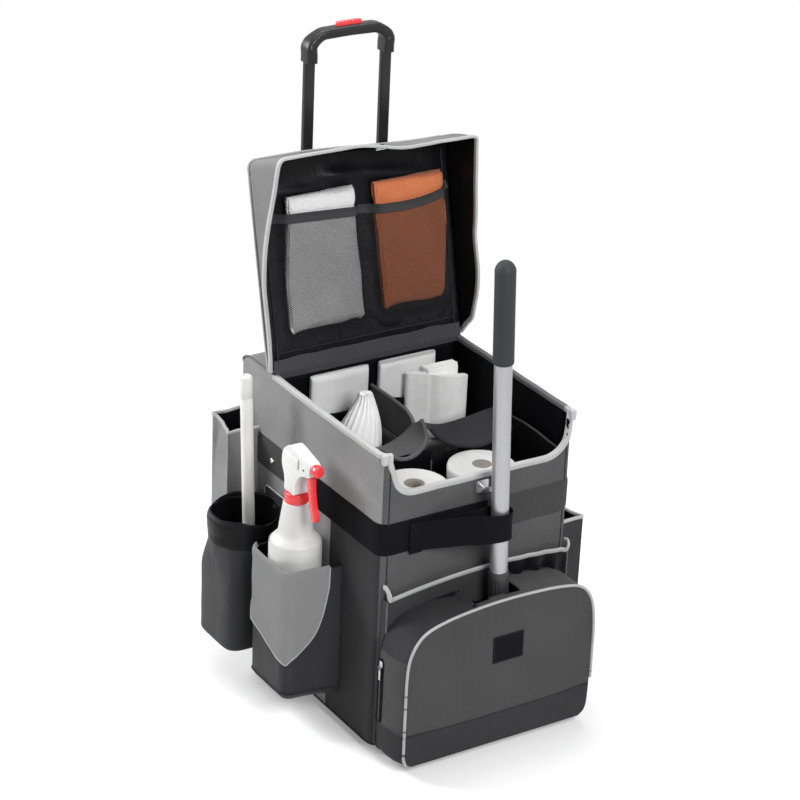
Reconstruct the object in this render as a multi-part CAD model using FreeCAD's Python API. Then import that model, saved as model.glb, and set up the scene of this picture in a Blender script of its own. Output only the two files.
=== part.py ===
import FreeCAD, Part
import math
import os

# Wheeled soft-sided housekeeping caddy with a telescopic pull handle, a hinged lid, side pouches,
# a front bag, and the supplies that it carries.  Millimetres, +Z up, front towards -Y.
# Pieces are first placed from the bag's own datum: x = 0 on the bag's middle plane, y = 0 on the
# face of its front wall, z = 0 on the floor.  Export then moves the datum to the middle of the
# whole object's footprint.

# ---- bag body ----
BODY_WIDTH = 362.0
BODY_DEPTH = 455.0
BODY_HEIGHT = 537.0
BODY_BASE = 14.0
BODY_CORNER_RADIUS = 18.0
WALL = 8.0
HANDLE_CHAMBER_DEPTH = 113.0
REAR_ROUND_RADIUS = 40.0
TRAY_HEIGHT = 30.0
TRAY_FLOOR = 5.0
TRAY_WALL = 2.0
BINDING_HEIGHT = 11.0
BINDING_LAP = 1.0
SCOOP_TOP_SET_IN = 15.0
SCOOP_BOTTOM_SET_IN = 34.0
SCOOP_DEPTH = 70.0
SCOOP_RADIUS = 34.0
BAND_DROP = 176.0
BAND_HEIGHT = 56.0
BAND_THICKNESS = 2.0
SOFT_GAP = 0.3
FIT_GAP = 0.05

# ---- wheels and feet ----
WHEEL_RADIUS = 45.0
WHEEL_WIDTH = 34.0
WHEEL_SET_IN = 25.0
TYRE_THICKNESS = 9.0
HUB_WEB = 8.0
HUB_RIM = 5.0
HUB_BOSS_RADIUS = 12.0
AXLE_RADIUS = 4.0
AXLE_HEAD_RADIUS = 7.0
AXLE_HEAD = 2.0
HOUSING_WIDTH = 55.0
HOUSING_WALL = 4.0
HOUSING_LENGTH = 75.0
HOUSING_TOP = 104.0
HUB_SIDE_PLAY = 0.5
FOOT_LENGTH = 50.0
FOOT_WIDTH = 26.0
FOOT_SET_IN = 51.0
FOOT_Y = 48.0

# ---- pull handle ----
HANDLE_SPACING = 144.0
HANDLE_SET_IN = 18.0
TUBE_WIDTH = 19.0
TUBE_DEPTH = 12.0
TUBE_CORNER = 4.0
TUBE_WALL = 1.4
SLIDE_GAP = 0.3
OUTER_TUBE_DROP = 32.0
COLLAR_MARGIN = 3.5
COLLAR_PROUD = 4.0
HANDLE_OVERLAP = 43.0
HANDLE_STOP_GAP = 8.0
GRIP_CLEARANCE = 49.0
GRIP_HEIGHT = 58.0
GRIP_HALF_WIDTH = 88.0
GRIP_ARM = 32.0
GRIP_ARCH_RISE = 30.0
GRIP_DEPTH = 16.0
GRIP_OUTER_RADIUS = 30.0
GRIP_INNER_RADIUS = 16.0
GRIP_EDGE = 5.0
SOCKET_DEPTH = 20.0
BUTTON_LENGTH = 46.0
BUTTON_WIDTH = 9.0
BUTTON_PROUD = 2.0
BUTTON_TRAVEL = 3.0
BUTTON_HEIGHT = 10.0
BUTTON_RIM = 1.2
BUTTON_FLOOR_GAP = 0.5
BRACKET_HEIGHT = 26.0
BRACKET_OVERHANG = 16.0
BRACKET_DEPTH = 24.0
BRACKET_LOW_Z = 120.0
BRACKET_DROP = 97.0

# ---- lid, drawn closed and then opened ----
LID_HINGE_RISE = 1.5
LID_THICKNESS = 5.0
LID_SIDE_GAP = 2.5
LID_FRONT_GAP = 4.5
LID_SKIRT_WALL = 3.5
LID_SKIRT_DROP = 99.0
LID_CORNER_RADIUS = 20.0
LID_BINDING_HEIGHT = 6.0
LID_BINDING_LAP = 1.0
SKIRT_OVERRUN = 5.0
LID_LEAN = 13.3
HINGE_ROLL_RADIUS = 3.0
HINGE_TAPE_THICKNESS = 2.0
CLOTH_THICKNESS = 22.0
CLOTH_EDGE = 8.8
CLOTH_BACK_GAP = 1.6
CLOTH_FRONT_MARGIN = 50.0
CLOTH_FROM_HINGE = 62.0
GREY_CLOTH_SET_IN = 27.0
GREY_CLOTH_WIDTH = 138.0
ORANGE_CLOTH_LEFT = 23.0
ORANGE_CLOTH_WIDTH = 132.0
MESH_THICKNESS = 1.2
CLOTH_SHOWING = 40.0

# ---- turn latch ----
LATCH_X = 4.0
LATCH_DROP = 22.0
LATCH_PLATE_WIDTH = 24.0
LATCH_PLATE_HEIGHT = 21.0
LATCH_PLATE_THICKNESS = 3.0
LATCH_PLATE_CORNER = 3.0
LATCH_POST_RADIUS = 3.0
LATCH_KNOB_REACH = 15.0
LATCH_KNOB_LENGTH = 20.0
LATCH_KNOB_WIDTH = 7.0
LATCH_KNOB_THICKNESS = 5.0
LATCH_KNOB_ROUND = 3.3
EYELET_SLOT = 8.4
EYELET_RIM = 5.0
EYELET_THICKNESS = 1.0
EYELET_MARGIN = 2.5
EYELET_CORNER = 2.0

# ---- front pocket and front bag ----
POCKET_SET_IN = 7.0
POCKET_DEPTH = 14.0
POCKET_CLOTH = 2.0
POCKET_BOTTOM_Z = 34.0
POCKET_LEFT_Z = 291.0
POCKET_MIDDLE_Z = 310.0
POCKET_RIGHT_Z = 300.0
POCKET_BINDING = 7.0
BAG_OVERHANG = 3.0
BAG_DEPTH = 68.0
BAG_CLOTH = 2.5
BAG_BOTTOM_Z = 16.0
BAG_SIDE_Z = 250.0
BAG_MIDDLE_Z = 277.0
BAG_TOP_RADIUS = 34.0
BAG_BOTTOM_RADIUS = 22.0
BAG_MOUTH_SET_IN = 64.0
BAG_MOUTH_RIGHT = 46.0
ZIP_Y = -24.0
ZIP_TOP_Z = 189.0
ZIP_SLIDER_HEIGHT = 14.0
ZIP_SLIDER_WIDTH = 9.0
ZIP_SLIDER_THICKNESS = 3.2
ZIP_SLIDER_CORNER = 2.0

# ---- mop handle and its strap ----
MOP_X = 14.0
MOP_Y = -45.0
MOP_REFERENCE_Z = 357.0
MOP_LEAN = 2.45
MOP_TUBE_RADIUS = 14.3
MOP_TUBE_WALL = 1.6
MOP_TUBE_BOTTOM_Z = 311.0
MOP_GRIP_BOTTOM_Z = 669.0
MOP_GRIP_RADIUS = 17.0
MOP_TOP_Z = 848.0
MOP_DOME_RADIUS = 15.3
MOP_SOCKET_RADIUS = 17.0
MOP_SOCKET_LENGTH = 82.0
MOP_SHANK_RADIUS = 11.0
MOP_SOCKET_OVERLAP = 30.0
STRAP_LOOP_RADIUS = 20.0
STRAP_THICKNESS = 2.0
STRAP_RISE = 1.0
STRAP_HEIGHT = 68.0
STRAP_SEAM_LAP = 0.5
STRAP_GAP_REACH = 9.0
STRAP_SET_IN = 41.0
STRAP_SEWN = 24.0
STRAP_RETURN_X = -52.0

# ---- brush pouch and brush ----
BRUSH_POUCH_SET_IN = 136.0
BRUSH_POUCH_RADIUS = 60.0
BRUSH_POUCH_BOTTOM_Z = 95.0
BRUSH_POUCH_DROP = 44.0
BRUSH_POUCH_BACK_HALF = 32.0
BRUSH_POUCH_BACK_RISE = 19.0
POUCH_CLOTH = 2.5
COLLAR_HEIGHT = 30.0
COLLAR_THICKNESS = 3.0
WAND_RADIUS = 10.5
WAND_TOP_Z = 558.0
WAND_LEAN = 2.1
WAND_OFFSET = 3.3
WAND_REFERENCE_Z = 380.0
BRUSH_HEAD_RADIUS = 34.0
BRUSH_HEAD_HEIGHT = 78.0
BRUSH_HEAD_EDGE = 10.0
WAND_TIP_EDGE = 3.0

# ---- bottle pouch and spray bottle ----
BOTTLE_POUCH_DEPTH = 98.0
POUCH_SPACING = 202.0
BOTTLE_POUCH_LENGTH = 119.0
BOTTLE_POUCH_BOTTOM_Z = 62.0
BOTTLE_POUCH_TOP_Z = 298.0
BOTTLE_POUCH_CORNER = 20.0
FLAP_THICKNESS = 1.6
FLAP_TIP_Z = 127.0
FLAP_SLOPE = 0.37
FLAP_REAR_LENGTH = 112.0
FLAP_FRONT_LENGTH = 74.0
FLAP_OVERRUN = 5.0
BOTTLE_STAND_OUT = 51.0
BOTTLE_SET_BACK = 55.0
BOTTLE_RADIUS = 43.5
BOTTLE_SHOULDER_Z = 322.0
BOTTLE_NECK_BASE_Z = 396.0
BOTTLE_THROAT_RADIUS = 23.0
BOTTLE_NECK_RADIUS = 13.5
BOTTLE_NECK_HEIGHT = 16.0
BOTTLE_WALL = 1.6
BOTTLE_FOOT_BEVEL = 8.0
SHOULDER_MIDDLE_RADIUS = 37.0
SHOULDER_MIDDLE_RISE = 22.0
SHOULDER_UPPER_RADIUS = 30.0
SHOULDER_UPPER_RISE = 36.0
THROAT_LIP = 6.0
THROAT_BEVEL = 2.0
SPRAYER_COLLAR_RADIUS = 19.5
SPRAYER_COLLAR_HEIGHT = 18.0
SPRAYER_WIDTH = 27.0
SPRAYER_HEIGHT = 79.0
TRIGGER_WIDTH = 11.0
NOZZLE_RADIUS = 10.0
NOZZLE_LENGTH = 13.0
NOZZLE_RISE = 60.0
SPIGOT_RADIUS = 5.0
SPIGOT_LENGTH = 12.0
HEAD_FRONT_REACH = 54.0
PIN_REACH = 42.0
PIN_RISE = 49.0
PIN_RADIUS = 2.0
PIN_SEAT = 2.0
TRIGGER_EDGE = 1.5
SPRAYER_EDGE = 3.0
TRIGGER_SLOT_REAR = 15.5
TRIGGER_SLOT_TOP = 56.0
TRIGGER_SLOT_DROP = 30.0

# ---- side pockets ----
LEFT_POCKET_DEPTH = 59.0
LEFT_POCKET_LENGTH = 53.0
LEFT_POCKET_BOTTOM_Z = 150.0
LEFT_POCKET_DROP = 96.0
LEFT_POCKET_SLOPE = 17.0
RIGHT_POCKET_DEPTH = 46.0
RIGHT_POCKET_FRONT = 20.0
RIGHT_POCKET_GAP = 4.0
RIGHT_POCKET_BOTTOM_Z = 70.0
RIGHT_POCKET_FRONT_Z = 326.0
RIGHT_POCKET_REAR_Z = 326.0
SIDE_BINDING = 5.0

# ---- what the bag holds ----
DIVIDER_THICKNESS = 4.0
DIVIDER_X = 10.0
DIVIDER_DROP = 58.0
DIVIDER_UPPER_LENGTH = 137.0
DIVIDER_STEP_DROP = 117.0
DIVIDER_ROUND = 26.0
CROSS_DIVIDER_Y = 150.0
CROSS_LEFT_DROP = 72.0
CROSS_RIGHT_DROP = 102.0
ROLL_RADIUS = 58.0
ROLL_HOLE_RADIUS = 20.0
ROLL_HEIGHT = 105.0
ROLLS_IN_STACK = 4
LEFT_ROLL_X = -77.0
LEFT_ROLL_Y = 69.0
RIGHT_ROLL_X = 57.0
RIGHT_ROLL_Y = 76.0
TOWEL_SET_IN = 13.0
TOWEL_WIDTH = 110.0
TOWEL_SET_BACK = 54.0
TOWEL_THICKNESS = 31.0
TOWEL_DROP = 22.0
TOWEL_EDGE = 10.3
TOWELS_IN_STACK = 4
CLOTH_PACK_THICKNESS = 20.0
CLOTH_PACK_DROP = 14.0
CLOTH_PACKS_IN_STACK = 4
CLOTH_PACK_WIDTH = 112.0
CLOTH_PACK_GAP = 3.0
LEFT_PACK_SHIFT = 10.0
CLOTH_PACK_EDGE = 6.6
LINER_X = -70.0
LINER_SET_BACK = 80.0
LINER_RADIUS = 44.0
LINER_SHOULDER_DROP = 75.0
LINER_NECK_RADIUS = 12.0
LINER_UPPER_RADIUS = 35.2
LINER_UPPER_DROP = 50.0
LINER_TOP_DROP = 32.0

# ---- sizes that follow from the ones above ----
HALF = BODY_WIDTH / 2.0
INNER_HALF = HALF - WALL
TRAY_TOP_FACE = BODY_BASE + TRAY_FLOOR
WALL_TOP = BODY_HEIGHT - BINDING_HEIGHT
BULKHEAD_FRONT = BODY_DEPTH - HANDLE_CHAMBER_DEPTH
BULKHEAD_REAR = BULKHEAD_FRONT + WALL
SCOOP_TOP_HALF = HALF - SCOOP_TOP_SET_IN
SCOOP_BOTTOM_HALF = HALF - SCOOP_BOTTOM_SET_IN
SCOOP_BOTTOM_Z = BODY_HEIGHT - SCOOP_DEPTH
BAND_BOTTOM_Z = BODY_HEIGHT - BAND_DROP
WHEEL_Y = BODY_DEPTH - WHEEL_SET_IN
HOUSING_FRONT = BODY_DEPTH - HOUSING_LENGTH
FOOT_X = HALF - FOOT_SET_IN
HANDLE_Y = BODY_DEPTH - HANDLE_SET_IN
HANDLE_HALF_SPACING = HANDLE_SPACING / 2.0
OUTER_TUBE_TOP = BODY_HEIGHT - OUTER_TUBE_DROP
COLLAR_TOP = BODY_HEIGHT + COLLAR_PROUD
HANDLE_TRAVEL = OUTER_TUBE_TOP - TRAY_TOP_FACE - HANDLE_STOP_GAP - HANDLE_OVERLAP
GRIP_BOTTOM = COLLAR_TOP + HANDLE_TRAVEL + GRIP_CLEARANCE
GRIP_ARCH_Z = GRIP_BOTTOM + GRIP_ARCH_RISE
BRACKET_HIGH_Z = BODY_HEIGHT - BRACKET_DROP
LID_HINGE_Z = BODY_HEIGHT + LID_HINGE_RISE
CLOTH_LENGTH = BULKHEAD_FRONT - CLOTH_FROM_HINGE - CLOTH_FRONT_MARGIN
MESH_HEIGHT = CLOTH_LENGTH - CLOTH_SHOWING
GREY_CLOTH_LEFT = -HALF + GREY_CLOTH_SET_IN
LATCH_Z = SCOOP_BOTTOM_Z - LATCH_DROP
POCKET_HALF_WIDTH = HALF - POCKET_SET_IN
BAG_HALF_WIDTH = HALF + BAG_OVERHANG
BAG_MOUTH_LEFT = -BAG_HALF_WIDTH + BAG_MOUTH_SET_IN
STRAP_BOTTOM_Z = BAND_BOTTOM_Z + STRAP_RISE
STRAP_LEFT = -HALF + STRAP_SET_IN
BRUSH_POUCH_Y = BODY_DEPTH - BRUSH_POUCH_SET_IN
BRUSH_POUCH_TOP_Z = BAND_BOTTOM_Z - BRUSH_POUCH_DROP
BOTTLE_POUCH_FRONT = BRUSH_POUCH_Y - POUCH_SPACING
BOTTLE_X = -HALF - BOTTLE_STAND_OUT
BOTTLE_Y = BOTTLE_POUCH_FRONT + BOTTLE_SET_BACK
LEFT_POCKET_REAR = BODY_DEPTH - BODY_CORNER_RADIUS
LEFT_POCKET_FRONT = LEFT_POCKET_REAR - LEFT_POCKET_LENGTH
LEFT_POCKET_REAR_Z = BODY_HEIGHT - LEFT_POCKET_DROP
LEFT_POCKET_FRONT_Z = LEFT_POCKET_REAR_Z - LEFT_POCKET_SLOPE
RIGHT_POCKET_REAR = HOUSING_FRONT - RIGHT_POCKET_GAP
DIVIDER_TOP_Z = BODY_HEIGHT - DIVIDER_DROP
DIVIDER_STEP_Z = BODY_HEIGHT - DIVIDER_STEP_DROP
DIVIDER_FREE_Y = BULKHEAD_FRONT - DIVIDER_UPPER_LENGTH
CROSS_LEFT_TOP_Z = BODY_HEIGHT - CROSS_LEFT_DROP
CROSS_RIGHT_TOP_Z = BODY_HEIGHT - CROSS_RIGHT_DROP
TOWEL_LEFT = INNER_HALF - TOWEL_SET_IN - TOWEL_WIDTH
TOWEL_FRONT = BULKHEAD_FRONT - TOWEL_SET_BACK
TOWEL_HEIGHT = (BODY_HEIGHT - TOWEL_DROP - TRAY_TOP_FACE) / TOWELS_IN_STACK
CLOTH_PACK_HEIGHT = (BODY_HEIGHT - CLOTH_PACK_DROP - TRAY_TOP_FACE) / CLOTH_PACKS_IN_STACK
LINER_Y = BULKHEAD_FRONT - LINER_SET_BACK
LINER_TOP_Z = BODY_HEIGHT - LINER_TOP_DROP
LINER_SHOULDER_Z = LINER_TOP_Z - LINER_SHOULDER_DROP
LINER_UPPER_Z = LINER_TOP_Z - LINER_UPPER_DROP
LID_OUTER_HALF = HALF + LID_SIDE_GAP + LID_SKIRT_WALL
LID_FRONT = -LID_FRONT_GAP - LID_SKIRT_WALL
LID_REAR = BULKHEAD_FRONT - HINGE_ROLL_RADIUS - SOFT_GAP
LID_TOP = LID_HINGE_Z + LID_THICKNESS
LID_OPEN_ANGLE = 90.0 + LID_LEAN
BAG_REAR = -POCKET_DEPTH
BAG_FRONT = BAG_REAR - BAG_DEPTH
BRUSH_POUCH_X = -HALF - BRUSH_POUCH_RADIUS - SOFT_GAP
WAND_REFERENCE_X = BRUSH_POUCH_X + WAND_OFFSET
HANDLE_TUBE_BOTTOM = TRAY_TOP_FACE + HANDLE_STOP_GAP + HANDLE_TRAVEL
GRIP_TOP = GRIP_BOTTOM + GRIP_HEIGHT
BOTTLE_FLAP_EXTENT = -HALF - BOTTLE_POUCH_DEPTH - FLAP_THICKNESS
BRUSH_COLLAR_EXTENT = BRUSH_POUCH_X - BRUSH_POUCH_RADIUS - COLLAR_THICKNESS
LEFT_EXTENT = min(BOTTLE_FLAP_EXTENT, BRUSH_COLLAR_EXTENT)
RIGHT_EXTENT = HALF + RIGHT_POCKET_DEPTH
REAR_EXTENT = WHEEL_Y + WHEEL_RADIUS
ORIGIN_X = (LEFT_EXTENT + RIGHT_EXTENT) / 2.0
ORIGIN_Y = (BAG_FRONT + REAR_EXTENT) / 2.0
FAR = 2000.0

X_AXIS = FreeCAD.Vector(1, 0, 0)
Y_AXIS = FreeCAD.Vector(0, 1, 0)
Z_AXIS = FreeCAD.Vector(0, 0, 1)


def vec(x, y, z):
    """A point or direction."""
    return FreeCAD.Vector(x, y, z)


def block(x0, x1, y0, y1, z0, z1):
    """A box between two corners."""
    return Part.makeBox(x1 - x0, y1 - y0, z1 - z0, vec(x0, y0, z0))


def edges_along(shape, axis):
    """The straight edges of a solid that run along an axis."""
    found = []
    for edge in shape.Edges:
        ends = edge.Vertexes
        if len(ends) == 2 and isinstance(edge.Curve, Part.Line):
            run = ends[1].Point.sub(ends[0].Point)
            if run.Length > 0 and abs(abs(run.normalize().dot(axis)) - 1.0) < 1e-6:
                found.append(edge)
    return found


def rounded_block(x0, x1, y0, y1, z0, z1, radius, axis=Z_AXIS):
    """A box whose four edges along one axis are rounded."""
    plain = block(x0, x1, y0, y1, z0, z1)
    return plain.makeFillet(radius, edges_along(plain, axis))


def tube_between(radius, start, end):
    """A round bar from one point to another."""
    run = end.sub(start)
    return Part.makeCylinder(radius, run.Length, start, run)


def plate_xz(points, y0, y1):
    """A plate whose outline lies in the XZ plane, from y0 to y1."""
    ring = [vec(x, y0, z) for x, z in points]
    wire = Part.makePolygon(ring + [ring[0]])
    return Part.Face(wire).extrude(vec(0, y1 - y0, 0))


def plate_yz(points, x0, x1):
    """A plate whose outline lies in the YZ plane, from x0 to x1."""
    ring = [vec(x0, y, z) for y, z in points]
    wire = Part.makePolygon(ring + [ring[0]])
    return Part.Face(wire).extrude(vec(x1 - x0, 0, 0))


def arched_plate(x0, x1, bottom, left_top, middle_top, right_top, y0, y1):
    """A plate with straight sides and bottom whose top is one arc."""
    corners = [vec(x0, y0, left_top), vec(x0, y0, bottom), vec(x1, y0, bottom), vec(x1, y0, right_top)]
    top = Part.Arc(corners[3], vec((x0 + x1) / 2.0, y0, middle_top), corners[0]).toShape()
    sides = [Part.makeLine(corners[i], corners[i + 1]) for i in range(3)]
    return Part.Face(Part.Wire(sides + [top])).extrude(vec(0, y1 - y0, 0))


def turned(points, x, y):
    """A solid of revolution about a vertical line, from its radius and height points."""
    ring = [vec(x + r, y, z) for r, z in points]
    wire = Part.makePolygon(ring + [ring[0]])
    return Part.Face(wire).revolve(vec(x, y, 0), Z_AXIS, 360)


def cut(shape, *tools):
    """A solid with other solids taken out of it."""
    for tool in tools:
        shape = shape.cut(tool)
    return shape


def joined(*shapes):
    """One solid made of several that meet."""
    whole = shapes[0]
    for shape in shapes[1:]:
        whole = whole.fuse(shape)
    return whole.removeSplitter()


def mirrored(shape):
    """The same shape on the other side of the bag's middle plane."""
    return shape.mirror(vec(0, 0, 0), X_AXIS)


def group(*shapes):
    """Separate solids kept in one file."""
    return Part.makeCompound(list(shapes))


def export(name, shape):
    """Write one sub-part, with the object's origin in the middle of its footprint."""
    placed = shape.copy()
    placed.translate(vec(-ORIGIN_X, -ORIGIN_Y, 0))
    for solid in placed.Solids:
        if not solid.isValid() or solid.Volume <= 0:
            print("bad solid in", name)
    if not placed.Solids:
        print("no solid in", name)
    placed.exportStep("parts/" + name + ".step")
    print(name, len(placed.Solids), round(placed.Volume / 1000.0, 1))


# ---------------------------------------------------------------- bag body

def bag_outline(z0, z1, grow=0.0):
    """The bag's outer plan, grown by a margin, between two heights."""
    return rounded_block(-HALF - grow, HALF + grow, -grow, BODY_DEPTH + grow, z0, z1,
                         BODY_CORNER_RADIUS + grow)


def bag_ring(z0, z1, outside=0.0, inside=WALL):
    """The band of material between two plans of the bag."""
    return bag_outline(z0, z1, outside).cut(bag_outline(z0 - 1, z1 + 1, -inside))


def rear_profile(inset):
    """The bag's side view with its rounded upper rear edge, set in by a margin."""
    top = BODY_HEIGHT - inset
    rear = BODY_DEPTH - inset
    radius = REAR_ROUND_RADIUS - inset
    plain = block(-FAR, FAR, -FAR, rear, -FAR, top)
    edge = [e for e in plain.Edges
            if abs(e.CenterOfMass.y - rear) < 1e-6 and abs(e.CenterOfMass.z - top) < 1e-6]
    return plain.makeFillet(radius, edge)


def scoop(grow=0.0):
    """The opening cut down into the front wall, grown by a margin."""
    top = BODY_HEIGHT + 1.0
    points = [
        (-SCOOP_TOP_HALF - grow, top),
        (-SCOOP_BOTTOM_HALF - grow, SCOOP_BOTTOM_Z - grow),
        (SCOOP_BOTTOM_HALF + grow, SCOOP_BOTTOM_Z - grow),
        (SCOOP_TOP_HALF + grow, top),
    ]
    plain = plate_xz(points, -WALL, 2 * WALL)
    low = SCOOP_BOTTOM_Z - grow
    corners = [e for e in edges_along(plain, Y_AXIS) if abs(e.CenterOfMass.z - low) < 1e-6]
    return plain.makeFillet(SCOOP_RADIUS + grow, corners)


def wheel_well():
    """The space that the left wheel housing takes out of the bag."""
    return block(-HALF - 1, -HALF + HOUSING_WIDTH, HOUSING_FRONT, BODY_DEPTH + 1, 0, HOUSING_TOP)


def shell_ring():
    """All four walls of the bag before they are parted."""
    ring = bag_ring(BODY_BASE, WALL_TOP)
    return cut(ring, wheel_well(), mirrored(wheel_well()))


def front_wall():
    """The front wall with its corners and the scoop."""
    front = shell_ring().common(block(-FAR, FAR, -1, BODY_CORNER_RADIUS, 0, FAR))
    return cut(front, scoop(BINDING_HEIGHT))


def side_wall(side):
    """A side wall, rounded at its upper rear corner and ending under the rear cover."""
    span = block(0, FAR, BODY_CORNER_RADIUS, BODY_DEPTH - BODY_CORNER_RADIUS, 0, FAR)
    rise = block(0, FAR, BULKHEAD_REAR, BODY_DEPTH, WALL_TOP, BODY_HEIGHT)
    wall = shell_ring().common(span)
    raised = bag_ring(WALL_TOP, BODY_HEIGHT).common(rise).common(span)
    wall = joined(wall, raised)
    under_cover = block(-FAR, FAR, BULKHEAD_REAR, FAR, BODY_HEIGHT - REAR_ROUND_RADIUS, FAR)
    wall = wall.cut(under_cover.cut(rear_profile(WALL)))
    return wall if side > 0 else mirrored(wall)


def rear_wall():
    """The rear wall with its corners, up to the cover's lower edge."""
    top = BODY_HEIGHT - REAR_ROUND_RADIUS
    return shell_ring().common(block(-FAR, FAR, BODY_DEPTH - BODY_CORNER_RADIUS, FAR, 0, top))


def top_cover():
    """The rear deck over the handle chamber, rolled down at the back."""
    area = block(-FAR, FAR, BULKHEAD_REAR, FAR, BODY_HEIGHT - REAR_ROUND_RADIUS, FAR)
    skin = rear_profile(0.0).cut(rear_profile(WALL)).common(area)
    cover = skin.common(bag_outline(0, FAR))
    holes = [collar_block(side, 0.0) for side in (-1, 1)]
    return cut(cover, *holes)


def bulkhead():
    """The inner wall between the bag's hold and the handle chamber."""
    return block(-INNER_HALF, INNER_HALF, BULKHEAD_FRONT, BULKHEAD_REAR, TRAY_TOP_FACE, WALL_TOP)


def base_tray():
    """The moulded tray that forms the bag's floor."""
    inset = WALL
    top = BODY_BASE + TRAY_HEIGHT
    body = bag_outline(BODY_BASE, top, -inset)
    hollow = bag_outline(TRAY_TOP_FACE, top + 1, -inset - TRAY_WALL)
    tray = cut(body, hollow, wheel_well(), mirrored(wheel_well()))
    seat = block(-INNER_HALF, INNER_HALF, BULKHEAD_FRONT, BULKHEAD_REAR, TRAY_TOP_FACE, FAR)
    return tray.cut(seat)


def edge_binding():
    """The pale binding sewn over the top edges of the side walls and round the scoop."""
    front_part = block(-FAR, FAR, -FAR, BULKHEAD_REAR, 0, FAR)
    rim = bag_ring(WALL_TOP, BODY_HEIGHT, BINDING_LAP, WALL + BINDING_LAP).common(front_part)
    rim = rim.cut(block(-INNER_HALF, INNER_HALF, BODY_CORNER_RADIUS + WALL, FAR, 0, FAR))
    band = bag_ring(SCOOP_BOTTOM_Z - BINDING_HEIGHT - 1, BODY_HEIGHT, BINDING_LAP, WALL + BINDING_LAP)
    front_zone = block(-FAR, FAR, -FAR, BODY_CORNER_RADIUS, 0, FAR)
    lip = band.common(scoop(BINDING_HEIGHT)).common(front_zone)
    return joined(rim, lip).cut(scoop())


def body_band():
    """The webbing band sewn round the bag."""
    return bag_ring(BAND_BOTTOM_Z, BAND_BOTTOM_Z + BAND_HEIGHT, BAND_THICKNESS, 0.0)


def lid_hinge_tape():
    """The fabric hinge along the bulkhead's top: a rolled edge on a sewn tape."""
    roll = tube_between(HINGE_ROLL_RADIUS, vec(-INNER_HALF, BULKHEAD_FRONT, LID_HINGE_Z),
                        vec(INNER_HALF, BULKHEAD_FRONT, LID_HINGE_Z))
    tape = block(-INNER_HALF, INNER_HALF, BULKHEAD_FRONT, BULKHEAD_FRONT + HINGE_TAPE_THICKNESS,
                 WALL_TOP, LID_HINGE_Z)
    return joined(roll, tape)


# ---------------------------------------------------------------- wheels and feet

def axle_x():
    """The middle of the left wheel."""
    return -HALF + HOUSING_WIDTH / 2.0


def wheel_housing():
    """The left wheel's moulded housing, open to the rear and the floor."""
    outer = block(-HALF, -HALF + HOUSING_WIDTH, HOUSING_FRONT, BODY_DEPTH, BODY_BASE, HOUSING_TOP)
    outer = outer.common(bag_outline(0, FAR))
    inner = block(-HALF + HOUSING_WALL, -HALF + HOUSING_WIDTH - HOUSING_WALL,
                  HOUSING_FRONT + HOUSING_WALL, FAR, 0, HOUSING_TOP - HOUSING_WALL)
    hole = tube_between(AXLE_RADIUS + FIT_GAP, vec(-HALF - 1, WHEEL_Y, WHEEL_RADIUS),
                        vec(-HALF + HOUSING_WIDTH + 1, WHEEL_Y, WHEEL_RADIUS))
    return cut(outer, inner, hole)


def wheel_axle():
    """The left wheel's axle pin with a head at each end."""
    start = -HALF
    end = -HALF + HOUSING_WIDTH
    pin = tube_between(AXLE_RADIUS, vec(start, WHEEL_Y, WHEEL_RADIUS), vec(end, WHEEL_Y, WHEEL_RADIUS))
    outer_head = tube_between(AXLE_HEAD_RADIUS, vec(start - AXLE_HEAD, WHEEL_Y, WHEEL_RADIUS),
                              vec(start, WHEEL_Y, WHEEL_RADIUS))
    inner_head = tube_between(AXLE_HEAD_RADIUS, vec(end, WHEEL_Y, WHEEL_RADIUS),
                              vec(end + AXLE_HEAD, WHEEL_Y, WHEEL_RADIUS))
    return joined(pin, outer_head, inner_head)


def wheel_disc(radius, width):
    """A round solid on the left wheel's axle."""
    middle = axle_x()
    return tube_between(radius, vec(middle - width / 2.0, WHEEL_Y, WHEEL_RADIUS),
                        vec(middle + width / 2.0, WHEEL_Y, WHEEL_RADIUS))


def wheel_hub():
    """The left wheel's hub: rim, web and a boss that reaches both cheeks."""
    rim_radius = WHEEL_RADIUS - TYRE_THICKNESS - FIT_GAP
    rim = wheel_disc(rim_radius, WHEEL_WIDTH).cut(wheel_disc(rim_radius - HUB_RIM, WHEEL_WIDTH + 2))
    web = wheel_disc(rim_radius - HUB_RIM / 2.0, HUB_WEB)
    boss = wheel_disc(HUB_BOSS_RADIUS, HOUSING_WIDTH - 2 * HOUSING_WALL - 2 * HUB_SIDE_PLAY)
    bore = wheel_disc(AXLE_RADIUS + FIT_GAP, HOUSING_WIDTH + 2)
    return joined(rim, web, boss).cut(bore)


def wheel_tyre():
    """The left wheel's soft tyre."""
    body = wheel_disc(WHEEL_RADIUS, WHEEL_WIDTH)
    body = body.makeFillet(TYRE_THICKNESS / 2.0, [e for e in body.Edges if e.Length > 2 * WHEEL_RADIUS])
    return body.cut(wheel_disc(WHEEL_RADIUS - TYRE_THICKNESS, WHEEL_WIDTH + 2))


def front_feet():
    """The two feet that the bag's front stands on."""
    feet = []
    for side in (-1, 1):
        x = side * FOOT_X
        foot = rounded_block(x - FOOT_LENGTH / 2.0, x + FOOT_LENGTH / 2.0, FOOT_Y - FOOT_WIDTH / 2.0,
                             FOOT_Y + FOOT_WIDTH / 2.0, 0, BODY_BASE, FOOT_WIDTH / 3.0)
        feet.append(foot)
    return group(*feet)


# ---------------------------------------------------------------- pull handle

def tube_section(side, grow, z0, z1):
    """A rounded rectangular bar round a handle tube's centre line."""
    x = side * HANDLE_HALF_SPACING
    half_x = TUBE_WIDTH / 2.0 + grow
    half_y = TUBE_DEPTH / 2.0 + grow
    return rounded_block(x - half_x, x + half_x, HANDLE_Y - half_y, HANDLE_Y + half_y, z0, z1,
                         TUBE_CORNER + grow)


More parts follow.
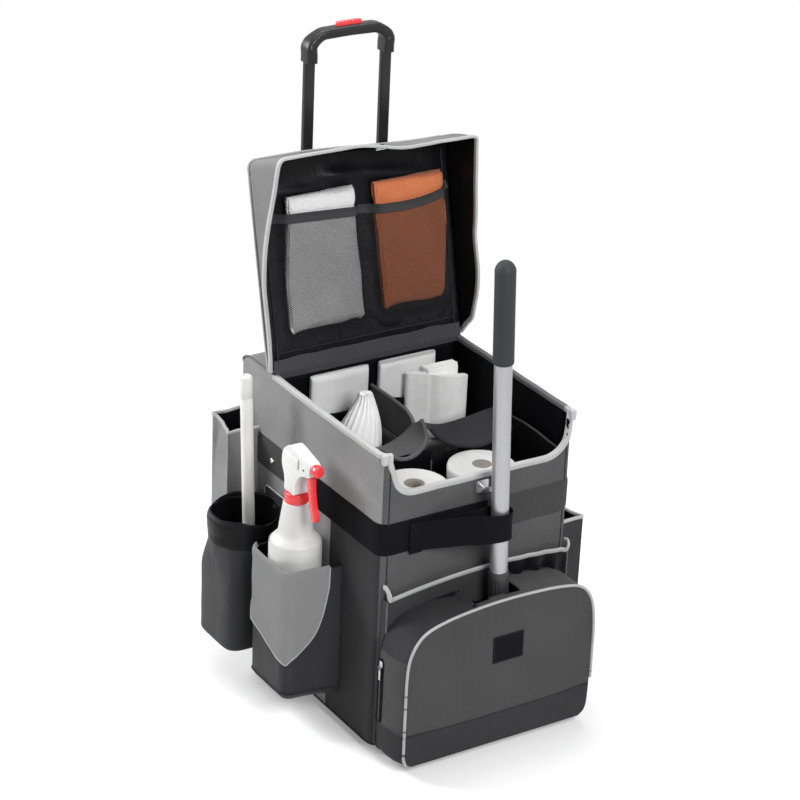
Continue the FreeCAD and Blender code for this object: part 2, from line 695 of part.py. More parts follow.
def handle_outer_tubes():
    """The two fixed tubes that the handle slides in."""
    tubes = []
    for side in (-1, 1):
        outer = tube_section(side, SLIDE_GAP + TUBE_WALL, TRAY_TOP_FACE, OUTER_TUBE_TOP)
        inner = tube_section(side, SLIDE_GAP, 0, FAR)
        tubes.append(outer.cut(inner))
    return group(*tubes)


def tube_brackets():
    """Two cross brackets that tie the fixed tubes to the rear wall."""
    brackets = []
    half = HANDLE_HALF_SPACING + TUBE_WIDTH / 2.0 + BRACKET_OVERHANG
    rear = BODY_DEPTH - WALL
    for z in (BRACKET_LOW_Z, BRACKET_HIGH_Z):
        bar = block(-half, half, rear - BRACKET_DEPTH, rear, z, z + BRACKET_HEIGHT)
        for side in (-1, 1):
            bar = bar.cut(tube_section(side, SLIDE_GAP + TUBE_WALL + FIT_GAP, 0, FAR))
        brackets.append(bar)
    return group(*brackets)


def collar_block(side, grow):
    """The outside of a handle collar."""
    return tube_section(side, COLLAR_MARGIN + grow, OUTER_TUBE_TOP, COLLAR_TOP)


def handle_collars():
    """The guide collars that stand in the rear cover round the handle tubes."""
    collars = []
    for side in (-1, 1):
        collars.append(collar_block(side, 0.0).cut(tube_section(side, SLIDE_GAP, 0, FAR)))
    return group(*collars)


def handle_tubes():
    """The two sliding tubes."""
    tubes = []
    top = GRIP_BOTTOM + SOCKET_DEPTH
    for side in (-1, 1):
        outer = tube_section(side, 0.0, HANDLE_TUBE_BOTTOM, top)
        tubes.append(outer.cut(tube_section(side, -TUBE_WALL, 0, FAR)))
    return group(*tubes)


def handle_grip():
    """The arched grip with a socket for each tube and a pocket for its button."""
    front = HANDLE_Y - GRIP_DEPTH / 2.0
    rear = HANDLE_Y + GRIP_DEPTH / 2.0
    body = block(-GRIP_HALF_WIDTH, GRIP_HALF_WIDTH, front, rear, GRIP_BOTTOM, GRIP_TOP)
    upper = [e for e in edges_along(body, Y_AXIS) if e.CenterOfMass.z > GRIP_TOP - 1]
    body = body.makeFillet(GRIP_OUTER_RADIUS, upper)
    inner_half = GRIP_HALF_WIDTH - GRIP_ARM
    arch = block(-inner_half, inner_half, front - 1, rear + 1, GRIP_BOTTOM - 1, GRIP_ARCH_Z)
    under = [e for e in edges_along(arch, Y_AXIS) if e.CenterOfMass.z > GRIP_ARCH_Z - 1]
    arch = arch.makeFillet(GRIP_INNER_RADIUS, under)
    grip = body.cut(arch)
    outline = [e for e in grip.Edges if abs(e.CenterOfMass.y - HANDLE_Y) > GRIP_DEPTH / 2.0 - 0.1]
    above = [e for e in outline if e.CenterOfMass.z > GRIP_BOTTOM + 1]
    grip = grip.makeFillet(GRIP_EDGE, above)
    for side in (-1, 1):
        grip = grip.cut(tube_section(side, FIT_GAP, 0, GRIP_BOTTOM + SOCKET_DEPTH + FIT_GAP))
    pocket_floor = GRIP_TOP + BUTTON_PROUD - BUTTON_HEIGHT - BUTTON_TRAVEL - BUTTON_FLOOR_GAP
    return grip.cut(button_block(SLIDE_GAP, pocket_floor, FAR))


def button_block(grow, z0, z1):
    """A bar with the button's plan, grown by a margin."""
    half_x = BUTTON_LENGTH / 2.0 + grow
    half_y = BUTTON_WIDTH / 2.0 + grow
    return rounded_block(-half_x, half_x, HANDLE_Y - half_y, HANDLE_Y + half_y, z0, z1, BUTTON_WIDTH / 3.0)


def release_button():
    """The button in the grip's top that frees the handle."""
    top = GRIP_TOP + BUTTON_PROUD
    button = button_block(0.0, top - BUTTON_HEIGHT, top)
    rim = [e for e in button.Edges if abs(e.CenterOfMass.z - top) < 0.01]
    return button.makeFillet(BUTTON_RIM, rim)


# ---------------------------------------------------------------- lid

def opened(shape):
    """A lid piece drawn closed, turned back to where the open lid rests."""
    copy = shape.copy()
    copy.rotate(vec(0, BULKHEAD_FRONT, LID_HINGE_Z), X_AXIS, -LID_OPEN_ANGLE)
    return copy


def lid_outline(z0, z1, inset):
    """The lid's plan, set in by a margin, with rounded front corners and a square rear."""
    half = LID_OUTER_HALF - inset
    radius = LID_CORNER_RADIUS - inset
    long_block = rounded_block(-half, half, LID_FRONT + inset, LID_REAR + FAR, z0, z1, radius)
    return long_block.common(block(-FAR, FAR, -FAR, LID_REAR, -FAR, FAR))


def skirt_edge_slab(low, high):
    """The slanted layer between two offsets of the skirt's free edge, hinge to front."""
    run = LID_REAR - LID_FRONT
    z_front = LID_HINGE_Z - LID_SKIRT_DROP
    points = [
        (LID_REAR, LID_HINGE_Z - HINGE_ROLL_RADIUS + low),
        (LID_REAR - run - SKIRT_OVERRUN, z_front + low),
        (LID_REAR - run - SKIRT_OVERRUN, z_front + high),
        (LID_REAR, LID_HINGE_Z - HINGE_ROLL_RADIUS + high),
    ]
    return plate_yz(points, -FAR, FAR)


def lid_panel():
    """The lid's stiffened top."""
    return opened(lid_outline(LID_HINGE_Z, LID_TOP, 0.0))


def eyelet_slot(width, z1):
    """The slot up from the front skirt's edge that clears the latch's post."""
    return block(LATCH_X - width / 2.0, LATCH_X + width / 2.0, -FAR, 0.0, 0, z1)


def lid_skirt():
    """The skirt along the lid's sides and front, deeper towards the front."""
    outer = lid_outline(0, LID_HINGE_Z, 0.0)
    ring = outer.cut(lid_outline(-1, LID_HINGE_Z + 1, LID_SKIRT_WALL))
    above_edge = skirt_edge_slab(LID_BINDING_HEIGHT, FAR)
    slot = eyelet_slot(EYELET_SLOT, LATCH_Z + EYELET_SLOT / 2.0)
    return opened(ring.common(above_edge).cut(slot))


def lid_edge_binding():
    """The pale binding on the skirt's free edge."""
    outer = lid_outline(0, LID_HINGE_Z, -LID_BINDING_LAP)
    ring = outer.cut(lid_outline(-1, LID_HINGE_Z + 1, LID_SKIRT_WALL + LID_BINDING_LAP))
    edge = ring.common(skirt_edge_slab(0.0, LID_BINDING_HEIGHT))
    slot = eyelet_slot(EYELET_SLOT, FAR)
    return opened(edge.cut(slot))


def lid_eyelet():
    """The metal plate round the latch slot, on the skirt's outer face."""
    half = EYELET_SLOT / 2.0 + EYELET_RIM
    low = LID_HINGE_Z - LID_SKIRT_DROP + LID_BINDING_HEIGHT + EYELET_MARGIN
    high = LATCH_Z + half
    plate = rounded_block(LATCH_X - half, LATCH_X + half, LID_FRONT - EYELET_THICKNESS, LID_FRONT,
                          low, high, EYELET_CORNER, Y_AXIS)
    return opened(plate.cut(eyelet_slot(EYELET_SLOT, LATCH_Z + EYELET_SLOT / 2.0)))


def cloth_block(left, width, grow, length, back):
    """A cloth's place under the lid, measured from the hinge towards the front."""
    rear = BULKHEAD_FRONT - CLOTH_FROM_HINGE
    top = LID_HINGE_Z - back
    bottom = LID_HINGE_Z - CLOTH_BACK_GAP - CLOTH_THICKNESS - grow
    return block(left - grow, left + width + grow, rear - length, rear + grow, bottom, top)


def lid_cloth(left, width):
    """A folded cloth kept in the lid's mesh pocket."""
    plain = cloth_block(left, width, 0.0, CLOTH_LENGTH, CLOTH_BACK_GAP)
    return opened(plain.makeFillet(CLOTH_EDGE, edges_along(plain, Y_AXIS)))


def lid_mesh_pocket():
    """The mesh under the lid that holds both cloths against it."""
    solids = []
    for left, width in ((GREY_CLOTH_LEFT, GREY_CLOTH_WIDTH), (ORANGE_CLOTH_LEFT, ORANGE_CLOTH_WIDTH)):
        outer = cloth_block(left, width, MESH_THICKNESS + SOFT_GAP, MESH_HEIGHT, 0.0)
        inner = cloth_block(left, width, SOFT_GAP, MESH_HEIGHT + FAR, -1.0)
        solids.append(outer.cut(inner))
    web_left = GREY_CLOTH_LEFT + GREY_CLOTH_WIDTH + MESH_THICKNESS + SOFT_GAP
    web_right = ORANGE_CLOTH_LEFT - MESH_THICKNESS - SOFT_GAP
    web = cloth_block(web_left, web_right - web_left, 0.0, MESH_HEIGHT, 0.0)
    web = web.common(block(-FAR, FAR, -FAR, FAR, LID_HINGE_Z - MESH_THICKNESS, LID_HINGE_Z))
    return opened(joined(solids[0], solids[1], web))


# ---------------------------------------------------------------- turn latch

def latch_plate():
    """The latch's base plate on the front wall."""
    half_x = LATCH_PLATE_WIDTH / 2.0
    half_z = LATCH_PLATE_HEIGHT / 2.0
    plate = rounded_block(LATCH_X - half_x, LATCH_X + half_x, -LATCH_PLATE_THICKNESS, 0.0,
                          LATCH_Z - half_z, LATCH_Z + half_z, LATCH_PLATE_CORNER, Y_AXIS)
    hole = tube_between(LATCH_POST_RADIUS + FIT_GAP, vec(LATCH_X, -FAR, LATCH_Z), vec(LATCH_X, 1, LATCH_Z))
    return plate.cut(hole)


def latch_knob():
    """The latch's turning post and its crosswise knob."""
    post = tube_between(LATCH_POST_RADIUS, vec(LATCH_X, -LATCH_KNOB_REACH - 1, LATCH_Z),
                        vec(LATCH_X, -SOFT_GAP, LATCH_Z))
    half_x = LATCH_KNOB_LENGTH / 2.0
    half_z = LATCH_KNOB_WIDTH / 2.0
    rear = -LATCH_KNOB_REACH
    bar = rounded_block(LATCH_X - half_x, LATCH_X + half_x, rear - LATCH_KNOB_THICKNESS, rear,
                        LATCH_Z - half_z, LATCH_Z + half_z, LATCH_KNOB_ROUND, Y_AXIS)
    return joined(post, bar)


# ---------------------------------------------------------------- front pocket and front bag

def pocket_plate(inset, lower, y0, y1):
    """The front pocket's elevation, set in and lowered by margins."""
    half = POCKET_HALF_WIDTH - inset
    return arched_plate(-half, half, POCKET_BOTTOM_Z + inset, POCKET_LEFT_Z - lower, POCKET_MIDDLE_Z - lower,
                        POCKET_RIGHT_Z - lower, y0, y1)


def front_pocket():
    """The flat pocket on the front wall, open along its top."""
    outer = pocket_plate(0.0, POCKET_BINDING, -POCKET_DEPTH, 0.0)
    half = POCKET_HALF_WIDTH - POCKET_CLOTH
    inner = block(-half, half, -POCKET_DEPTH + POCKET_CLOTH, 1.0, POCKET_BOTTOM_Z + POCKET_CLOTH, FAR)
    return outer.cut(inner)


def front_pocket_binding():
    """The pale binding on the front pocket's upper edge."""
    front = -POCKET_DEPTH
    rear = -POCKET_DEPTH + POCKET_CLOTH + BINDING_LAP
    upper = pocket_plate(0.0, 0.0, front, rear)
    return upper.cut(pocket_plate(-1.0, POCKET_BINDING, front - 1, rear + 1))


def bag_elevation(inset, y0, y1):
    """The front bag's elevation, set in by a margin."""
    half = BAG_HALF_WIDTH - inset
    side = BAG_SIDE_Z - inset
    middle = BAG_MIDDLE_Z - inset
    plate = arched_plate(-half, half, BAG_BOTTOM_Z + inset, side, middle, side, y0, y1)
    lines = edges_along(plate, Y_AXIS)
    upper = [e for e in lines if e.CenterOfMass.z > side - 1]
    plate = plate.makeFillet(BAG_TOP_RADIUS - inset, upper)
    lines = edges_along(plate, Y_AXIS)
    lower = [e for e in lines if e.CenterOfMass.z < BAG_BOTTOM_Z + inset + 1]
    return plate.makeFillet(BAG_BOTTOM_RADIUS - inset, lower)


def front_bag():
    """The deep bag on the front, with a mouth in its top for long handles."""
    outer = bag_elevation(0.0, BAG_FRONT, BAG_REAR)
    inner = bag_elevation(BAG_CLOTH, BAG_FRONT + BAG_CLOTH, BAG_REAR - BAG_CLOTH)
    mouth = block(BAG_MOUTH_LEFT, BAG_MOUTH_RIGHT, BAG_FRONT + BAG_CLOTH, BAG_REAR - BAG_CLOTH,
                  BAG_SIDE_Z, FAR)
    return cut(outer, inner, mouth)


def zip_slider():
    """The slider of the zip on the front bag's left gusset."""
    outer = -BAG_HALF_WIDTH - SOFT_GAP - ZIP_SLIDER_THICKNESS
    half = ZIP_SLIDER_WIDTH / 2.0
    return rounded_block(outer, -BAG_HALF_WIDTH - SOFT_GAP, ZIP_Y - half, ZIP_Y + half,
                         ZIP_TOP_Z - ZIP_SLIDER_HEIGHT, ZIP_TOP_Z, ZIP_SLIDER_CORNER, X_AXIS)


# ---------------------------------------------------------------- mop handle

def leaned_foot(seat_z, radius, lean, reference_z):
    """The drawn height of a bar's foot that rests on a seat once the bar is leaned."""
    tilt = math.radians(lean)
    return reference_z - (reference_z - seat_z - radius * math.sin(tilt)) / math.cos(tilt)


def leaned_mop(shape):
    """A mop piece drawn upright, leaned sideways as the handle stands."""
    copy = shape.copy()
    copy.rotate(vec(MOP_X, MOP_Y, MOP_REFERENCE_Z), Y_AXIS, -MOP_LEAN)
    return copy


def mop_bar(radius, z0, z1):
    """An upright round bar on the mop's centre line."""
    return tube_between(radius, vec(MOP_X, MOP_Y, z0), vec(MOP_X, MOP_Y, z1))


def mop_tube():
    """The mop handle's aluminium tube."""
    tube = mop_bar(MOP_TUBE_RADIUS, MOP_TUBE_BOTTOM_Z, MOP_GRIP_BOTTOM_Z + MOP_SOCKET_OVERLAP)
    return leaned_mop(tube.cut(mop_bar(MOP_TUBE_RADIUS - MOP_TUBE_WALL, 0, FAR)))


def mop_grip():
    """The domed rubber grip on the mop handle's top."""
    grip = mop_bar(MOP_GRIP_RADIUS, MOP_GRIP_BOTTOM_Z, MOP_TOP_Z)
    top = [e for e in grip.Edges if e.CenterOfMass.z > MOP_TOP_Z - 1 and e.Length > MOP_GRIP_RADIUS]
    grip = grip.makeFillet(MOP_DOME_RADIUS, [e for e in top if isinstance(e.Curve, Part.Circle)])
    socket = mop_bar(MOP_TUBE_RADIUS + FIT_GAP, 0, MOP_GRIP_BOTTOM_Z + MOP_SOCKET_OVERLAP + FIT_GAP)
    return leaned_mop(grip.cut(socket))


def mop_connector():
    """The socket below the tube and the shank that stands in the front bag."""
    seat = BAG_BOTTOM_Z + BAG_CLOTH + SOFT_GAP
    floor = leaned_foot(seat, MOP_SHANK_RADIUS, MOP_LEAN, MOP_REFERENCE_Z)
    socket = mop_bar(MOP_SOCKET_RADIUS, MOP_TUBE_BOTTOM_Z - MOP_SOCKET_LENGTH, MOP_TUBE_BOTTOM_Z)
    shank = mop_bar(MOP_SHANK_RADIUS, floor, MOP_TUBE_BOTTOM_Z)
    plug_radius = MOP_TUBE_RADIUS - MOP_TUBE_WALL - FIT_GAP
    plug = mop_bar(plug_radius, MOP_TUBE_BOTTOM_Z - 1, MOP_TUBE_BOTTOM_Z + MOP_SOCKET_OVERLAP)
    return leaned_mop(joined(socket, shank, plug))


def strap_slab(x0, y0, x1, y1):
    """A straight run of the strap between two plan points."""
    length = math.hypot(x1 - x0, y1 - y0)
    half = STRAP_THICKNESS / 2.0
    slab = block(0, length, -half, half, STRAP_BOTTOM_Z, STRAP_BOTTOM_Z + STRAP_HEIGHT)
    slab.rotate(vec(0, 0, 0), Z_AXIS, math.degrees(math.atan2(y1 - y0, x1 - x0)))
    slab.translate(vec(x0, y0, 0))
    return slab


def tangent_angle(x, y, cx, cy, radius, side):
    """The angle on a circle where a line from an outside point touches it."""
    away = math.hypot(x - cx, y - cy)
    base = math.atan2(y - cy, x - cx)
    return base + side * math.acos(radius / away)


def mop_strap():
    """The hook-and-loop strap from the band round the mop handle and back on itself."""
    top_z = STRAP_BOTTOM_Z + STRAP_HEIGHT
    cx = MOP_X - (STRAP_BOTTOM_Z + STRAP_HEIGHT / 2.0 - MOP_REFERENCE_Z) * math.tan(math.radians(MOP_LEAN))
    radius = STRAP_LOOP_RADIUS + STRAP_THICKNESS / 2.0
    lay = -BAND_THICKNESS - STRAP_THICKNESS / 2.0
    bend_x = STRAP_LEFT + STRAP_SEWN
    front = tangent_angle(bend_x, lay, cx, MOP_Y, radius, 1)
    fx = cx + radius * math.cos(front)
    fy = MOP_Y + radius * math.sin(front)
    share = (STRAP_RETURN_X - bend_x) / (fx - bend_x)
    join_y = lay + share * (fy - lay)
    back = tangent_angle(STRAP_RETURN_X, join_y, cx, MOP_Y, radius, -1)
    bx = cx + radius * math.cos(back)
    by = MOP_Y + radius * math.sin(back)
    ring = tube_between(radius + STRAP_THICKNESS / 2.0, vec(cx, MOP_Y, STRAP_BOTTOM_Z), vec(cx, MOP_Y, top_z))
    ring = ring.cut(tube_between(STRAP_LOOP_RADIUS, vec(cx, MOP_Y, 0), vec(cx, MOP_Y, FAR)))
    reach = STRAP_GAP_REACH
    wedge = [vec(cx, MOP_Y, 0), vec(bx + (bx - cx) * reach, by + (by - MOP_Y) * reach, 0),
             vec(fx + (fx - cx) * reach, fy + (fy - MOP_Y) * reach, 0)]
    gap = Part.Face(Part.makePolygon(wedge + [wedge[0]])).extrude(vec(0, 0, FAR))
    sewn = strap_slab(STRAP_LEFT, lay, bend_x + STRAP_SEAM_LAP, lay)
    out = strap_slab(bend_x, lay, fx, fy)
    home = strap_slab(bx, by, STRAP_RETURN_X, join_y)
    return joined(ring.cut(gap), sewn, out, home)


# ---------------------------------------------------------------- brush pouch

def brush_pouch_plan(grow, z0, z1):
    """The brush pouch's plan: a circle joined to a short flat back."""
    round_part = tube_between(BRUSH_POUCH_RADIUS + grow, vec(BRUSH_POUCH_X, BRUSH_POUCH_Y, z0),
                              vec(BRUSH_POUCH_X, BRUSH_POUCH_Y, z1))
    half = BRUSH_POUCH_BACK_HALF + grow
    back = block(BRUSH_POUCH_X, -HALF, BRUSH_POUCH_Y - half, BRUSH_POUCH_Y + half, z0, z1)
    return joined(round_part, back).common(block(-FAR, -HALF, -FAR, FAR, -FAR, FAR))


def brush_pouch():
    """The round pouch on the left wall for the brush."""
    outer = brush_pouch_plan(0.0, BRUSH_POUCH_BOTTOM_Z, BRUSH_POUCH_TOP_Z)
    hollow = brush_pouch_plan(-POUCH_CLOTH, BRUSH_POUCH_BOTTOM_Z + POUCH_CLOTH, FAR)
    hollow = hollow.common(block(-FAR, -HALF - POUCH_CLOTH, -FAR, FAR, -FAR, FAR))
    half = BRUSH_POUCH_BACK_HALF
    tab = block(-HALF - POUCH_CLOTH, -HALF, BRUSH_POUCH_Y - half, BRUSH_POUCH_Y + half, BRUSH_POUCH_BOTTOM_Z,
                BRUSH_POUCH_TOP_Z + BRUSH_POUCH_BACK_RISE)
    return joined(outer.cut(hollow), tab)


def brush_pouch_collar():
    """The rolled collar round the brush pouch's mouth."""
    z0 = BRUSH_POUCH_TOP_Z - COLLAR_HEIGHT
    outer = brush_pouch_plan(COLLAR_THICKNESS, z0, BRUSH_POUCH_TOP_Z)
    return outer.cut(brush_pouch_plan(FIT_GAP, z0 - 1, BRUSH_POUCH_TOP_Z + 1))


def leaned_wand(shape):
    """A brush piece drawn upright, leaned as the brush stands in its pouch."""
    copy = shape.copy()
    copy.rotate(vec(WAND_REFERENCE_X, BRUSH_POUCH_Y, WAND_REFERENCE_Z), Y_AXIS, -WAND_LEAN)
    return copy


def brush_floor():
    """The drawn height of the brush head's foot, which rests on the pouch's floor once leaned."""
    seat = BRUSH_POUCH_BOTTOM_Z + POUCH_CLOTH + SOFT_GAP
    return leaned_foot(seat, BRUSH_HEAD_RADIUS, WAND_LEAN, WAND_REFERENCE_Z)


def brush_wand():
    """The brush's long white handle."""
    bottom = brush_floor() + BRUSH_HEAD_HEIGHT
    wand = tube_between(WAND_RADIUS, vec(WAND_REFERENCE_X, BRUSH_POUCH_Y, bottom),
                        vec(WAND_REFERENCE_X, BRUSH_POUCH_Y, WAND_TOP_Z))
    rim = [e for e in wand.Edges if e.CenterOfMass.z > WAND_TOP_Z - 1 and isinstance(e.Curve, Part.Circle)]
    return leaned_wand(wand.makeFillet(WAND_TIP_EDGE, rim))


def brush_head():
    """The brush's round head."""
    bottom = brush_floor()
    head = tube_between(BRUSH_HEAD_RADIUS, vec(WAND_REFERENCE_X, BRUSH_POUCH_Y, bottom),
                        vec(WAND_REFERENCE_X, BRUSH_POUCH_Y, bottom + BRUSH_HEAD_HEIGHT))
    top = bottom + BRUSH_HEAD_HEIGHT
    rim = [e for e in head.Edges if isinstance(e.Curve, Part.Circle) and abs(e.CenterOfMass.z - top) < 0.01]
    return leaned_wand(head.makeFillet(BRUSH_HEAD_EDGE, rim))


# ---------------------------------------------------------------- bottle pouch and spray bottle

def bottle_pouch_plan(grow, z0, z1):
    """The bottle pouch's plan, rounded at its two outer corners."""
    outer = -HALF - BOTTLE_POUCH_DEPTH - grow
    front = BOTTLE_POUCH_FRONT - grow
    rear = BOTTLE_POUCH_FRONT + BOTTLE_POUCH_LENGTH + grow
    whole = rounded_block(outer, 0.0, front, rear, z0, z1, BOTTLE_POUCH_CORNER + grow)
    return whole.common(block(-FAR, -HALF, -FAR, FAR, -FAR, FAR))


def bottle_pouch():
    """The square pouch on the left wall for the spray bottle."""
    outer = bottle_pouch_plan(0.0, BOTTLE_POUCH_BOTTOM_Z, BOTTLE_POUCH_TOP_Z)
    hollow = bottle_pouch_plan(-POUCH_CLOTH, BOTTLE_POUCH_BOTTOM_Z + POUCH_CLOTH, FAR)
    return outer.cut(hollow.common(block(-FAR, -HALF - POUCH_CLOTH, -FAR, FAR, -FAR, FAR)))


def flap_edge(corner):
    """The region above the flap's lower edge, which rises away from the pouch's corner."""
    start = corner - FLAP_OVERRUN
    return [(start, FLAP_TIP_Z), (FAR, FLAP_TIP_Z + FLAP_SLOPE * (FAR - corner)), (FAR, FAR), (start, FAR)]


def bottle_pouch_flap():
    """The pale pointed flap turned out over the bottle pouch's outer corner."""
    skin = bottle_pouch_plan(FLAP_THICKNESS, FLAP_TIP_Z, BOTTLE_POUCH_TOP_Z)
    skin = skin.cut(bottle_pouch_plan(FIT_GAP, 0, FAR))
    corner_x = -HALF - BOTTLE_POUCH_DEPTH
    corner_y = BOTTLE_POUCH_FRONT
    side = skin.common(block(-FAR, corner_x + BOTTLE_POUCH_CORNER, corner_y, corner_y + FLAP_REAR_LENGTH,
                             0, FAR))
    front = skin.common(block(-FAR, corner_x + FLAP_FRONT_LENGTH, -FAR, corner_y + BOTTLE_POUCH_CORNER,
                              0, FAR))
    side = side.common(plate_yz(flap_edge(corner_y), -FAR, FAR))
    front = front.common(plate_xz(flap_edge(corner_x), -FAR, FAR))
    return joined(side, front)


def bottle_profile(inset):
    """The bottle's half section, set in by a wall."""
    base = BOTTLE_POUCH_BOTTOM_Z + POUCH_CLOTH + SOFT_GAP
    neck_top = BOTTLE_NECK_BASE_Z + BOTTLE_NECK_HEIGHT
    return [
        (0.0, base + inset),
        (BOTTLE_RADIUS - BOTTLE_FOOT_BEVEL - inset, base + inset),
        (BOTTLE_RADIUS - inset, base + BOTTLE_FOOT_BEVEL),
        (BOTTLE_RADIUS - inset, BOTTLE_SHOULDER_Z),
        (SHOULDER_MIDDLE_RADIUS - inset, BOTTLE_SHOULDER_Z + SHOULDER_MIDDLE_RISE),
        (SHOULDER_UPPER_RADIUS - inset, BOTTLE_SHOULDER_Z + SHOULDER_UPPER_RISE),
        (BOTTLE_THROAT_RADIUS - inset, BOTTLE_NECK_BASE_Z - THROAT_LIP),
        (BOTTLE_THROAT_RADIUS - THROAT_BEVEL - inset, BOTTLE_NECK_BASE_Z - inset),
        (BOTTLE_NECK_RADIUS - inset, BOTTLE_NECK_BASE_Z - inset / 2.0),
        (BOTTLE_NECK_RADIUS - inset, neck_top),
        (0.0, neck_top),
    ]


def spray_bottle():
    """The hollow white bottle."""
    outer = turned(bottle_profile(0.0), BOTTLE_X, BOTTLE_Y)
    hollow = turned(bottle_profile(BOTTLE_WALL), BOTTLE_X, BOTTLE_Y)
    return outer.cut(hollow)


def bottle_bar(radius, z0, z1):
    """An upright round bar on the bottle's centre line."""
    return tube_between(radius, vec(BOTTLE_X, BOTTLE_Y, z0), vec(BOTTLE_X, BOTTLE_Y, z1))


def sprayer_collar():
    """The red screw collar that holds the sprayer on the bottle."""
    z0 = BOTTLE_NECK_BASE_Z + FIT_GAP
    ring = bottle_bar(SPRAYER_COLLAR_RADIUS, z0, z0 + SPRAYER_COLLAR_HEIGHT)
    thread_top = BOTTLE_NECK_BASE_Z + BOTTLE_NECK_HEIGHT + FIT_GAP
    thread = bottle_bar(BOTTLE_NECK_RADIUS + FIT_GAP, z0 - 1, thread_top)
    return ring.cut(thread)


def sprayer_base():
    """The height of the sprayer head's underside."""
    return BOTTLE_NECK_BASE_Z + FIT_GAP + SPRAYER_COLLAR_HEIGHT


def sprayer_plate(points, half_width, x_round):
    """A sprayer piece from its side outline, rounded along its edges."""
    z0 = sprayer_base()
    outline = [(BOTTLE_Y + y, z0 + z) for y, z in points]
    plate = plate_yz(outline, BOTTLE_X - half_width, BOTTLE_X + half_width)
    return plate.makeFillet(x_round, edges_along(plate, X_AXIS))


def trigger_pin(radius, half_length):
    """A bar on the trigger's pivot line, across the sprayer head."""
    y = BOTTLE_Y - PIN_REACH
    z = sprayer_base() + PIN_RISE
    return tube_between(radius, vec(BOTTLE_X - half_length, y, z), vec(BOTTLE_X + half_length, y, z))


def nozzle_bar(radius, front, rear):
    """A round bar on the nozzle's line, between two depths."""
    z = sprayer_base() + NOZZLE_RISE
    return tube_between(radius, vec(BOTTLE_X, front, z), vec(BOTTLE_X, rear, z))


def sprayer_head():
    """The white sprayer head with its pump body, a slot for the trigger and the trigger's pin."""
    points = [(15, 0), (19, 26), (27, 44), (24, 66), (8, SPRAYER_HEIGHT), (2 - HEAD_FRONT_REACH, 70),
              (-HEAD_FRONT_REACH, 46), (-28, 40), (-17, 26), (-15, 0)]
    head = sprayer_plate(points, SPRAYER_WIDTH / 2.0, SPRAYER_EDGE)
    z0 = sprayer_base()
    slot = TRIGGER_WIDTH / 2.0 + SLIDE_GAP
    face = BOTTLE_Y - HEAD_FRONT_REACH
    room = block(BOTTLE_X - slot, BOTTLE_X + slot, face - 1, BOTTLE_Y - TRIGGER_SLOT_REAR,
                 z0 - TRIGGER_SLOT_DROP, z0 + TRIGGER_SLOT_TOP)
    nose = nozzle_bar(SPIGOT_RADIUS + FIT_GAP, face - 1, face + SPIGOT_LENGTH + SLIDE_GAP)
    return joined(cut(head, room, nose), trigger_pin(PIN_RADIUS, slot + PIN_SEAT))


def trigger():
    """The red trigger, hung on a pin in the sprayer head."""
    points = [(-37, 53), (-47, 53), (-50, 40), (-53, 12), (-64, -24), (-58, -27), (-46, 4), (-39, 40)]
    lever = sprayer_plate(points, TRIGGER_WIDTH / 2.0, TRIGGER_EDGE)
    return lever.cut(trigger_pin(PIN_RADIUS + FIT_GAP, SPRAYER_WIDTH))


def nozzle():
    """The red nozzle that turns on the sprayer's front."""
    face = BOTTLE_Y - HEAD_FRONT_REACH - SOFT_GAP
    cap = nozzle_bar(NOZZLE_RADIUS, face - NOZZLE_LENGTH, face)
    spigot = nozzle_bar(SPIGOT_RADIUS, face - 1, face + SPIGOT_LENGTH)
    return joined(cap, spigot)


# ---------------------------------------------------------------- side pockets

def side_pocket_solid(depth, front, rear, bottom, front_z, rear_z, cloth, lower):
    """A gusseted pocket on the right side wall with a sloped top, open there and towards the wall."""
    points = [(front, bottom), (rear, bottom), (rear, rear_z - lower), (front, front_z - lower)]
    outer = plate_yz(points, HALF, HALF + depth)
    return outer.cut(block(HALF - 1, HALF + depth - cloth, front + cloth, rear - cloth, bottom + cloth, FAR))


def band_zone():
    """The room that the webbing band takes on the bag's sides."""
    return bag_outline(BAND_BOTTOM_Z, BAND_BOTTOM_Z + BAND_HEIGHT, BAND_THICKNESS)


def left_side_pocket():
    """The narrow gusseted pocket at the left wall's rear."""
    pocket = side_pocket_solid(LEFT_POCKET_DEPTH, LEFT_POCKET_FRONT, LEFT_POCKET_REAR, LEFT_POCKET_BOTTOM_Z,
                               LEFT_POCKET_FRONT_Z, LEFT_POCKET_REAR_Z, POUCH_CLOTH, SIDE_BINDING)
    return mirrored(pocket).cut(band_zone())


def right_side_pocket():
    """The long gusseted pocket on the right wall."""
    return side_pocket_solid(RIGHT_POCKET_DEPTH, RIGHT_POCKET_FRONT, RIGHT_POCKET_REAR, RIGHT_POCKET_BOTTOM_Z,
                             RIGHT_POCKET_FRONT_Z, RIGHT_POCKET_REAR_Z, POUCH_CLOTH, SIDE_BINDING)


def pocket_binding(depth, front, rear, bottom, front_z, rear_z):
    """The binding on a side pocket's open edge."""
    full = side_pocket_solid(depth, front, rear, bottom, front_z, rear_z, POUCH_CLOTH, 0.0)
    below = [(front, 0), (rear, 0), (rear, rear_z - SIDE_BINDING), (front, front_z - SIDE_BINDING)]
    return full.cut(plate_yz(below, -FAR, FAR))


def side_pocket_bindings():
    """The pale bindings of both side pockets."""
    left = pocket_binding(LEFT_POCKET_DEPTH, LEFT_POCKET_FRONT, LEFT_POCKET_REAR, LEFT_POCKET_BOTTOM_Z,
                          LEFT_POCKET_FRONT_Z, LEFT_POCKET_REAR_Z)
    right = pocket_binding(RIGHT_POCKET_DEPTH, RIGHT_POCKET_FRONT, RIGHT_POCKET_REAR, RIGHT_POCKET_BOTTOM_Z,
                           RIGHT_POCKET_FRONT_Z, RIGHT_POCKET_REAR_Z)
    return group(mirrored(left), right)


# ---------------------------------------------------------------- what the bag holds

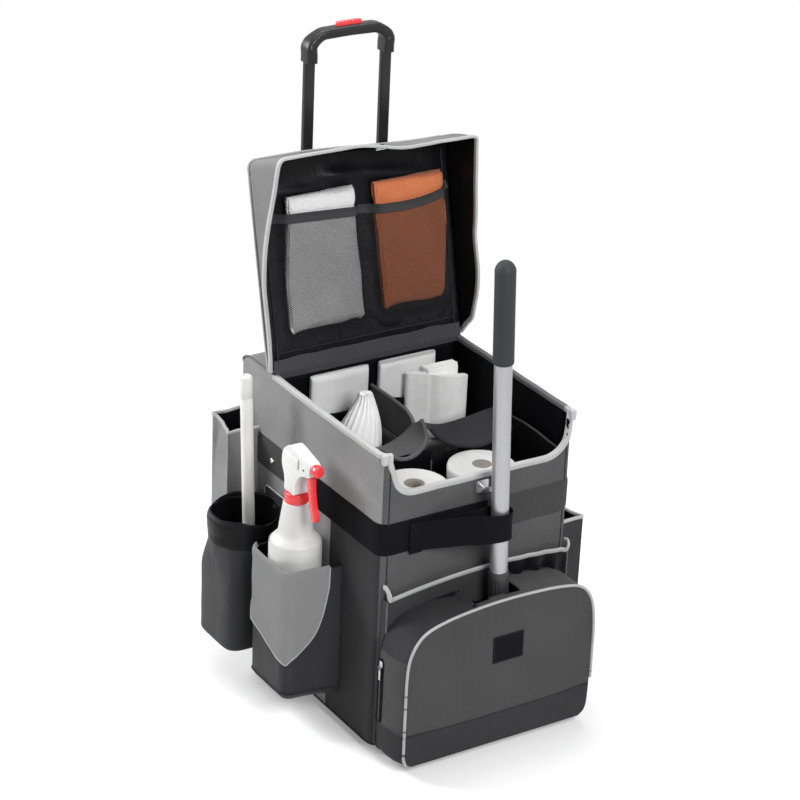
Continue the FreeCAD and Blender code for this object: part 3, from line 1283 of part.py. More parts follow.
def centre_divider():
    """The lengthways divider from the bulkhead, with a rounded free corner."""
    half = DIVIDER_THICKNESS / 2.0
    meet = CROSS_DIVIDER_Y + half
    points = [(meet, TRAY_TOP_FACE), (BULKHEAD_FRONT, TRAY_TOP_FACE), (BULKHEAD_FRONT, DIVIDER_TOP_Z),
              (DIVIDER_FREE_Y, DIVIDER_TOP_Z), (DIVIDER_FREE_Y, DIVIDER_STEP_Z), (meet, DIVIDER_STEP_Z)]
    panel = plate_yz(points, DIVIDER_X - half, DIVIDER_X + half)
    corner = [e for e in edges_along(panel, X_AXIS)
              if abs(e.CenterOfMass.y - DIVIDER_FREE_Y) < 1 and e.CenterOfMass.z > DIVIDER_TOP_Z - 1]
    return panel.makeFillet(DIVIDER_ROUND, corner)


def cross_panel(x0, x1, top, round_x):
    """One half of the crosswise divider, rounded at one upper corner."""
    half = DIVIDER_THICKNESS / 2.0
    panel = block(x0, x1, CROSS_DIVIDER_Y - half, CROSS_DIVIDER_Y + half, TRAY_TOP_FACE, top)
    corner = [e for e in edges_along(panel, Y_AXIS)
              if abs(e.CenterOfMass.x - round_x) < 1 and e.CenterOfMass.z > top - 1]
    return panel.makeFillet(DIVIDER_ROUND, corner)


def cross_dividers():
    """The two halves of the crosswise divider."""
    inner = INNER_HALF - TRAY_WALL
    half = DIVIDER_THICKNESS / 2.0
    left = cross_panel(-inner, DIVIDER_X - half, CROSS_LEFT_TOP_Z, DIVIDER_X - half)
    right = cross_panel(DIVIDER_X + half, inner, CROSS_RIGHT_TOP_Z, inner)
    return group(left, right)


def roll_stacks():
    """Two columns of paper rolls."""
    rolls = []
    for x, y in ((LEFT_ROLL_X, LEFT_ROLL_Y), (RIGHT_ROLL_X, RIGHT_ROLL_Y)):
        for count in range(ROLLS_IN_STACK):
            z = TRAY_TOP_FACE + count * ROLL_HEIGHT
            roll = tube_between(ROLL_RADIUS, vec(x, y, z), vec(x, y, z + ROLL_HEIGHT))
            hole = tube_between(ROLL_HOLE_RADIUS, vec(x, y, z - 1), vec(x, y, z + ROLL_HEIGHT + 1))
            rolls.append(roll.cut(hole))
    return group(*rolls)


def paper_towels():
    """A column of folded paper towel packs."""
    packs = []
    for count in range(TOWELS_IN_STACK):
        z = TRAY_TOP_FACE + count * TOWEL_HEIGHT
        packs.append(rounded_block(TOWEL_LEFT, TOWEL_LEFT + TOWEL_WIDTH, TOWEL_FRONT,
                                   TOWEL_FRONT + TOWEL_THICKNESS, z, z + TOWEL_HEIGHT, TOWEL_EDGE))
    return group(*packs)


def rear_cloths():
    """Two columns of folded white cloths against the bulkhead."""
    packs = []
    rear = BULKHEAD_FRONT - SOFT_GAP
    gap = DIVIDER_THICKNESS / 2.0 + CLOTH_PACK_GAP
    for left in (DIVIDER_X - gap - CLOTH_PACK_WIDTH - LEFT_PACK_SHIFT, DIVIDER_X + gap):
        for count in range(CLOTH_PACKS_IN_STACK):
            z = TRAY_TOP_FACE + count * CLOTH_PACK_HEIGHT
            packs.append(rounded_block(left, left + CLOTH_PACK_WIDTH, rear - CLOTH_PACK_THICKNESS, rear,
                                       z, z + CLOTH_PACK_HEIGHT, CLOTH_PACK_EDGE))
    return group(*packs)


def liner_bundle():
    """A gathered bundle of white liner bags."""
    points = [(0.0, TRAY_TOP_FACE), (LINER_RADIUS, TRAY_TOP_FACE), (LINER_RADIUS, LINER_SHOULDER_Z),
              (LINER_UPPER_RADIUS, LINER_UPPER_Z), (LINER_NECK_RADIUS, LINER_TOP_Z), (0.0, LINER_TOP_Z)]
    return turned(points, LINER_X, LINER_Y)


# ---------------------------------------------------------------- write the pieces

def main():
    """Build every sub-part and write it."""
    os.makedirs("parts", exist_ok=True)
    export("base_tray", base_tray())
    export("front_feet", front_feet())
    export("wheel_housings", group(wheel_housing(), mirrored(wheel_housing())))
    export("wheel_axles", group(wheel_axle(), mirrored(wheel_axle())))
    export("front_wall", front_wall())
    export("left_wall", side_wall(-1))
    export("right_wall", side_wall(1))
    export("rear_wall", rear_wall())
    export("bulkhead", bulkhead())
    export("top_cover", top_cover())
    export("edge_binding", edge_binding())
    export("body_band", body_band())
    export("lid_hinge_tape", lid_hinge_tape())
    export("handle_outer_tubes", handle_outer_tubes())
    export("tube_brackets", tube_brackets())
    export("handle_collars", handle_collars())
    export("latch_plate", latch_plate())
    export("front_pocket", front_pocket())
    export("front_pocket_binding", front_pocket_binding())
    export("front_bag", front_bag())
    export("mop_strap", mop_strap())
    export("brush_pouch", brush_pouch())
    export("brush_pouch_collar", brush_pouch_collar())
    export("bottle_pouch", bottle_pouch())
    export("bottle_pouch_flap", bottle_pouch_flap())
    export("left_side_pocket", left_side_pocket())
    export("right_side_pocket", right_side_pocket())
    export("side_pocket_bindings", side_pocket_bindings())
    export("centre_divider", centre_divider())
    export("cross_dividers", cross_dividers())
    export("roll_stacks", roll_stacks())
    export("paper_towels", paper_towels())
    export("liner_bundle", liner_bundle())
    export("rear_cloths", rear_cloths())
    export("lid_panel", lid_panel())
    export("lid_skirt", lid_skirt())
    export("lid_edge_binding", lid_edge_binding())
    export("lid_eyelet", lid_eyelet())
    export("lid_mesh_pocket", lid_mesh_pocket())
    export("grey_cloth", lid_cloth(GREY_CLOTH_LEFT, GREY_CLOTH_WIDTH))
    export("orange_cloth", lid_cloth(ORANGE_CLOTH_LEFT, ORANGE_CLOTH_WIDTH))
    export("handle_tubes", handle_tubes())
    export("handle_grip", handle_grip())
    export("release_button", release_button())
    export("left_wheel_hub", wheel_hub())
    export("left_tyre", wheel_tyre())
    export("right_wheel_hub", mirrored(wheel_hub()))
    export("right_tyre", mirrored(wheel_tyre()))
    export("latch_knob", latch_knob())
    export("mop_grip", mop_grip())
    export("mop_tube", mop_tube())
    export("mop_connector", mop_connector())
    export("spray_bottle", spray_bottle())
    export("sprayer_collar", sprayer_collar())
    export("sprayer_head", sprayer_head())
    export("trigger", trigger())
    export("nozzle", nozzle())
    export("brush_wand", brush_wand())
    export("brush_head", brush_head())
    export("zip_slider", zip_slider())


main()
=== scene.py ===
"""Looks of a wheeled soft-sided housekeeping caddy and of the supplies that it carries.

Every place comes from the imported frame.  The bag's own datum is x = 0 on its middle plane, y = 0 on
the face of its front wall and z = 0 on the floor.  Pieces are drawn in millimetres of that datum;
materials and lamps work in metres.
"""

import logging
import math
from dataclasses import dataclass
from enum import Enum
from typing import Callable, Optional, Sequence, Union

import bmesh
import bpy
from mathutils import Matrix, Vector, noise


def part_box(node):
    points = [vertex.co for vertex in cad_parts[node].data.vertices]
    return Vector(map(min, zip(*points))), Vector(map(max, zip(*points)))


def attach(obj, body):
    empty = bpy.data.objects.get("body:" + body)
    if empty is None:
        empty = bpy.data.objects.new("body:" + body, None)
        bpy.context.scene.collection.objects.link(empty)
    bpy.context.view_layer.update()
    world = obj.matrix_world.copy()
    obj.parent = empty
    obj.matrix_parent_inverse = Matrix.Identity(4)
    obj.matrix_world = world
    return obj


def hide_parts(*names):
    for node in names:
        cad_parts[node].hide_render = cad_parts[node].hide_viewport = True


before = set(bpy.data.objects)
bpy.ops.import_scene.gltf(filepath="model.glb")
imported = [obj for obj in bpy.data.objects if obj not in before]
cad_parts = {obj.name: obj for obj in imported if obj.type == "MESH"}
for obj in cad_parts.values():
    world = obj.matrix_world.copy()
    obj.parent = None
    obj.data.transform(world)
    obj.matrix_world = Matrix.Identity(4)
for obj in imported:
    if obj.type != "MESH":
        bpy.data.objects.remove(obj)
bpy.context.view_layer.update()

LOG = logging.getLogger("caddy")
Colour = tuple[float, float, float]
TURN = 2.0 * math.pi


@dataclass(frozen=True)
class Datum:
    """The bag's own datum, placed in the row frame."""

    x: float
    y: float

    @classmethod
    def from_frame(cls) -> "Datum":
        """Read the datum from the boxes of the bag's walls."""
        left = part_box("left_wall")[0].x
        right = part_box("right_wall")[1].x
        return cls((left + right) / 2.0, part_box("front_wall")[0].y)

    def at(self, x: float, y: float, z: float) -> Vector:
        """Move a point from the bag's datum to the row frame."""
        return Vector((x + self.x, y + self.y, z))


DATUM = Datum.from_frame()
at = DATUM.at


# ---------------------------------------------------------------- shader maths

class Wire:
    """A socket of a material's tree, with arithmetic that adds Math nodes."""

    def __init__(self, paint: "Paint", socket: bpy.types.NodeSocket) -> None:
        """Wrap a socket that belongs to a paint's tree."""
        self.paint = paint
        self.socket = socket

    def maths(self, operation: str, *others: "Number") -> "Wire":
        """Combine this number with others by one Math operation."""
        inputs = dict(enumerate((self, *others)))
        return self.paint.node("ShaderNodeMath", {"operation": operation}, inputs)

    def __add__(self, other: "Number") -> "Wire":
        """This number plus another."""
        return self.maths("ADD", other)

    def __mul__(self, other: "Number") -> "Wire":
        """This number times another."""
        return self.maths("MULTIPLY", other)

    def __sub__(self, other: "Number") -> "Wire":
        """This number less another."""
        return self.maths("SUBTRACT", other)

    def __gt__(self, other: "Number") -> "Wire":
        """One where this number is the greater, and otherwise zero."""
        return self.maths("GREATER_THAN", other)

    def __lt__(self, other: "Number") -> "Wire":
        """One where this number is the smaller, and otherwise zero."""
        return self.maths("LESS_THAN", other)

    def sine(self) -> "Wire":
        """The sine of this number."""
        return self.maths("SINE")

    def size(self) -> "Wire":
        """This number without its sign."""
        return self.maths("ABSOLUTE")

    def clamped(self) -> "Wire":
        """This number kept between zero and one."""
        return self.maths("MAXIMUM", 0.0).maths("MINIMUM", 1.0)


Number = Union[Wire, float]


class Paint:
    """One node tree of a material or the world, with one method that adds any node."""

    def __init__(self, name: str, world: bool = False) -> None:
        """Start an empty tree under a material's or the world's name."""
        self.material = (bpy.data.worlds if world else bpy.data.materials).new(name)
        self.ending = "ShaderNodeOutputWorld" if world else "ShaderNodeOutputMaterial"
        self.material.use_nodes = True
        self.tree = self.material.node_tree
        self.tree.nodes.clear()
        self._object: Optional[Wire] = None

    def node(self, kind: str, settings: Optional[dict] = None, inputs: Optional[dict] = None,
             output: Union[int, str] = 0) -> Wire:
        """Add a node, set it up, feed its sockets and give one of its outputs.

        Args:
            kind: The node's type.
            settings: Properties that are set before anything is linked.
            inputs: Values or wires, by the socket's name or number.
            output: The output that is wanted, by name or number.

        Returns:
            The chosen output.
        """
        made = self.tree.nodes.new(kind)
        for key, value in (settings or {}).items():
            setattr(made, key, value)
        for key, value in (inputs or {}).items():
            if isinstance(value, Wire):
                self.tree.links.new(value.socket, made.inputs[key])
            else:
                made.inputs[key].default_value = value
        return Wire(self, made.outputs[output])

    def place(self) -> Wire:
        """The Object coordinates, which are the row frame's on every piece."""
        if self._object is None:
            self._object = self.node("ShaderNodeTexCoord", output="Object")
        return self._object

    def axes(self) -> tuple[Wire, Wire, Wire]:
        """The Object coordinates as three numbers."""
        parts = self.node("ShaderNodeSeparateXYZ", inputs={0: self.place()})
        return tuple(Wire(self, socket) for socket in parts.socket.node.outputs)

    def run(self) -> tuple[Wire, Wire]:
        """The piece's own map: metres along it, and its share across."""
        parts = self.node("ShaderNodeSeparateXYZ",
                          inputs={0: self.node("ShaderNodeTexCoord", output="UV")})
        outs = parts.socket.node.outputs
        return Wire(self, outs[0]), Wire(self, outs[1])

    def noise(self, per_metre: float, detail: float = 3.0, rough: float = 0.55,
              stretch: tuple[float, float, float] = (1.0, 1.0, 1.0)) -> Wire:
        """Smooth noise over the surface.

        Args:
            per_metre: How many features lie along a metre.
            detail: The number of finer layers.
            rough: How strong the finer layers are.
            stretch: A share of the scale along each axis.

        Returns:
            A number round one half.
        """
        place = self.node("ShaderNodeMapping", inputs={"Vector": self.place(), "Scale": stretch})
        return self.node("ShaderNodeTexNoise", None,
                         {"Vector": place, "Scale": per_metre, "Detail": detail,
                                                      "Roughness": rough})

    def over(self, share: Number, under: Union[Wire, tuple], colour: Colour) -> Wire:
        """A colour laid over another, by a share from zero to one."""
        return self.node("ShaderNodeMix", {"data_type": "RGBA", "clamp_factor": True},
                         {0: share, 6: under, 7: (*colour, 1.0)}, output=2)

    def shade(self, share: Number, dark: Colour, light: Colour) -> Wire:
        """A colour between two, by a share from zero to one."""
        return self.over(share, (*dark, 1.0), light)

    def mottled(self, share: Number, colour: Colour, low: float, high: float) -> Wire:
        """A colour between a darker and a lighter tint of itself, by a share from zero to one."""
        return self.shade(share, tinted(colour, low), tinted(colour, high))

    def bump(self, height: Wire, depth: float, under: Optional[Wire] = None) -> Wire:
        """A normal bent by a height, laid over another normal if one is given."""
        inputs = {"Height": height, "Strength": 1.0, "Distance": depth}
        if under is not None:
            inputs["Normal"] = under
        return self.node("ShaderNodeBump", None, inputs)

    def surface(self, **inputs: Union[Number, Colour, tuple]) -> bpy.types.Material:
        """Close the tree with a Principled shader.

        Args:
            **inputs: Its sockets, with an underscore for each space in a name.

        Returns:
            The finished material.
        """
        named = {key.replace("_", " "): value for key, value in inputs.items()}
        shader = self.node("ShaderNodeBsdfPrincipled", None, named)
        self.node_end(shader)
        return self.material

    def seen(self) -> Wire:
        """One for what the camera sees straight, in a gloss or through glass."""
        camera = self.node("ShaderNodeLightPath", output="Is Camera Ray")
        glossy = self.node("ShaderNodeLightPath", output="Is Glossy Ray")
        through = self.node("ShaderNodeLightPath", output="Is Transmission Ray")
        return camera.maths("MAXIMUM", glossy).maths("MAXIMUM", through)

    def node_end(self, shader: Wire) -> None:
        """Join a shader to the output."""
        end = self.tree.nodes.new(self.ending)
        self.tree.links.new(shader.socket, end.inputs["Surface"])


def tinted(colour: Colour, factor: float) -> Colour:
    """A colour made lighter or darker by a factor."""
    return tuple(min(1.0, channel * factor) for channel in colour)


# ---------------------------------------------------------------- finishes

class Weave(Enum):
    """How a cloth's threads lie."""

    PLAIN = "plain"
    RIBBED = "ribbed"
    TERRY = "terry"
    QUIET = "quiet"


@dataclass(frozen=True)
class ClothFinish:
    """Woven or coated cloth: thread relief, soft creases, mottling and a faint sheen."""

    name: str
    colour: Colour
    thread: float = 0.0016
    relief: float = 0.00022
    crease: float = 0.0012
    crease_per_metre: float = 14.0
    mottle: float = 0.16
    roughness: float = 0.72
    sheen: float = 0.04
    weave: Weave = Weave.PLAIN
    coat: float = 0.0
    gloss: float = 0.12

    def threads(self, paint: Paint) -> Wire:
        """The height of the threads."""
        x, y, z = paint.axes()
        across = x + y * 0.92
        along = z + y * 0.37
        turn = TURN / self.thread
        if self.weave is Weave.RIBBED:
            return (along * turn).sine() + (across * turn * 0.5).sine() * 0.35
        if self.weave is Weave.TERRY:
            return paint.noise(1.0 / self.thread, 2.0, 0.7) * 2.0
        if self.weave is Weave.QUIET:
            return paint.noise(0.6 / self.thread, 2.0, 0.6)
        return (across * turn).sine() * (along * turn).sine()

    def build(self) -> bpy.types.Material:
        """Make the material."""
        paint = Paint(self.name)
        threads = self.threads(paint)
        patches = paint.noise(9.0, 4.0, 0.6)
        fine = paint.noise(160.0, 3.0, 0.6)
        creases = paint.noise(self.crease_per_metre, 5.0, 0.62, (1.0, 1.0, 0.55))
        share = (patches - 0.5) * 1.6 + (fine - 0.5) * 0.9 + (creases
                                                              - 0.5) * 0.7 + threads * 0.10 + 0.5
        base = paint.mottled(share.clamped(), self.colour, 1.0 - self.mottle, 1.0 + self.mottle)
        normal = paint.bump(creases, self.crease)
        normal = paint.bump(threads, self.relief, normal)
        rough = (fine - 0.5) * 0.18 + self.roughness
        return paint.surface(Base_Color=base, Roughness=rough, Normal=normal,
                             Sheen_Weight=self.sheen,
                             Sheen_Roughness=0.45, Coat_Weight=self.coat, Coat_Roughness=0.3,
                             Specular_IOR_Level=self.gloss)


@dataclass(frozen=True)
class TrimFinish:
    """Sewn tape or piping with a row of stitches along it."""

    name: str
    colour: Colour
    stitch: float = 0.0045
    row: float = 0.5
    roughness: float = 0.6

    def build(self) -> bpy.types.Material:
        """Make the material."""
        paint = Paint(self.name)
        along, across = paint.run()
        ribs = (along * (TURN / 0.0012)).sine()
        dash = ((along * (TURN / self.stitch)).sine() > -0.25) * ((across
                                                                   - self.row).size() < 0.035)
        soil = paint.noise(22.0, 4.0, 0.6)
        base = paint.mottled(soil, self.colour, 0.84, 1.12)
        base = paint.over(dash * 0.55, base, tinted(self.colour, 0.55))
        normal = paint.bump(ribs, 0.00012)
        normal = paint.bump(dash, 0.0004, normal)
        return paint.surface(Base_Color=base, Roughness=(soil - 0.5) * 0.2 + self.roughness,
                             Normal=normal,
                             Specular_IOR_Level=0.15)


@dataclass(frozen=True)
class NetFinish:
    """Fine see-through mesh: small holes in dark threads."""

    name: str
    colour: Colour
    pitch: float = 0.0030
    cover: float = 0.34

    def build(self) -> bpy.types.Material:
        """Make the material."""
        paint = Paint(self.name)
        along, across = paint.run()
        turn = TURN / self.pitch
        holes = ((along + across) * turn * 0.5).sine() * ((along - across) * turn * 0.5).sine()
        solid = holes.size() < self.cover
        haze = paint.noise(30.0, 3.0, 0.6)
        base = paint.mottled(haze, self.colour, 0.7, 1.4)
        alpha = (solid * 0.86 + haze * 0.08).clamped()
        return paint.surface(Base_Color=base, Roughness=0.7, Alpha=alpha,
                             Normal=paint.bump(holes, 0.0002),
                             Specular_IOR_Level=0.1)


@dataclass(frozen=True)
class MouldedFinish:
    """Moulded plastic or rubber: fine grain, faint flow marks and rubbed patches."""

    name: str
    colour: Colour
    roughness: float = 0.42
    grain: float = 0.00006
    grain_per_metre: float = 900.0
    mottle: float = 0.06
    coat: float = 0.0
    scatter: float = 0.0
    gloss: float = 0.5

    def build(self) -> bpy.types.Material:
        """Make the material."""
        paint = Paint(self.name)
        grain = paint.noise(self.grain_per_metre, 2.0, 0.5)
        flow = paint.noise(16.0, 3.0, 0.5)
        rubbed = paint.noise(55.0, 5.0, 0.7)
        share = ((flow - 0.5) * 1.2 + (rubbed - 0.5) * 0.7 + 0.5).clamped()
        base = paint.mottled(share, self.colour, 1.0 - self.mottle, 1.0 + self.mottle)
        return paint.surface(Base_Color=base, Roughness=(rubbed - 0.5) * 0.25 + self.roughness,
                             Normal=paint.bump(grain, self.grain), Coat_Weight=self.coat,
                             Coat_Roughness=0.12,
                             Subsurface_Weight=self.scatter,
                             Subsurface_Radius=(0.004, 0.004, 0.004),
                             Specular_IOR_Level=self.gloss)


@dataclass(frozen=True)
class MetalFinish:
    """Bare or coated metal, brushed along one axis."""

    name: str
    colour: Colour
    roughness: float = 0.3
    metallic: float = 1.0
    brushed: float = 0.00003
    stretch: tuple[float, float, float] = (1.0, 1.0, 0.02)

    def build(self) -> bpy.types.Material:
        """Make the material."""
        paint = Paint(self.name)
        lines = paint.noise(1400.0, 2.0, 0.5, self.stretch)
        cloud = paint.noise(24.0, 3.0, 0.5)
        base = paint.mottled(cloud, self.colour, 0.92, 1.05)
        rough = (lines - 0.5) * 0.16 + (cloud - 0.5) * 0.10 + self.roughness
        return paint.surface(Base_Color=base, Metallic=self.metallic, Roughness=rough,
                             Normal=paint.bump(lines, self.brushed))


@dataclass(frozen=True)
class PaperFinish:
    """Soft white paper with embossed cells."""

    name: str
    colour: Colour
    cell: float = 0.006
    relief: float = 0.0007

    def build(self) -> bpy.types.Material:
        """Make the material."""
        paint = Paint(self.name)
        cells = paint.node("ShaderNodeTexVoronoi", {"feature": "DISTANCE_TO_EDGE"},
                           {"Vector": paint.place(), "Scale": 1.0 / self.cell})
        fibre = paint.noise(420.0, 3.0, 0.7)
        waves = paint.noise(38.0, 4.0, 0.6)
        share = ((fibre - 0.5) * 0.8 + (waves - 0.5) * 1.2 + 0.5).clamped()
        base = paint.mottled(share, self.colour, 0.82, 1.04)
        normal = paint.bump(waves, 0.0016)
        normal = paint.bump(cells, self.relief, normal)
        return paint.surface(Base_Color=base, Roughness=0.92, Normal=normal, Specular_IOR_Level=0.2,
                             Sheen_Weight=0.15, Sheen_Roughness=0.6)


# ---------------------------------------------------------------- shaping

Spot = tuple[float, float, float]
MM = 0.001


@dataclass(frozen=True)
class Box:
    """A node's box in millimetres of the bag's datum."""

    x0: float
    x1: float
    y0: float
    y1: float
    z0: float
    z1: float

    @classmethod
    def of(cls, node: str) -> "Box":
        """Read a node's box from the frame."""
        low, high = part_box(node)
        shift = at(0.0, 0.0, 0.0)
        low, high = (low - shift) / MM, (high - shift) / MM
        return cls(low.x, high.x, low.y, high.y, low.z, high.z)

    @property
    def middle(self) -> Spot:
        """The box's middle."""
        return (self.x0 + self.x1) / 2.0, (self.y0 + self.y1) / 2.0, (self.z0 + self.z1) / 2.0


def metres(spot: Spot) -> Vector:
    """A spot in millimetres of the bag's datum, as a point of the row frame in metres."""
    return at(spot[0] * MM, spot[1] * MM, spot[2] * MM)


def shares(count: int) -> list[float]:
    """Equal steps from zero to one."""
    return [index / count for index in range(count + 1)]


def clamp(value: float) -> float:
    """A number kept between zero and one."""
    return min(1.0, max(0.0, value))


def blend(low: float, high: float, value: float) -> float:
    """A smooth step from zero at low to one at high."""
    share = clamp((value - low) / (high - low))
    return share * share * (3.0 - 2.0 * share)


def bell(value: float, middle: float, width: float) -> float:
    """A smooth hump that is one at its middle and fades over a width."""
    return math.exp(-((value - middle) / width) ** 2)


def hollow(radius: float, along: float) -> float:
    """How far an arc of a radius has fallen in at a distance along it."""
    return radius - math.sqrt(max(0.0, radius ** 2 - along ** 2))


def ripple(x: float, y: float, z: float, length: float, seed: float = 0.0) -> float:
    """Smooth noise from minus one to one, with waves about a given length apart."""
    return noise.noise(Vector((x / length + seed, y / length - seed, z / length + 2.0 * seed)))


def fold(x: float, y: float, z: float, length: float, seed: float = 0.0) -> float:
    """Noise with narrow crests, as where cloth creases, from zero to one."""
    return max(0.0, 1.0 - 3.2 * abs(ripple(x, y, z, length, seed))) ** 1.5


class Line:
    """A smooth line through spots, read by its share of length."""

    def __init__(self, spots: Sequence[Spot], closed: bool = False, steps: int = 10,
                 straight: bool = False) -> None:
        """Fit a line through spots.

        Args:
            spots: The spots, in millimetres of the bag's datum.
            closed: Whether the line returns to its first spot.
            steps: The number of parts between two spots.
            straight: Whether the line runs straight between spots.
        """
        knots = [Vector(spot) for spot in spots]
        self.closed = closed
        if straight:
            self.points = knots + ([knots[0]] if closed else [])
        else:
            self.points = self._smooth(knots, closed, steps)
        self.lengths = [0.0]
        for first, second in zip(self.points, self.points[1:]):
            self.lengths.append(self.lengths[-1] + (second - first).length)
        self.length = self.lengths[-1]

    @staticmethod
    def _smooth(knots: list[Vector], closed: bool, steps: int) -> list[Vector]:
        """Lay a Catmull-Rom line through the knots."""
        count = len(knots)
        points = []
        for index in range(count if closed else count - 1):
            if closed:
                a, b, c, d = (knots[(index + step) % count] for step in (-1, 0, 1, 2))
            else:
                b, c = knots[index], knots[index + 1]
                a = knots[index - 1] if index else b * 2.0 - c
                d = knots[index + 2] if index + 2 < count else c * 2.0 - b
            for part in range(steps):
                t = part / steps
                points.append(0.5 * (2.0 * b + (c - a) * t
                                     + (2.0 * a - 5.0 * b + 4.0 * c - d) * t * t
                                     + (3.0 * b - a - 3.0 * c + d) * t * t * t))
        points.append(knots[0] if closed else knots[-1])
        return points

    def at(self, share: float) -> Vector:
        """The spot at a share of the line's length."""
        want = clamp(share) * self.length
        low, high = 0, len(self.lengths) - 1
        while high - low > 1:
            middle = (low + high) // 2
            if self.lengths[middle] <= want:
                low = middle
            else:
                high = middle
        span = max(1e-9, self.lengths[high] - self.lengths[low])
        return self.points[low].lerp(self.points[high], (want - self.lengths[low]) / span)

    def heading(self, share: float) -> Vector:
        """The line's direction at a share of its length."""
        step = 1.5 / max(self.length, 1.0)
        if self.closed:
            ahead, behind = self.at((share + step) % 1.0), self.at((share - step) % 1.0)
        else:
            ahead, behind = self.at(share + step), self.at(share - step)
        return (ahead - behind).normalized()


class Shape:
    """A mesh in the making, with its map, in millimetres of the bag's datum."""

    def __init__(self) -> None:
        """Start an empty mesh."""
        self.bm = bmesh.new()
        self.map = self.bm.loops.layers.uv.new("map")

    def sheet(self, columns: Sequence[float], rows: Sequence[float],
              place: Callable[[float, float], Spot],
              size: tuple[float, float] = (1.0, 1.0), material: int = 0,
              join: bool = False) -> list:
        """Add a grid and set each of its corners by two shares.

        Args:
            columns: The shares of its columns.
            rows: The shares of its rows.
            place: Gives a spot for a column's and a row's share.
            size: The map's size, in metres, for the whole sheet.
            material: The number of the faces' material.
            join: Whether the first and the last column are one.

        Returns:
            The new faces.
        """
        made = bmesh.ops.create_grid(self.bm, x_segments=len(columns) - 1, y_segments=len(rows) - 1,
                                     size=0.5)
        verts = made["verts"]
        marks = {}
        for vert in verts:
            s = columns[round((vert.co.x + 0.5) * (len(columns) - 1))]
            t = rows[round((vert.co.y + 0.5) * (len(rows) - 1))]
            marks[vert] = (s, t)
        faces = list({face for vert in verts for face in vert.link_faces})
        for face in faces:
            face.material_index = material
            for loop in face.loops:
                s, t = marks[loop.vert]
                loop[self.map].uv = (s * size[0], t * size[1])
        for vert, (s, t) in marks.items():
            vert.co = Vector(place(s, t))
        if join:
            rim = [vert for vert, (s, _) in marks.items() if s in (columns[0], columns[-1])]
            bmesh.ops.remove_doubles(self.bm, verts=rim, dist=0.01)
        return [face for face in faces if face.is_valid]

    def sweep(self, line: Line, section: Callable[[float], Sequence[tuple[float, float]]],
              up: Optional[Spot] = None,
              steps: int = 40, material: int = 0, cap: bool = True,
              stations: Optional[Sequence[float]] = None) -> list:
        """Draw a closed section along a line.

        Args:
            line: The line.
            section: The section's points for a share of the line, to its side and along up.
            up: The direction that the section's second number follows.
            steps: The number of parts along the line.
            material: The number of the faces' material.
            cap: Whether the two ends are closed.
            stations: The shares of the line to use, in place of equal steps.

        Returns:
            The new faces.
        """
        rows = list(stations) if stations else shares(steps)
        around = len(section(0.0))
        lift = Vector(up) if up else Vector((0.0, 0.0, 1.0))
        frames = {}
        for row in rows:
            ahead = line.heading(row)
            side = ahead.cross(lift)
            side = side.normalized() if side.length > 1e-6 else Vector((1.0, 0.0, 0.0))
            frames[row] = (line.at(row), side, side.cross(ahead).normalized(), section(row))

        def place(s: float, t: float) -> Spot:
            """A corner of the swept surface."""
            middle, side, above, points = frames[t]
            across, rise = points[round(s * around) % around]
            return tuple(middle + side * across + above * rise)

        faces = self.sheet(shares(around), rows, place, (1.0, 1.0), material, join=True)
        for face in faces:
            for loop in face.loops:
                s, t = loop[self.map].uv
                loop[self.map].uv = (t * line.length * MM, s)
        if line.closed:
            bmesh.ops.remove_doubles(self.bm, verts=list({v for f in faces for v in f.verts}),
                                     dist=0.01)
        elif cap:
            edges = [edge for face in faces if face.is_valid for edge in face.edges
                     if edge.is_boundary]
            new = bmesh.ops.holes_fill(self.bm, edges=list(set(edges)), sides=0)["faces"]
            for face in new:
                face.material_index = material
            faces = faces + new
        return [face for face in faces if face.is_valid]

    def cord(self, line: Line, radius: float, sides: int, steps: int) -> list:
        """Draw a round cord along a line."""
        ring = [(radius * math.cos(TURN * k / sides), radius * math.sin(TURN * k / sides))
                for k in range(sides)]
        return self.sweep(line, lambda share: ring, steps=steps)

    def tape(self, line: Line, width: float, height: float, radius: float, parts: int, steps: int,
             up: Optional[Spot] = None) -> list:
        """Draw a tape of rounded section along a line."""
        pad = pad_section(width, height, radius, parts)
        return self.sweep(line, lambda share: pad, up=up, steps=steps)

    def lathe(self, profile: Sequence[tuple[float, float]], centre: tuple[float, float],
              steps: int = 48,
              material: int = 0, wave: Optional[Callable[[float, float, float],
                                                         float]] = None) -> list:
        """Turn a profile of radius and height about an upright line.

        Args:
            profile: Radius and height pairs, from one end to the other.
            centre: Where the upright line stands.
            steps: The number of parts in the turn.
            material: The number of the faces' material.
            wave: Gives a change of radius for an angle, a radius and a height.

        Returns:
            The new faces.
        """
        def place(s: float, t: float) -> Spot:
            """A corner of the turned surface."""
            radius, height = profile[round(t * (len(profile) - 1))]
            angle = TURN * s
            if wave and radius > 0.0:
                radius += wave(angle, radius, height)
            x, y = centre
            return x + radius * math.cos(angle), y + radius * math.sin(angle), height

        reach = max(radius for radius, _ in profile)
        size = (TURN * reach * MM, abs(profile[-1][1] - profile[0][1]) * MM)
        faces = self.sheet(shares(steps), shares(len(profile) - 1), place, size, material,
                           join=True)
        tips = [vert for face in faces for vert in face.verts
                if (vert.co.xy - Vector(centre)).length < 0.02]
        if tips:
            bmesh.ops.remove_doubles(self.bm, verts=list(set(tips)), dist=0.05)
        return [face for face in faces if face.is_valid]

    def _rounded(self, verts: Sequence, edge: float, segments: int) -> dict:
        """Round every edge that meets one of some points."""
        edges = list({one for vert in verts for one in vert.link_edges})
        return bmesh.ops.bevel(self.bm, geom=edges, offset=edge, offset_type="OFFSET",
                               segments=segments,
                               profile=0.5, affect="EDGES", material=-1, clamp_overlap=True)

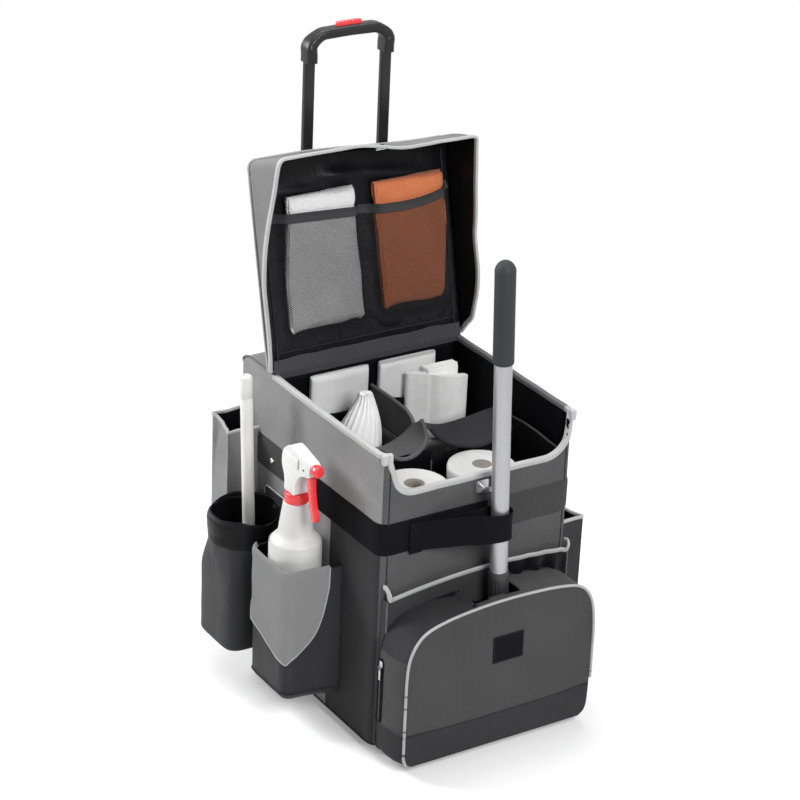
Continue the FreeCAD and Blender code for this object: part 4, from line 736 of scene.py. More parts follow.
    def stud(self, profile: Sequence[tuple[float, float]], steps: int, place: Matrix) -> None:
        """Turn a small profile about the upright line and set it in its place."""
        faces = self.lathe(profile, (0.0, 0.0), steps)
        self.turn(place, list({vert for face in faces for vert in face.verts}))

    def fill(self, faces: Sequence) -> None:
        """Close the open ends of a tube of faces."""
        rims = list({edge for face in faces for edge in face.edges if edge.is_boundary})
        bmesh.ops.holes_fill(self.bm, edges=rims, sides=0)

    def triangulate(self) -> None:
        """Divide the faces that have more than four corners."""
        many = [face for face in self.bm.faces if len(face.verts) > 4]
        bmesh.ops.triangulate(self.bm, faces=many)

    def slab(self, low: Spot, high: Spot, edge: float = 1.0, segments: int = 3,
             material: int = 0) -> list:
        """Add a box between two corners with rounded edges."""
        made = bmesh.ops.create_cube(self.bm, size=1.0)
        span = [b - a for a, b in zip(low, high)]
        middle = [(a + b) / 2.0 for a, b in zip(low, high)]
        for vert in made["verts"]:
            vert.co = Vector([m + c * s for m, c, s in zip(middle, vert.co, span)])
        if edge > 0.0:
            done = self._rounded(made["verts"], edge, segments)
            faces = list(set(done["faces"]) | {f for v in done["verts"] for f in v.link_faces})
        else:
            faces = list({f for v in made["verts"] for f in v.link_faces})
        for face in faces:
            face.material_index = material
        return faces

    def plate(self, outline: Sequence[Spot], depth: Spot, edge: float = 0.0, segments: int = 2,
              material: int = 0) -> list:
        """Extrude a flat outline and round its edges.

        Args:
            outline: The corners in order.
            depth: How far the outline is extruded, as a step.
            edge: The rounding of its edges.
            segments: The number of parts in the rounding.
            material: The number of the faces' material.

        Returns:
            The new faces.
        """
        base = self.bm.faces.new([self.bm.verts.new(Vector(spot)) for spot in outline])
        grown = bmesh.ops.extrude_face_region(self.bm, geom=[base], use_keep_orig=True)
        verts = [item for item in grown["geom"] if isinstance(item, bmesh.types.BMVert)]
        bmesh.ops.translate(self.bm, verts=verts, vec=Vector(depth))
        every = list(base.verts) + verts
        if edge > 0.0:
            done = self._rounded(every, edge, segments)
            every = [vert for vert in set(done["verts"]) if vert.is_valid]
        faces = list({face for vert in every if vert.is_valid for face in vert.link_faces})
        for face in faces:
            face.material_index = material
        return faces

    def cut(self, spot: Spot, normal: Spot) -> None:
        """Cut every face along a plane and keep both sides."""
        geom = self.bm.verts[:] + self.bm.edges[:] + self.bm.faces[:]
        bmesh.ops.bisect_plane(self.bm, geom=geom, dist=0.001, plane_co=Vector(spot),
                               plane_no=Vector(normal))

    def drop(self, test: Callable[[Vector], bool]) -> None:
        """Delete the faces whose middle passes a test."""
        gone = [face for face in self.bm.faces if test(face.calc_center_median())]
        bmesh.ops.delete(self.bm, geom=gone, context="FACES")

    def warp(self, move: Callable[[Vector], Vector], verts: Optional[Sequence] = None) -> None:
        """Move points by a rule that gives each a new spot."""
        for vert in (verts if verts is not None else self.bm.verts):
            vert.co = move(vert.co)

    def turn(self, matrix: Matrix, verts: Optional[Sequence] = None) -> None:
        """Turn or move points by a matrix."""
        bmesh.ops.transform(self.bm, matrix=matrix,
                            verts=list(verts if verts is not None else self.bm.verts))

    def finish(self, name: str, rides: str, looks: Sequence[bpy.types.Material], slot: str,
               replaces: Sequence[str] = (), wall: float = 0.0, lining: int = 0, rim: int = 0,
               crown: int = 0,
               crease: float = 40.0,
               outward: Optional[Callable[[Vector], Vector]] = None) -> bpy.types.Object:
        """Make the object, dress it and place it in the frame.

        Args:
            name: The piece's name.
            rides: The body that it moves with.
            looks: Its materials, in the order of their numbers.
            slot: The record's material slot; not used.
            replaces: The nodes that it stands for.
            wall: The thickness that an open sheet gets, inwards, in millimetres.
            lining: How many materials further the inner side is.
            rim: How many materials further the sheet's edge is.
            crown: Levels of subdivision.
            crease: The angle in degrees over which an edge stays sharp.
            outward: Gives a direction that faces should point along, from a face's middle.

        Returns:
            The piece.
        """
        bm = self.bm
        bmesh.ops.recalc_face_normals(bm, faces=bm.faces[:])
        if outward:
            lean = sum(face.normal.dot(outward(face.calc_center_median())) * face.calc_area()
                       for face in bm.faces)
            if lean < 0.0:
                bmesh.ops.reverse_faces(bm, faces=bm.faces[:])
        limit = math.radians(crease)
        for face in bm.faces:
            face.smooth = True
        for edge in bm.edges:
            edge.smooth = not (edge.is_manifold and edge.calc_face_angle(0.0) > limit)
        shift = at(0.0, 0.0, 0.0)
        bmesh.ops.transform(bm, matrix=Matrix.Translation(shift) @ Matrix.Scale(MM, 4),
                            verts=bm.verts[:])
        mesh = bpy.data.meshes.new(name)
        bm.to_mesh(mesh)
        bm.free()
        piece = bpy.data.objects.new(name, mesh)
        bpy.context.scene.collection.objects.link(piece)
        for look in looks:
            mesh.materials.append(look)
        if wall > 0.0:
            solid = piece.modifiers.new("wall", "SOLIDIFY")
            solid.thickness = wall * MM
            solid.offset = -1.0
            solid.use_even_offset = True
            solid.thickness_clamp = 1.0
            solid.material_offset = lining
            solid.material_offset_rim = rim
        if crown:
            soft = piece.modifiers.new("crown", "SUBSURF")
            soft.levels = crown
            soft.render_levels = crown
        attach(piece, rides)
        if replaces:
            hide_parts(*replaces)
        LOG.info("%s: %d faces, rides on %s", name, len(mesh.polygons), rides)
        return piece


def corded(name: str, look: "Look", slot: str, lines: Sequence[Line], radius: float, sides: int,
           steps: int) -> bpy.types.Object:
    """Make one piece of the bag from round cords along some lines."""
    shape = Shape()
    for line in lines:
        shape.cord(line, radius, sides, steps)
    return shape.finish(name, "bag", dressed(look), slot)


def pad_section(width: float, height: float, radius: float, parts: int = 3,
                shift: tuple[float, float] = (0.0, 0.0)) -> list[tuple[float, float]]:
    """The corners of a rounded rectangle, in order."""
    radius = min(radius, width / 2.0 - 0.01, height / 2.0 - 0.01)
    points = []
    for corner, (sx, sy) in enumerate(((1, 1), (-1, 1), (-1, -1), (1, -1))):
        for part in range(parts + 1):
            angle = TURN * (corner / 4.0 + part / (4.0 * parts))
            points.append((sx * (width / 2.0 - radius) + radius * math.cos(angle) + shift[0],
                           sy * (height / 2.0 - radius) + radius * math.sin(angle) + shift[1]))
    return points


Direction = Callable[[Vector], Vector]


def towards(x: float, y: float, z: float) -> Direction:
    """A rule that gives one direction everywhere."""
    way = Vector((x, y, z))
    return lambda c: way


def away_from(x: float, y: float) -> Direction:
    """A rule that gives the level direction away from an upright line."""
    return lambda c: Vector((c.x - x, c.y - y, 0.0))


FORWARD = towards(0.0, -1.0, 0.0)
OUT_OF_LID = towards(0.0, 0.97, -0.23)
INTO_LID = towards(0.0, -0.97, 0.23)


class Look(Enum):
    """The finishes that the caddy's pieces take."""

    # Painted light: the grey cloth lightened well past the front wall's tone, standing in for the
    # strong lamp on the left side.
    SHELL_PAINTED_LIGHT = ClothFinish("shell_cloth", (0.285, 0.285, 0.287))
    SHADE = ClothFinish("shade_cloth", (0.045, 0.045, 0.047), mottle=0.14)
    LID = ClothFinish("lid_cloth", (0.220, 0.220, 0.222), crease=0.0016)
    PANEL = ClothFinish("front_panel_cloth", (0.100, 0.100, 0.103))
    POCKET = ClothFinish("front_pocket_cloth", (0.044, 0.044, 0.046))
    BAG = ClothFinish("front_bag_cloth", (0.056, 0.056, 0.058), gloss=0.25)
    SKID = ClothFinish("lower_panel_cloth", (0.035, 0.035, 0.037), weave=Weave.RIBBED)
    POUCH = ClothFinish("pouch_cloth", (0.021, 0.021, 0.023), crease=0.0030, roughness=0.5,
                        gloss=0.2)
    NYLON = ClothFinish("lining_nylon", (0.006, 0.006, 0.007), crease=0.0036, roughness=0.38,
                        gloss=0.10,
                        sheen=0.0, weave=Weave.QUIET)
    DEEP = ClothFinish("hold_lining", (0.004, 0.004, 0.005), crease=0.0016, roughness=0.6,
                       sheen=0.0, gloss=0.04,
                       weave=Weave.QUIET)
    WEBBING = ClothFinish("black_webbing", (0.007, 0.007, 0.008), thread=0.0022, relief=0.00018,
                          crease=0.0006,
                          sheen=0.0, gloss=0.05, weave=Weave.RIBBED)
    FRONT_BAND = ClothFinish("band_cloth", (0.060, 0.060, 0.062), thread=0.0022, relief=0.0003,
                             weave=Weave.RIBBED)
    DIVIDER = ClothFinish("divider_cloth", (0.110, 0.110, 0.112), crease=0.0008)
    FLAP = ClothFinish("flap_cloth", (0.245, 0.245, 0.248), crease=0.0008, mottle=0.07)
    STRIP = ClothFinish("hinge_cloth", (0.066, 0.066, 0.069), crease=0.0050, crease_per_metre=26.0)
    WHITE_MICRO = ClothFinish("white_microfibre_pile", (0.80, 0.80, 0.80), thread=0.0034,
                              relief=0.0014,
                              mottle=0.08, sheen=0.1, weave=Weave.TERRY)
    ORANGE_MICRO = ClothFinish("orange_microfibre_pile", (0.62, 0.190, 0.080), thread=0.0034,
                               relief=0.0014,
                               mottle=0.12, sheen=0.1, weave=Weave.TERRY)
    WHITE_CLOTH = ClothFinish("white_cotton", (0.86, 0.86, 0.86), crease=0.0032, mottle=0.08,
                              weave=Weave.PLAIN)
    LINER = ClothFinish("liner_film", (0.93, 0.93, 0.93), crease=0.0030, crease_per_metre=30.0,
                        mottle=0.05,
                        roughness=0.5, coat=0.1, weave=Weave.QUIET)
    BINDING = TrimFinish("pale_tape", (0.50, 0.50, 0.50))
    PIPING = TrimFinish("pale_piping", (0.46, 0.46, 0.46), row=-1.0)
    THIN_PIPING = TrimFinish("grey_piping", (0.16, 0.16, 0.165), row=-1.0)
    ELASTIC = TrimFinish("elastic_tape", (0.050, 0.050, 0.053), stitch=0.003)
    SEAM = TrimFinish("dark_seam", (0.025, 0.025, 0.027), row=-1.0)
    NET = NetFinish("pocket_net", (0.030, 0.030, 0.032))
    HARD_BLACK = MouldedFinish("moulded_black", (0.028, 0.028, 0.030), roughness=0.42)
    GRIP = MouldedFinish("grip_rubber_black", (0.011, 0.011, 0.012), roughness=0.36, grain=0.00012,
                         gloss=0.3)
    MOP_GRIP = MouldedFinish("mop_grip_grey", (0.036, 0.037, 0.040), roughness=0.6, grain=0.00010,
                             gloss=0.2)
    TYRE = MouldedFinish("tyre_rubber", (0.030, 0.030, 0.031), roughness=0.75, grain=0.0002)
    FOOT = MouldedFinish("foot_rubber_black", (0.035, 0.035, 0.036), roughness=0.7, grain=0.00015)
    WHITE_PLASTIC = MouldedFinish("white_moulded", (0.73, 0.73, 0.72), roughness=0.36,
                                  grain=0.00002,
                                  mottle=0.02, scatter=0.15)
    BOTTLE = MouldedFinish("bottle_white", (0.66, 0.66, 0.655), roughness=0.42, grain=0.00003,
                           mottle=0.03,
                           scatter=0.3)
    RED = MouldedFinish("red_moulded", (0.78, 0.035, 0.040), roughness=0.26, grain=0.00002,
                        mottle=0.04,
                        coat=0.25)
    BRISTLE = MouldedFinish("bristle_white", (0.70, 0.70, 0.68), roughness=0.6, grain=0.0004)
    TUBE = MetalFinish("black_tube_coat", (0.012, 0.012, 0.013), roughness=0.26, metallic=0.25)
    STEEL = MetalFinish("plated_steel", (0.52, 0.52, 0.53), roughness=0.34)
    CHROME = MetalFinish("bright_chrome", (0.80, 0.80, 0.81), roughness=0.16)
    ALUMINIUM = MetalFinish("drawn_aluminium", (0.44, 0.44, 0.45), roughness=0.40, metallic=0.75)
    PAPER = PaperFinish("embossed_paper", (0.63, 0.63, 0.625))
    TOWEL = PaperFinish("towel_paper", (0.93, 0.93, 0.925), cell=0.003, relief=0.0003)
    CORE = MouldedFinish("roll_core_board", (0.20, 0.18, 0.16), roughness=0.8, grain=0.0003)


class Wardrobe:
    """The materials, each made when it is first asked for."""

    _made: dict[Look, bpy.types.Material] = {}

    @classmethod
    def get(cls, look: Look) -> bpy.types.Material:
        """The material of a finish."""
        if look not in cls._made:
            cls._made[look] = look.value.build()
        return cls._made[look]


def dressed(*looks: Look) -> list[bpy.types.Material]:
    """The materials of several finishes, in order."""
    return [Wardrobe.get(look) for look in looks]


@dataclass(frozen=True)
class Plan:
    """A rounded rectangle seen from above, walked from its front's middle to the right."""

    half: float
    front: float
    rear: float
    corner: float

    @property
    def legs(self) -> list[float]:
        """The lengths of its straight and round parts, in walking order."""
        flat = self.half - self.corner
        side = self.rear - self.front - 2.0 * self.corner
        bend = math.pi / 2.0 * self.corner
        return [flat, bend, side, bend, 2.0 * flat, bend, side, bend, flat]

    @property
    def length(self) -> float:
        """The whole way round."""
        return sum(self.legs)

    def walk(self, distance: float) -> tuple[float, float, float, float]:
        """The place and the outward direction after a walk."""
        left = distance % self.length
        number = 0
        for number, leg in enumerate(self.legs):
            if left <= leg or number == 8:
                break
            left -= leg
        flat, inner = self.half - self.corner, self.rear - self.corner
        if number == 0:
            return left, self.front, 0.0, -1.0
        if number == 2:
            return self.half, self.front + self.corner + left, 1.0, 0.0
        if number == 4:
            return flat - left, self.rear, 0.0, 1.0
        if number == 6:
            return -self.half, inner - left, -1.0, 0.0
        if number == 8:
            return -flat + left, self.front, 0.0, -1.0
        middle = {1: (flat, self.front + self.corner, -math.pi / 2.0), 3: (flat, inner, 0.0),
                  5: (-flat, inner, math.pi / 2.0),
                  7: (-flat, self.front + self.corner, math.pi)}[number]
        angle = middle[2] + left / self.corner
        nx, ny = math.cos(angle), math.sin(angle)
        return middle[0] + self.corner * nx, middle[1] + self.corner * ny, nx, ny


@dataclass(frozen=True)
class Scoop:
    """One side of the opening cut down into the front wall."""

    top_half: float
    low_half: float
    round: float

    def height(self, x: float, low: float, top: float) -> float:
        """The wall's top at a distance from the middle plane."""
        lean = math.atan2(top - low, self.top_half - self.low_half)
        tangent = self.round * math.tan(lean / 2.0)
        start = self.low_half - tangent
        end = self.low_half + tangent * math.cos(lean)
        if x <= start:
            return low
        if x <= end:
            return low + self.round - math.sqrt(max(0.0, self.round ** 2 - (x - start) ** 2))
        return min(top, low + (x - self.low_half) * math.tan(lean))


@dataclass
class Body:
    """The bag's four soft walls, its rear deck, its bands and its bindings.

    Attributes:
        corner: The radius of its upright corners.
        wall: How thick its walls are.
        base: The height of the walls' lower edge.
        scoop_low: The height of the opening's lowest part in the front wall.
        left_scoop: The opening's left side.
        right_scoop: The opening's right side.
        roll: The radius that the deck rolls down by at the rear.
        binding_height: How tall the tape on the rim is.
        binding_width: How wide the tape on the rim is.
        bulge: How far the filled walls stand out at most.
        housing: How wide a wheel's housing is.
        collar: How wide the handle's collar is on one tube.
        painted_shadow_to: The depth that the painted shadow on the left wall's lower part reaches
            back to.
        grey_from: The depth that the band is grey behind.
        grey_side: The place across the front that the band is grey right of.
    """

    corner: float = 18.0
    wall: float = 6.0
    base: float = 14.0
    scoop_low: float = 467.0
    left_scoop: Scoop = Scoop(167.0, 147.0, 34.0)
    right_scoop: Scoop = Scoop(177.5, 158.0, 40.0)
    roll: float = 40.0
    binding_height: float = 9.4
    binding_width: float = 9.6
    bulge: float = 3.2
    housing: float = 55.0
    collar: float = 26.0
    painted_shadow_to: float = 150.0
    grey_from: float = 235.0
    grey_side: float = 20.0

    def __post_init__(self) -> None:
        """Read the body's places from the frame."""
        side, front, rear = Box.of("left_wall"), Box.of("front_wall"), Box.of("rear_wall")
        self.half = -side.x0
        self.depth = rear.y1
        self.top = Box.of("edge_binding").z1
        self.hinge = Box.of("bulkhead")
        self.band = Box.of("body_band")
        self.well = Box.of("wheel_housings")
        self.well_inner = self.half - self.housing
        self.plan = Plan(self.half, front.y0, self.depth, self.corner)

    def rim(self, x: float, y: float) -> float:
        """The height of the walls' top edge over a place on the plan."""
        if y < self.corner:
            scoop = self.right_scoop if x > 0.0 else self.left_scoop
            return scoop.height(abs(x), self.scoop_low, self.top)
        bend = self.depth - self.roll
        if y > bend:
            return self.top - self.roll + math.sqrt(max(0.0, self.roll ** 2 - (y - bend) ** 2))
        if x < 0.0 and y < self.hinge.y0:
            return self.top - 1.6 * math.sin(math.pi * (y - self.corner)
                                             / (self.hinge.y0 - self.corner))
        return self.top

    def swell(self, x: float, y: float, z: float) -> float:
        """How far the cloth stands out from the plan at a spot."""
        high = self.rim(x, y)
        rise = clamp((z - self.base) / (high - self.base))
        if abs(x) > self.half - self.corner * 0.5:
            along = (y - self.plan.front) / self.depth
            amount = self.bulge * (1.0 if x > 0.0 else 0.45)
        else:
            along = (x + self.half) / (2.0 * self.half)
            amount = self.bulge * 0.7
        belly = amount * math.sin(math.pi * rise) ** 0.7 * math.sin(math.pi * clamp(along)) ** 0.5
        calm = min(1.0, 4.0 * rise, 6.0 * (1.0 - rise) + 0.15)
        soft = 0.9 * ripple(x, y, z, 150.0, 3.1) + 0.45 * ripple(x, y, z, 60.0, 7.7)
        return belly + soft * calm

    def skin(self, distance: float, z: float, lift: float = 0.0) -> Spot:
        """A spot on the walls' outer face, or a lift outside it."""
        x, y, nx, ny = self.plan.walk(distance)
        out = self.swell(x, y, z) + lift
        return x + nx * out, y + ny * out, z

    def stations(self) -> list[float]:
        """Walking distances for the columns of the walls, closer together beside the scoop."""
        whole, parts, close, close_parts = self.plan.length, 190, 2.6, 36
        found = {round(whole * index / float(parts), 3) for index in range(parts + 1)}
        for start in (104.0, whole - 196.0):
            found |= {round(start + close * index, 3) for index in range(close_parts)}
        return sorted(found)

    def build(self) -> None:
        """Make every piece of the body."""
        self.walls()
        self.deck()
        self.bindings()
        self.bands()
        self.hinge_strip()
        self.inner_wall()
        self.trims()
        self.rigid_parts()

    def walls(self) -> None:
        """The four walls as one soft shell with a dark lining; the sides take a lightened copy of the
        front's cloth as painted light, and the left wall has a painted shadow low down.
        """
        shape = Shape()
        whole = self.plan.length
        columns = [distance / whole for distance in self.stations()]

        def place(s: float, t: float) -> Spot:
            """A corner of the shell."""
            x, y, _, _ = self.plan.walk(s * whole)
            top = self.rim(x, y) - 1.0
            return self.skin(s * whole, self.base + t * (top - self.base))

        shape.sheet(columns, shares(44), place, (whole * MM, self.top * MM), join=True)
        for face in shape.bm.faces:
            centre = face.calc_center_median()
            # Painted light: the front faces keep the darker front panel cloth and the rest take the
            # lightened shell copy of the same grey cloth.
            if centre.y < self.corner * 0.35:
                face.material_index = 2
            # Painted shadow: the left wall below the band, in front of the pouches, takes the darker
            # lower-panel cloth.
            elif centre.x < 0.0 and centre.y < self.painted_shadow_to and centre.z < self.band.z0 + 4.0:
                face.material_index = 4
        well = self.well
        shape.cut((0.0, well.y0, 0.0), (0.0, 1.0, 0.0))
        shape.cut((0.0, 0.0, well.z1), (0.0, 0.0, 1.0))
        for side in (-1.0, 1.0):
            shape.cut((side * self.well_inner, 0.0, 0.0), (1.0, 0.0, 0.0))
        shape.drop(lambda c: c.z < well.z1 and c.y > well.y0 and abs(c.x) > self.well_inner)
        middle = Vector((0.0, self.depth / 2.0, 0.0))
        shape.finish("bag_walls", "bag",
                     dressed(Look.SHELL_PAINTED_LIGHT, Look.DEEP, Look.PANEL, Look.DEEP, Look.SKID, Look.DEEP),
                     "grey_fabric", ("front_wall", "left_wall", "right_wall", "rear_wall"),
                     wall=self.wall, lining=1, rim=1,
                     outward=away_from(middle.x, middle.y))

    def deck(self) -> None:
        """The cover over the handle chamber, rolled down behind, with room for the collars."""
        shape = Shape()
        box = Box.of("handle_collars")
        outer, inner_side = -box.x0, -box.x0 - self.collar
        cuts_x = (-outer, -inner_side, inner_side, outer)
        front = self.hinge.y0 + 2.0
        flat = self.depth - self.roll
        spread = [-1.0 + 2.0 * index / 48.0 for index in range(49)]
        columns = sorted({round(value, 5) for value in spread} | {round(x / self.half, 5)
                                                                  for x in cuts_x})
        levels = [front + (flat - front) * index / 8.0 for index in range(8)]
        angles = [math.pi / 2.0 * index / 14.0 for index in range(15)]
        marks = [("flat", value) for value in levels] + [("bend", value) for value in angles]

        def place(s: float, t: float) -> Spot:
            """A corner of the deck."""
            kind, value = marks[round(t * (len(marks) - 1))]
            if kind == "flat":
                y, z = value, self.top
            else:
                y = flat + self.roll * math.sin(value)
                z = self.top - self.roll + self.roll * math.cos(value)
            inner = self.depth - self.corner
            half = self.half
            if y > inner:
                half -= hollow(self.corner, y - inner)
            share = -1.0 + 2.0 * s
            x = share * half
            crown = 2.6 * math.cos(share * math.pi / 2.0) ** 0.6 * (1.0 if kind == "flat"
                                                                    else math.cos(value))
            sag = 0.9 * ripple(x, y, z, 70.0, 5.0)
            return x, y, z + crown + sag * abs(math.cos(share * math.pi / 2.0))

        shape.sheet([(value + 1.0) / 2.0 for value in columns], shares(len(marks) - 1), place,
                    (2.0 * self.half * MM, 0.14))
        for y in (box.y0, box.y1):
            shape.cut((0.0, y, 0.0), (0.0, 1.0, 0.0))
        shape.drop(lambda c: box.y0 < c.y < box.y1 and inner_side < abs(c.x) < outer
                   and c.z > self.top - 30.0)
        shape.finish("rear_deck", "bag", dressed(Look.SHELL_PAINTED_LIGHT, Look.DEEP), "grey_fabric",
                     ("top_cover",),
                     wall=self.wall, lining=1, rim=1,
                     outward=lambda c: Vector((0.0, c.y - flat, c.z - 400.0)))
        self.deck_trim(front)

    def deck_trim(self, front: float) -> None:
        """The thin piping along the deck's two sides."""
        flat = self.depth - self.roll
        lines = []
        for side in (-1.0, 1.0):
            edge, high = side * (self.half - 0.5), self.top + 0.8
            spots = [(edge, front, high), (edge, flat, high)]
            for index in range(1, 6):
                angle = math.pi / 2.0 * index / 6.0
                y = flat + self.roll * math.sin(angle)
                inner = self.depth - self.corner
                half = self.half
                if y > inner:
                    half -= hollow(self.corner, y - inner)
                spots.append((side * (half - 0.5), y,
                              self.top - self.roll + self.roll * math.cos(angle) + 0.8))
            lines.append(Line(spots))
        corded("deck_piping", Look.THIN_PIPING, "pale_binding", lines, 1.7, 8, 40)

    def bindings(self) -> None:
        """The tape over the walls' top edges and round the scoop: pale, and grey on the right."""
        shape = Shape()
        whole = self.plan.length
        start = self.plan.legs[0] + self.plan.legs[1] + (self.hinge.y0 - self.corner)
        walk = [value for value in self.stations() if value < start or value > whole - start]
        order = [value for value in walk if value > whole / 2.0] + [value for value in walk
                                                                    if value < whole / 2.0]
        spots = []
        for distance in order:
            x, y, nx, ny = self.plan.walk(distance)
            inset = self.wall / 2.0
            high = self.rim(x, y)
            spots.append((x - nx * inset, y - ny * inset, high))
        line = Line(spots, straight=True)
        pad = pad_section(self.binding_width, self.binding_height, 2.4, 3,
                          (0.0, -self.binding_height / 2.0))

        def section(share: float) -> list[tuple[float, float]]:
            """The tape's section, a little uneven along its way."""
            swell = 0.25 * math.sin(share * 90.0)
            return [(a, b + swell) for a, b in pad]

        for face in shape.sweep(line, section, steps=340):
            centre = face.calc_center_median()
            if centre.x > self.half - 12.0 and centre.y > self.corner + 5.0:
                face.material_index = 1
        self._posts(shape)
        shape.finish("top_binding", "bag", dressed(Look.BINDING, Look.THIN_PIPING), "pale_binding",
                     ("edge_binding",))

    def _posts(self, shape: Shape) -> None:
        """The little folded loops of tape at the two front corners."""
        for side, scoop in ((-1.0, self.left_scoop), (1.0, self.right_scoop)):
            x = side * (self.half - 4.0)
            shape.slab((x - 4.6, -1.2, self.top - 17.0), (x + 4.6, 7.0, self.top + 0.6), 2.0, 3)
            inner = side * (scoop.top_half + 0.5)
            shape.slab((inner - 4.0, -1.8, self.top - 13.0), (inner + 4.0, 6.4, self.top + 1.0),
                       2.0, 3)

    def bands(self) -> None:
        """The webbing band round the bag and its snap."""
        shape = Shape()
        whole = self.plan.length
        low, high = self.band.z0, self.band.z1
        columns = [distance / whole for distance in self.stations()]

        def place(s: float, t: float) -> Spot:
            """A corner of the band."""
            edge = 1.0 - abs(2.0 * t - 1.0) ** 10
            return self.skin(s * whole, low + t * (high - low), 0.3 + 1.6 * edge)

        shape.sheet(columns, shares(8), place, (whole * MM, (high - low) * MM), join=True)
        for face in shape.bm.faces:
            centre = face.calc_center_median()
            front = centre.y < self.corner * 0.6 and centre.x > self.grey_side
            face.material_index = 1 if front or centre.y > self.grey_from else 0
        shape.finish("wall_band", "bag", dressed(Look.WEBBING, Look.FRONT_BAND), "black_fabric",
                     ("body_band",),
                     outward=away_from(0.0, self.depth / 2.0))
        shape = Shape()
        behind_corner, height = 316.0, 384.0
        spot = self.skin(whole - self.plan.legs[8] - self.plan.legs[7] - behind_corner, height, 2.4)
        ring = [(0.0, 2.6), (3.2, 2.5), (4.4, 1.6), (4.8, 0.0), (4.8, -0.6), (0.0, -0.6)]
        shape.stud(ring, 28,
                   Matrix.Translation(Vector(spot)) @ Matrix.Rotation(-math.pi / 2.0, 4, "Y"))
        shape.finish("band_snap", "bag", dressed(Look.CHROME), "chrome")

    def hinge_strip(self) -> None:
        """The lighter strip of cloth that covers the hinge, sewn to the inner wall."""
        box = Box.of("lid_hinge_tape")
        shape = Shape()
        half = min(184.0, -box.x0 + 8.0)
        front = box.y0 + 2.4
        low, tall, bend = 527.0, 33.0, 538.5

        def place(s: float, t: float) -> Spot:
            """A corner of the strip: up the inner wall's front and on to the lid's lining."""
            x = -half + 2.0 * half * s
            z = low + t * (tall + 2.0 * ripple(x, 0.0, 0.0, 50.0, 4.0))
            roll = bell(z, bend + 0.5, 6.0)
            lean = max(0.0, z - bend) * math.tan(math.radians(Lid.lean))
            y = front - 3.6 + lean - 1.2 * roll - 1.9 * abs(ripple(x, z * 1.6, 0.0, 30.0,
                                                                   2.0)) * (0.4 + 0.6 * t)
            return x, y, z

        shape.sheet(shares(70), shares(16), place, (2.0 * half * MM, 0.046))
        piece = shape.finish("hinge_cover", "bag", dressed(Look.STRIP), "black_fabric",
                             ("lid_hinge_tape",), wall=1.6,
                             outward=FORWARD)

    def inner_wall(self) -> None:
        """The padded wall between the hold and the handle chamber."""
        box = self.hinge
        shape = Shape()
        half = -box.x0 - 0.5

        def place(s: float, t: float) -> Spot:
            """A corner of the wall's front face."""
            x = -half + 2.0 * half * s
            z = box.z0 + (box.z1 - box.z0) * t
            puff = 1.2 * math.sin(math.pi * s) * math.sin(math.pi * t)
            return x, box.y0 + 0.4 - puff * 0.2 + 0.3 * ripple(x, 0.0, z, 50.0), z

        shape.sheet(shares(40), shares(50), place, (2.0 * half * MM, 0.51))
        shape.finish("inner_wall", "bag", dressed(Look.DEEP), "black_fabric", ("bulkhead",),
                     wall=7.0,
                     outward=FORWARD)

    def trims(self) -> None:
        """The walls' four corner seams and the seam along the base, left open at the rear."""
        shape = Shape()
        whole = self.plan.length
        legs = self.plan.legs
        for distance, top in ((legs[0] + 4.0, 500.0), (whole - legs[8] - 4.0, 512.0),
                              (sum(legs[:3]) + 8.0, 492.0), (sum(legs[:6]) - 6.0, 492.0)):
            front = distance < sum(legs[:3]) or distance > sum(legs[:6])
            low = self.base if front else self.well.z1
            spots = [self.skin(distance, low + (top - low) * index / 12.0, 0.2)
                     for index in range(13)]
            shape.cord(Line(spots), 1.1, 6, 48)
        ring = [self.skin(whole * index / 90.0, self.base + 2.0, 0.4) for index in range(90)]
        for part in (ring[:32], ring[58:] + ring[:1]):
            shape.cord(Line(part), 1.6, 6, 80)
        shape.finish("wall_seams", "bag", dressed(Look.SEAM), "black_fabric")

    def rigid_parts(self) -> None:
        """Finishes for the moulded and metal nodes of the body."""
        looks = {"base_tray": Look.HARD_BLACK, "front_feet": Look.FOOT,
                 "wheel_housings": Look.HARD_BLACK,
                 "wheel_axles": Look.STEEL, "handle_outer_tubes": Look.STEEL,
                 "tube_brackets": Look.HARD_BLACK,
                 "handle_collars": Look.HARD_BLACK, "latch_plate": Look.STEEL,
                 "latch_knob": Look.CHROME,
                 "left_wheel_hub": Look.HARD_BLACK, "right_wheel_hub": Look.HARD_BLACK,
                 "left_tyre": Look.TYRE, "right_tyre": Look.TYRE}
        for node, look in looks.items():
            dress_node(node, look)


def dress_node(node: str, look: Look) -> None:
    """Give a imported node's object a better material."""
    piece = bpy.data.objects[node]
    for slot in piece.material_slots:
        slot.material = Wardrobe.get(look)
    if not piece.material_slots:
        piece.data.materials.append(Wardrobe.get(look))
    LOG.info("%s: dressed in %s", node, look.value.name)


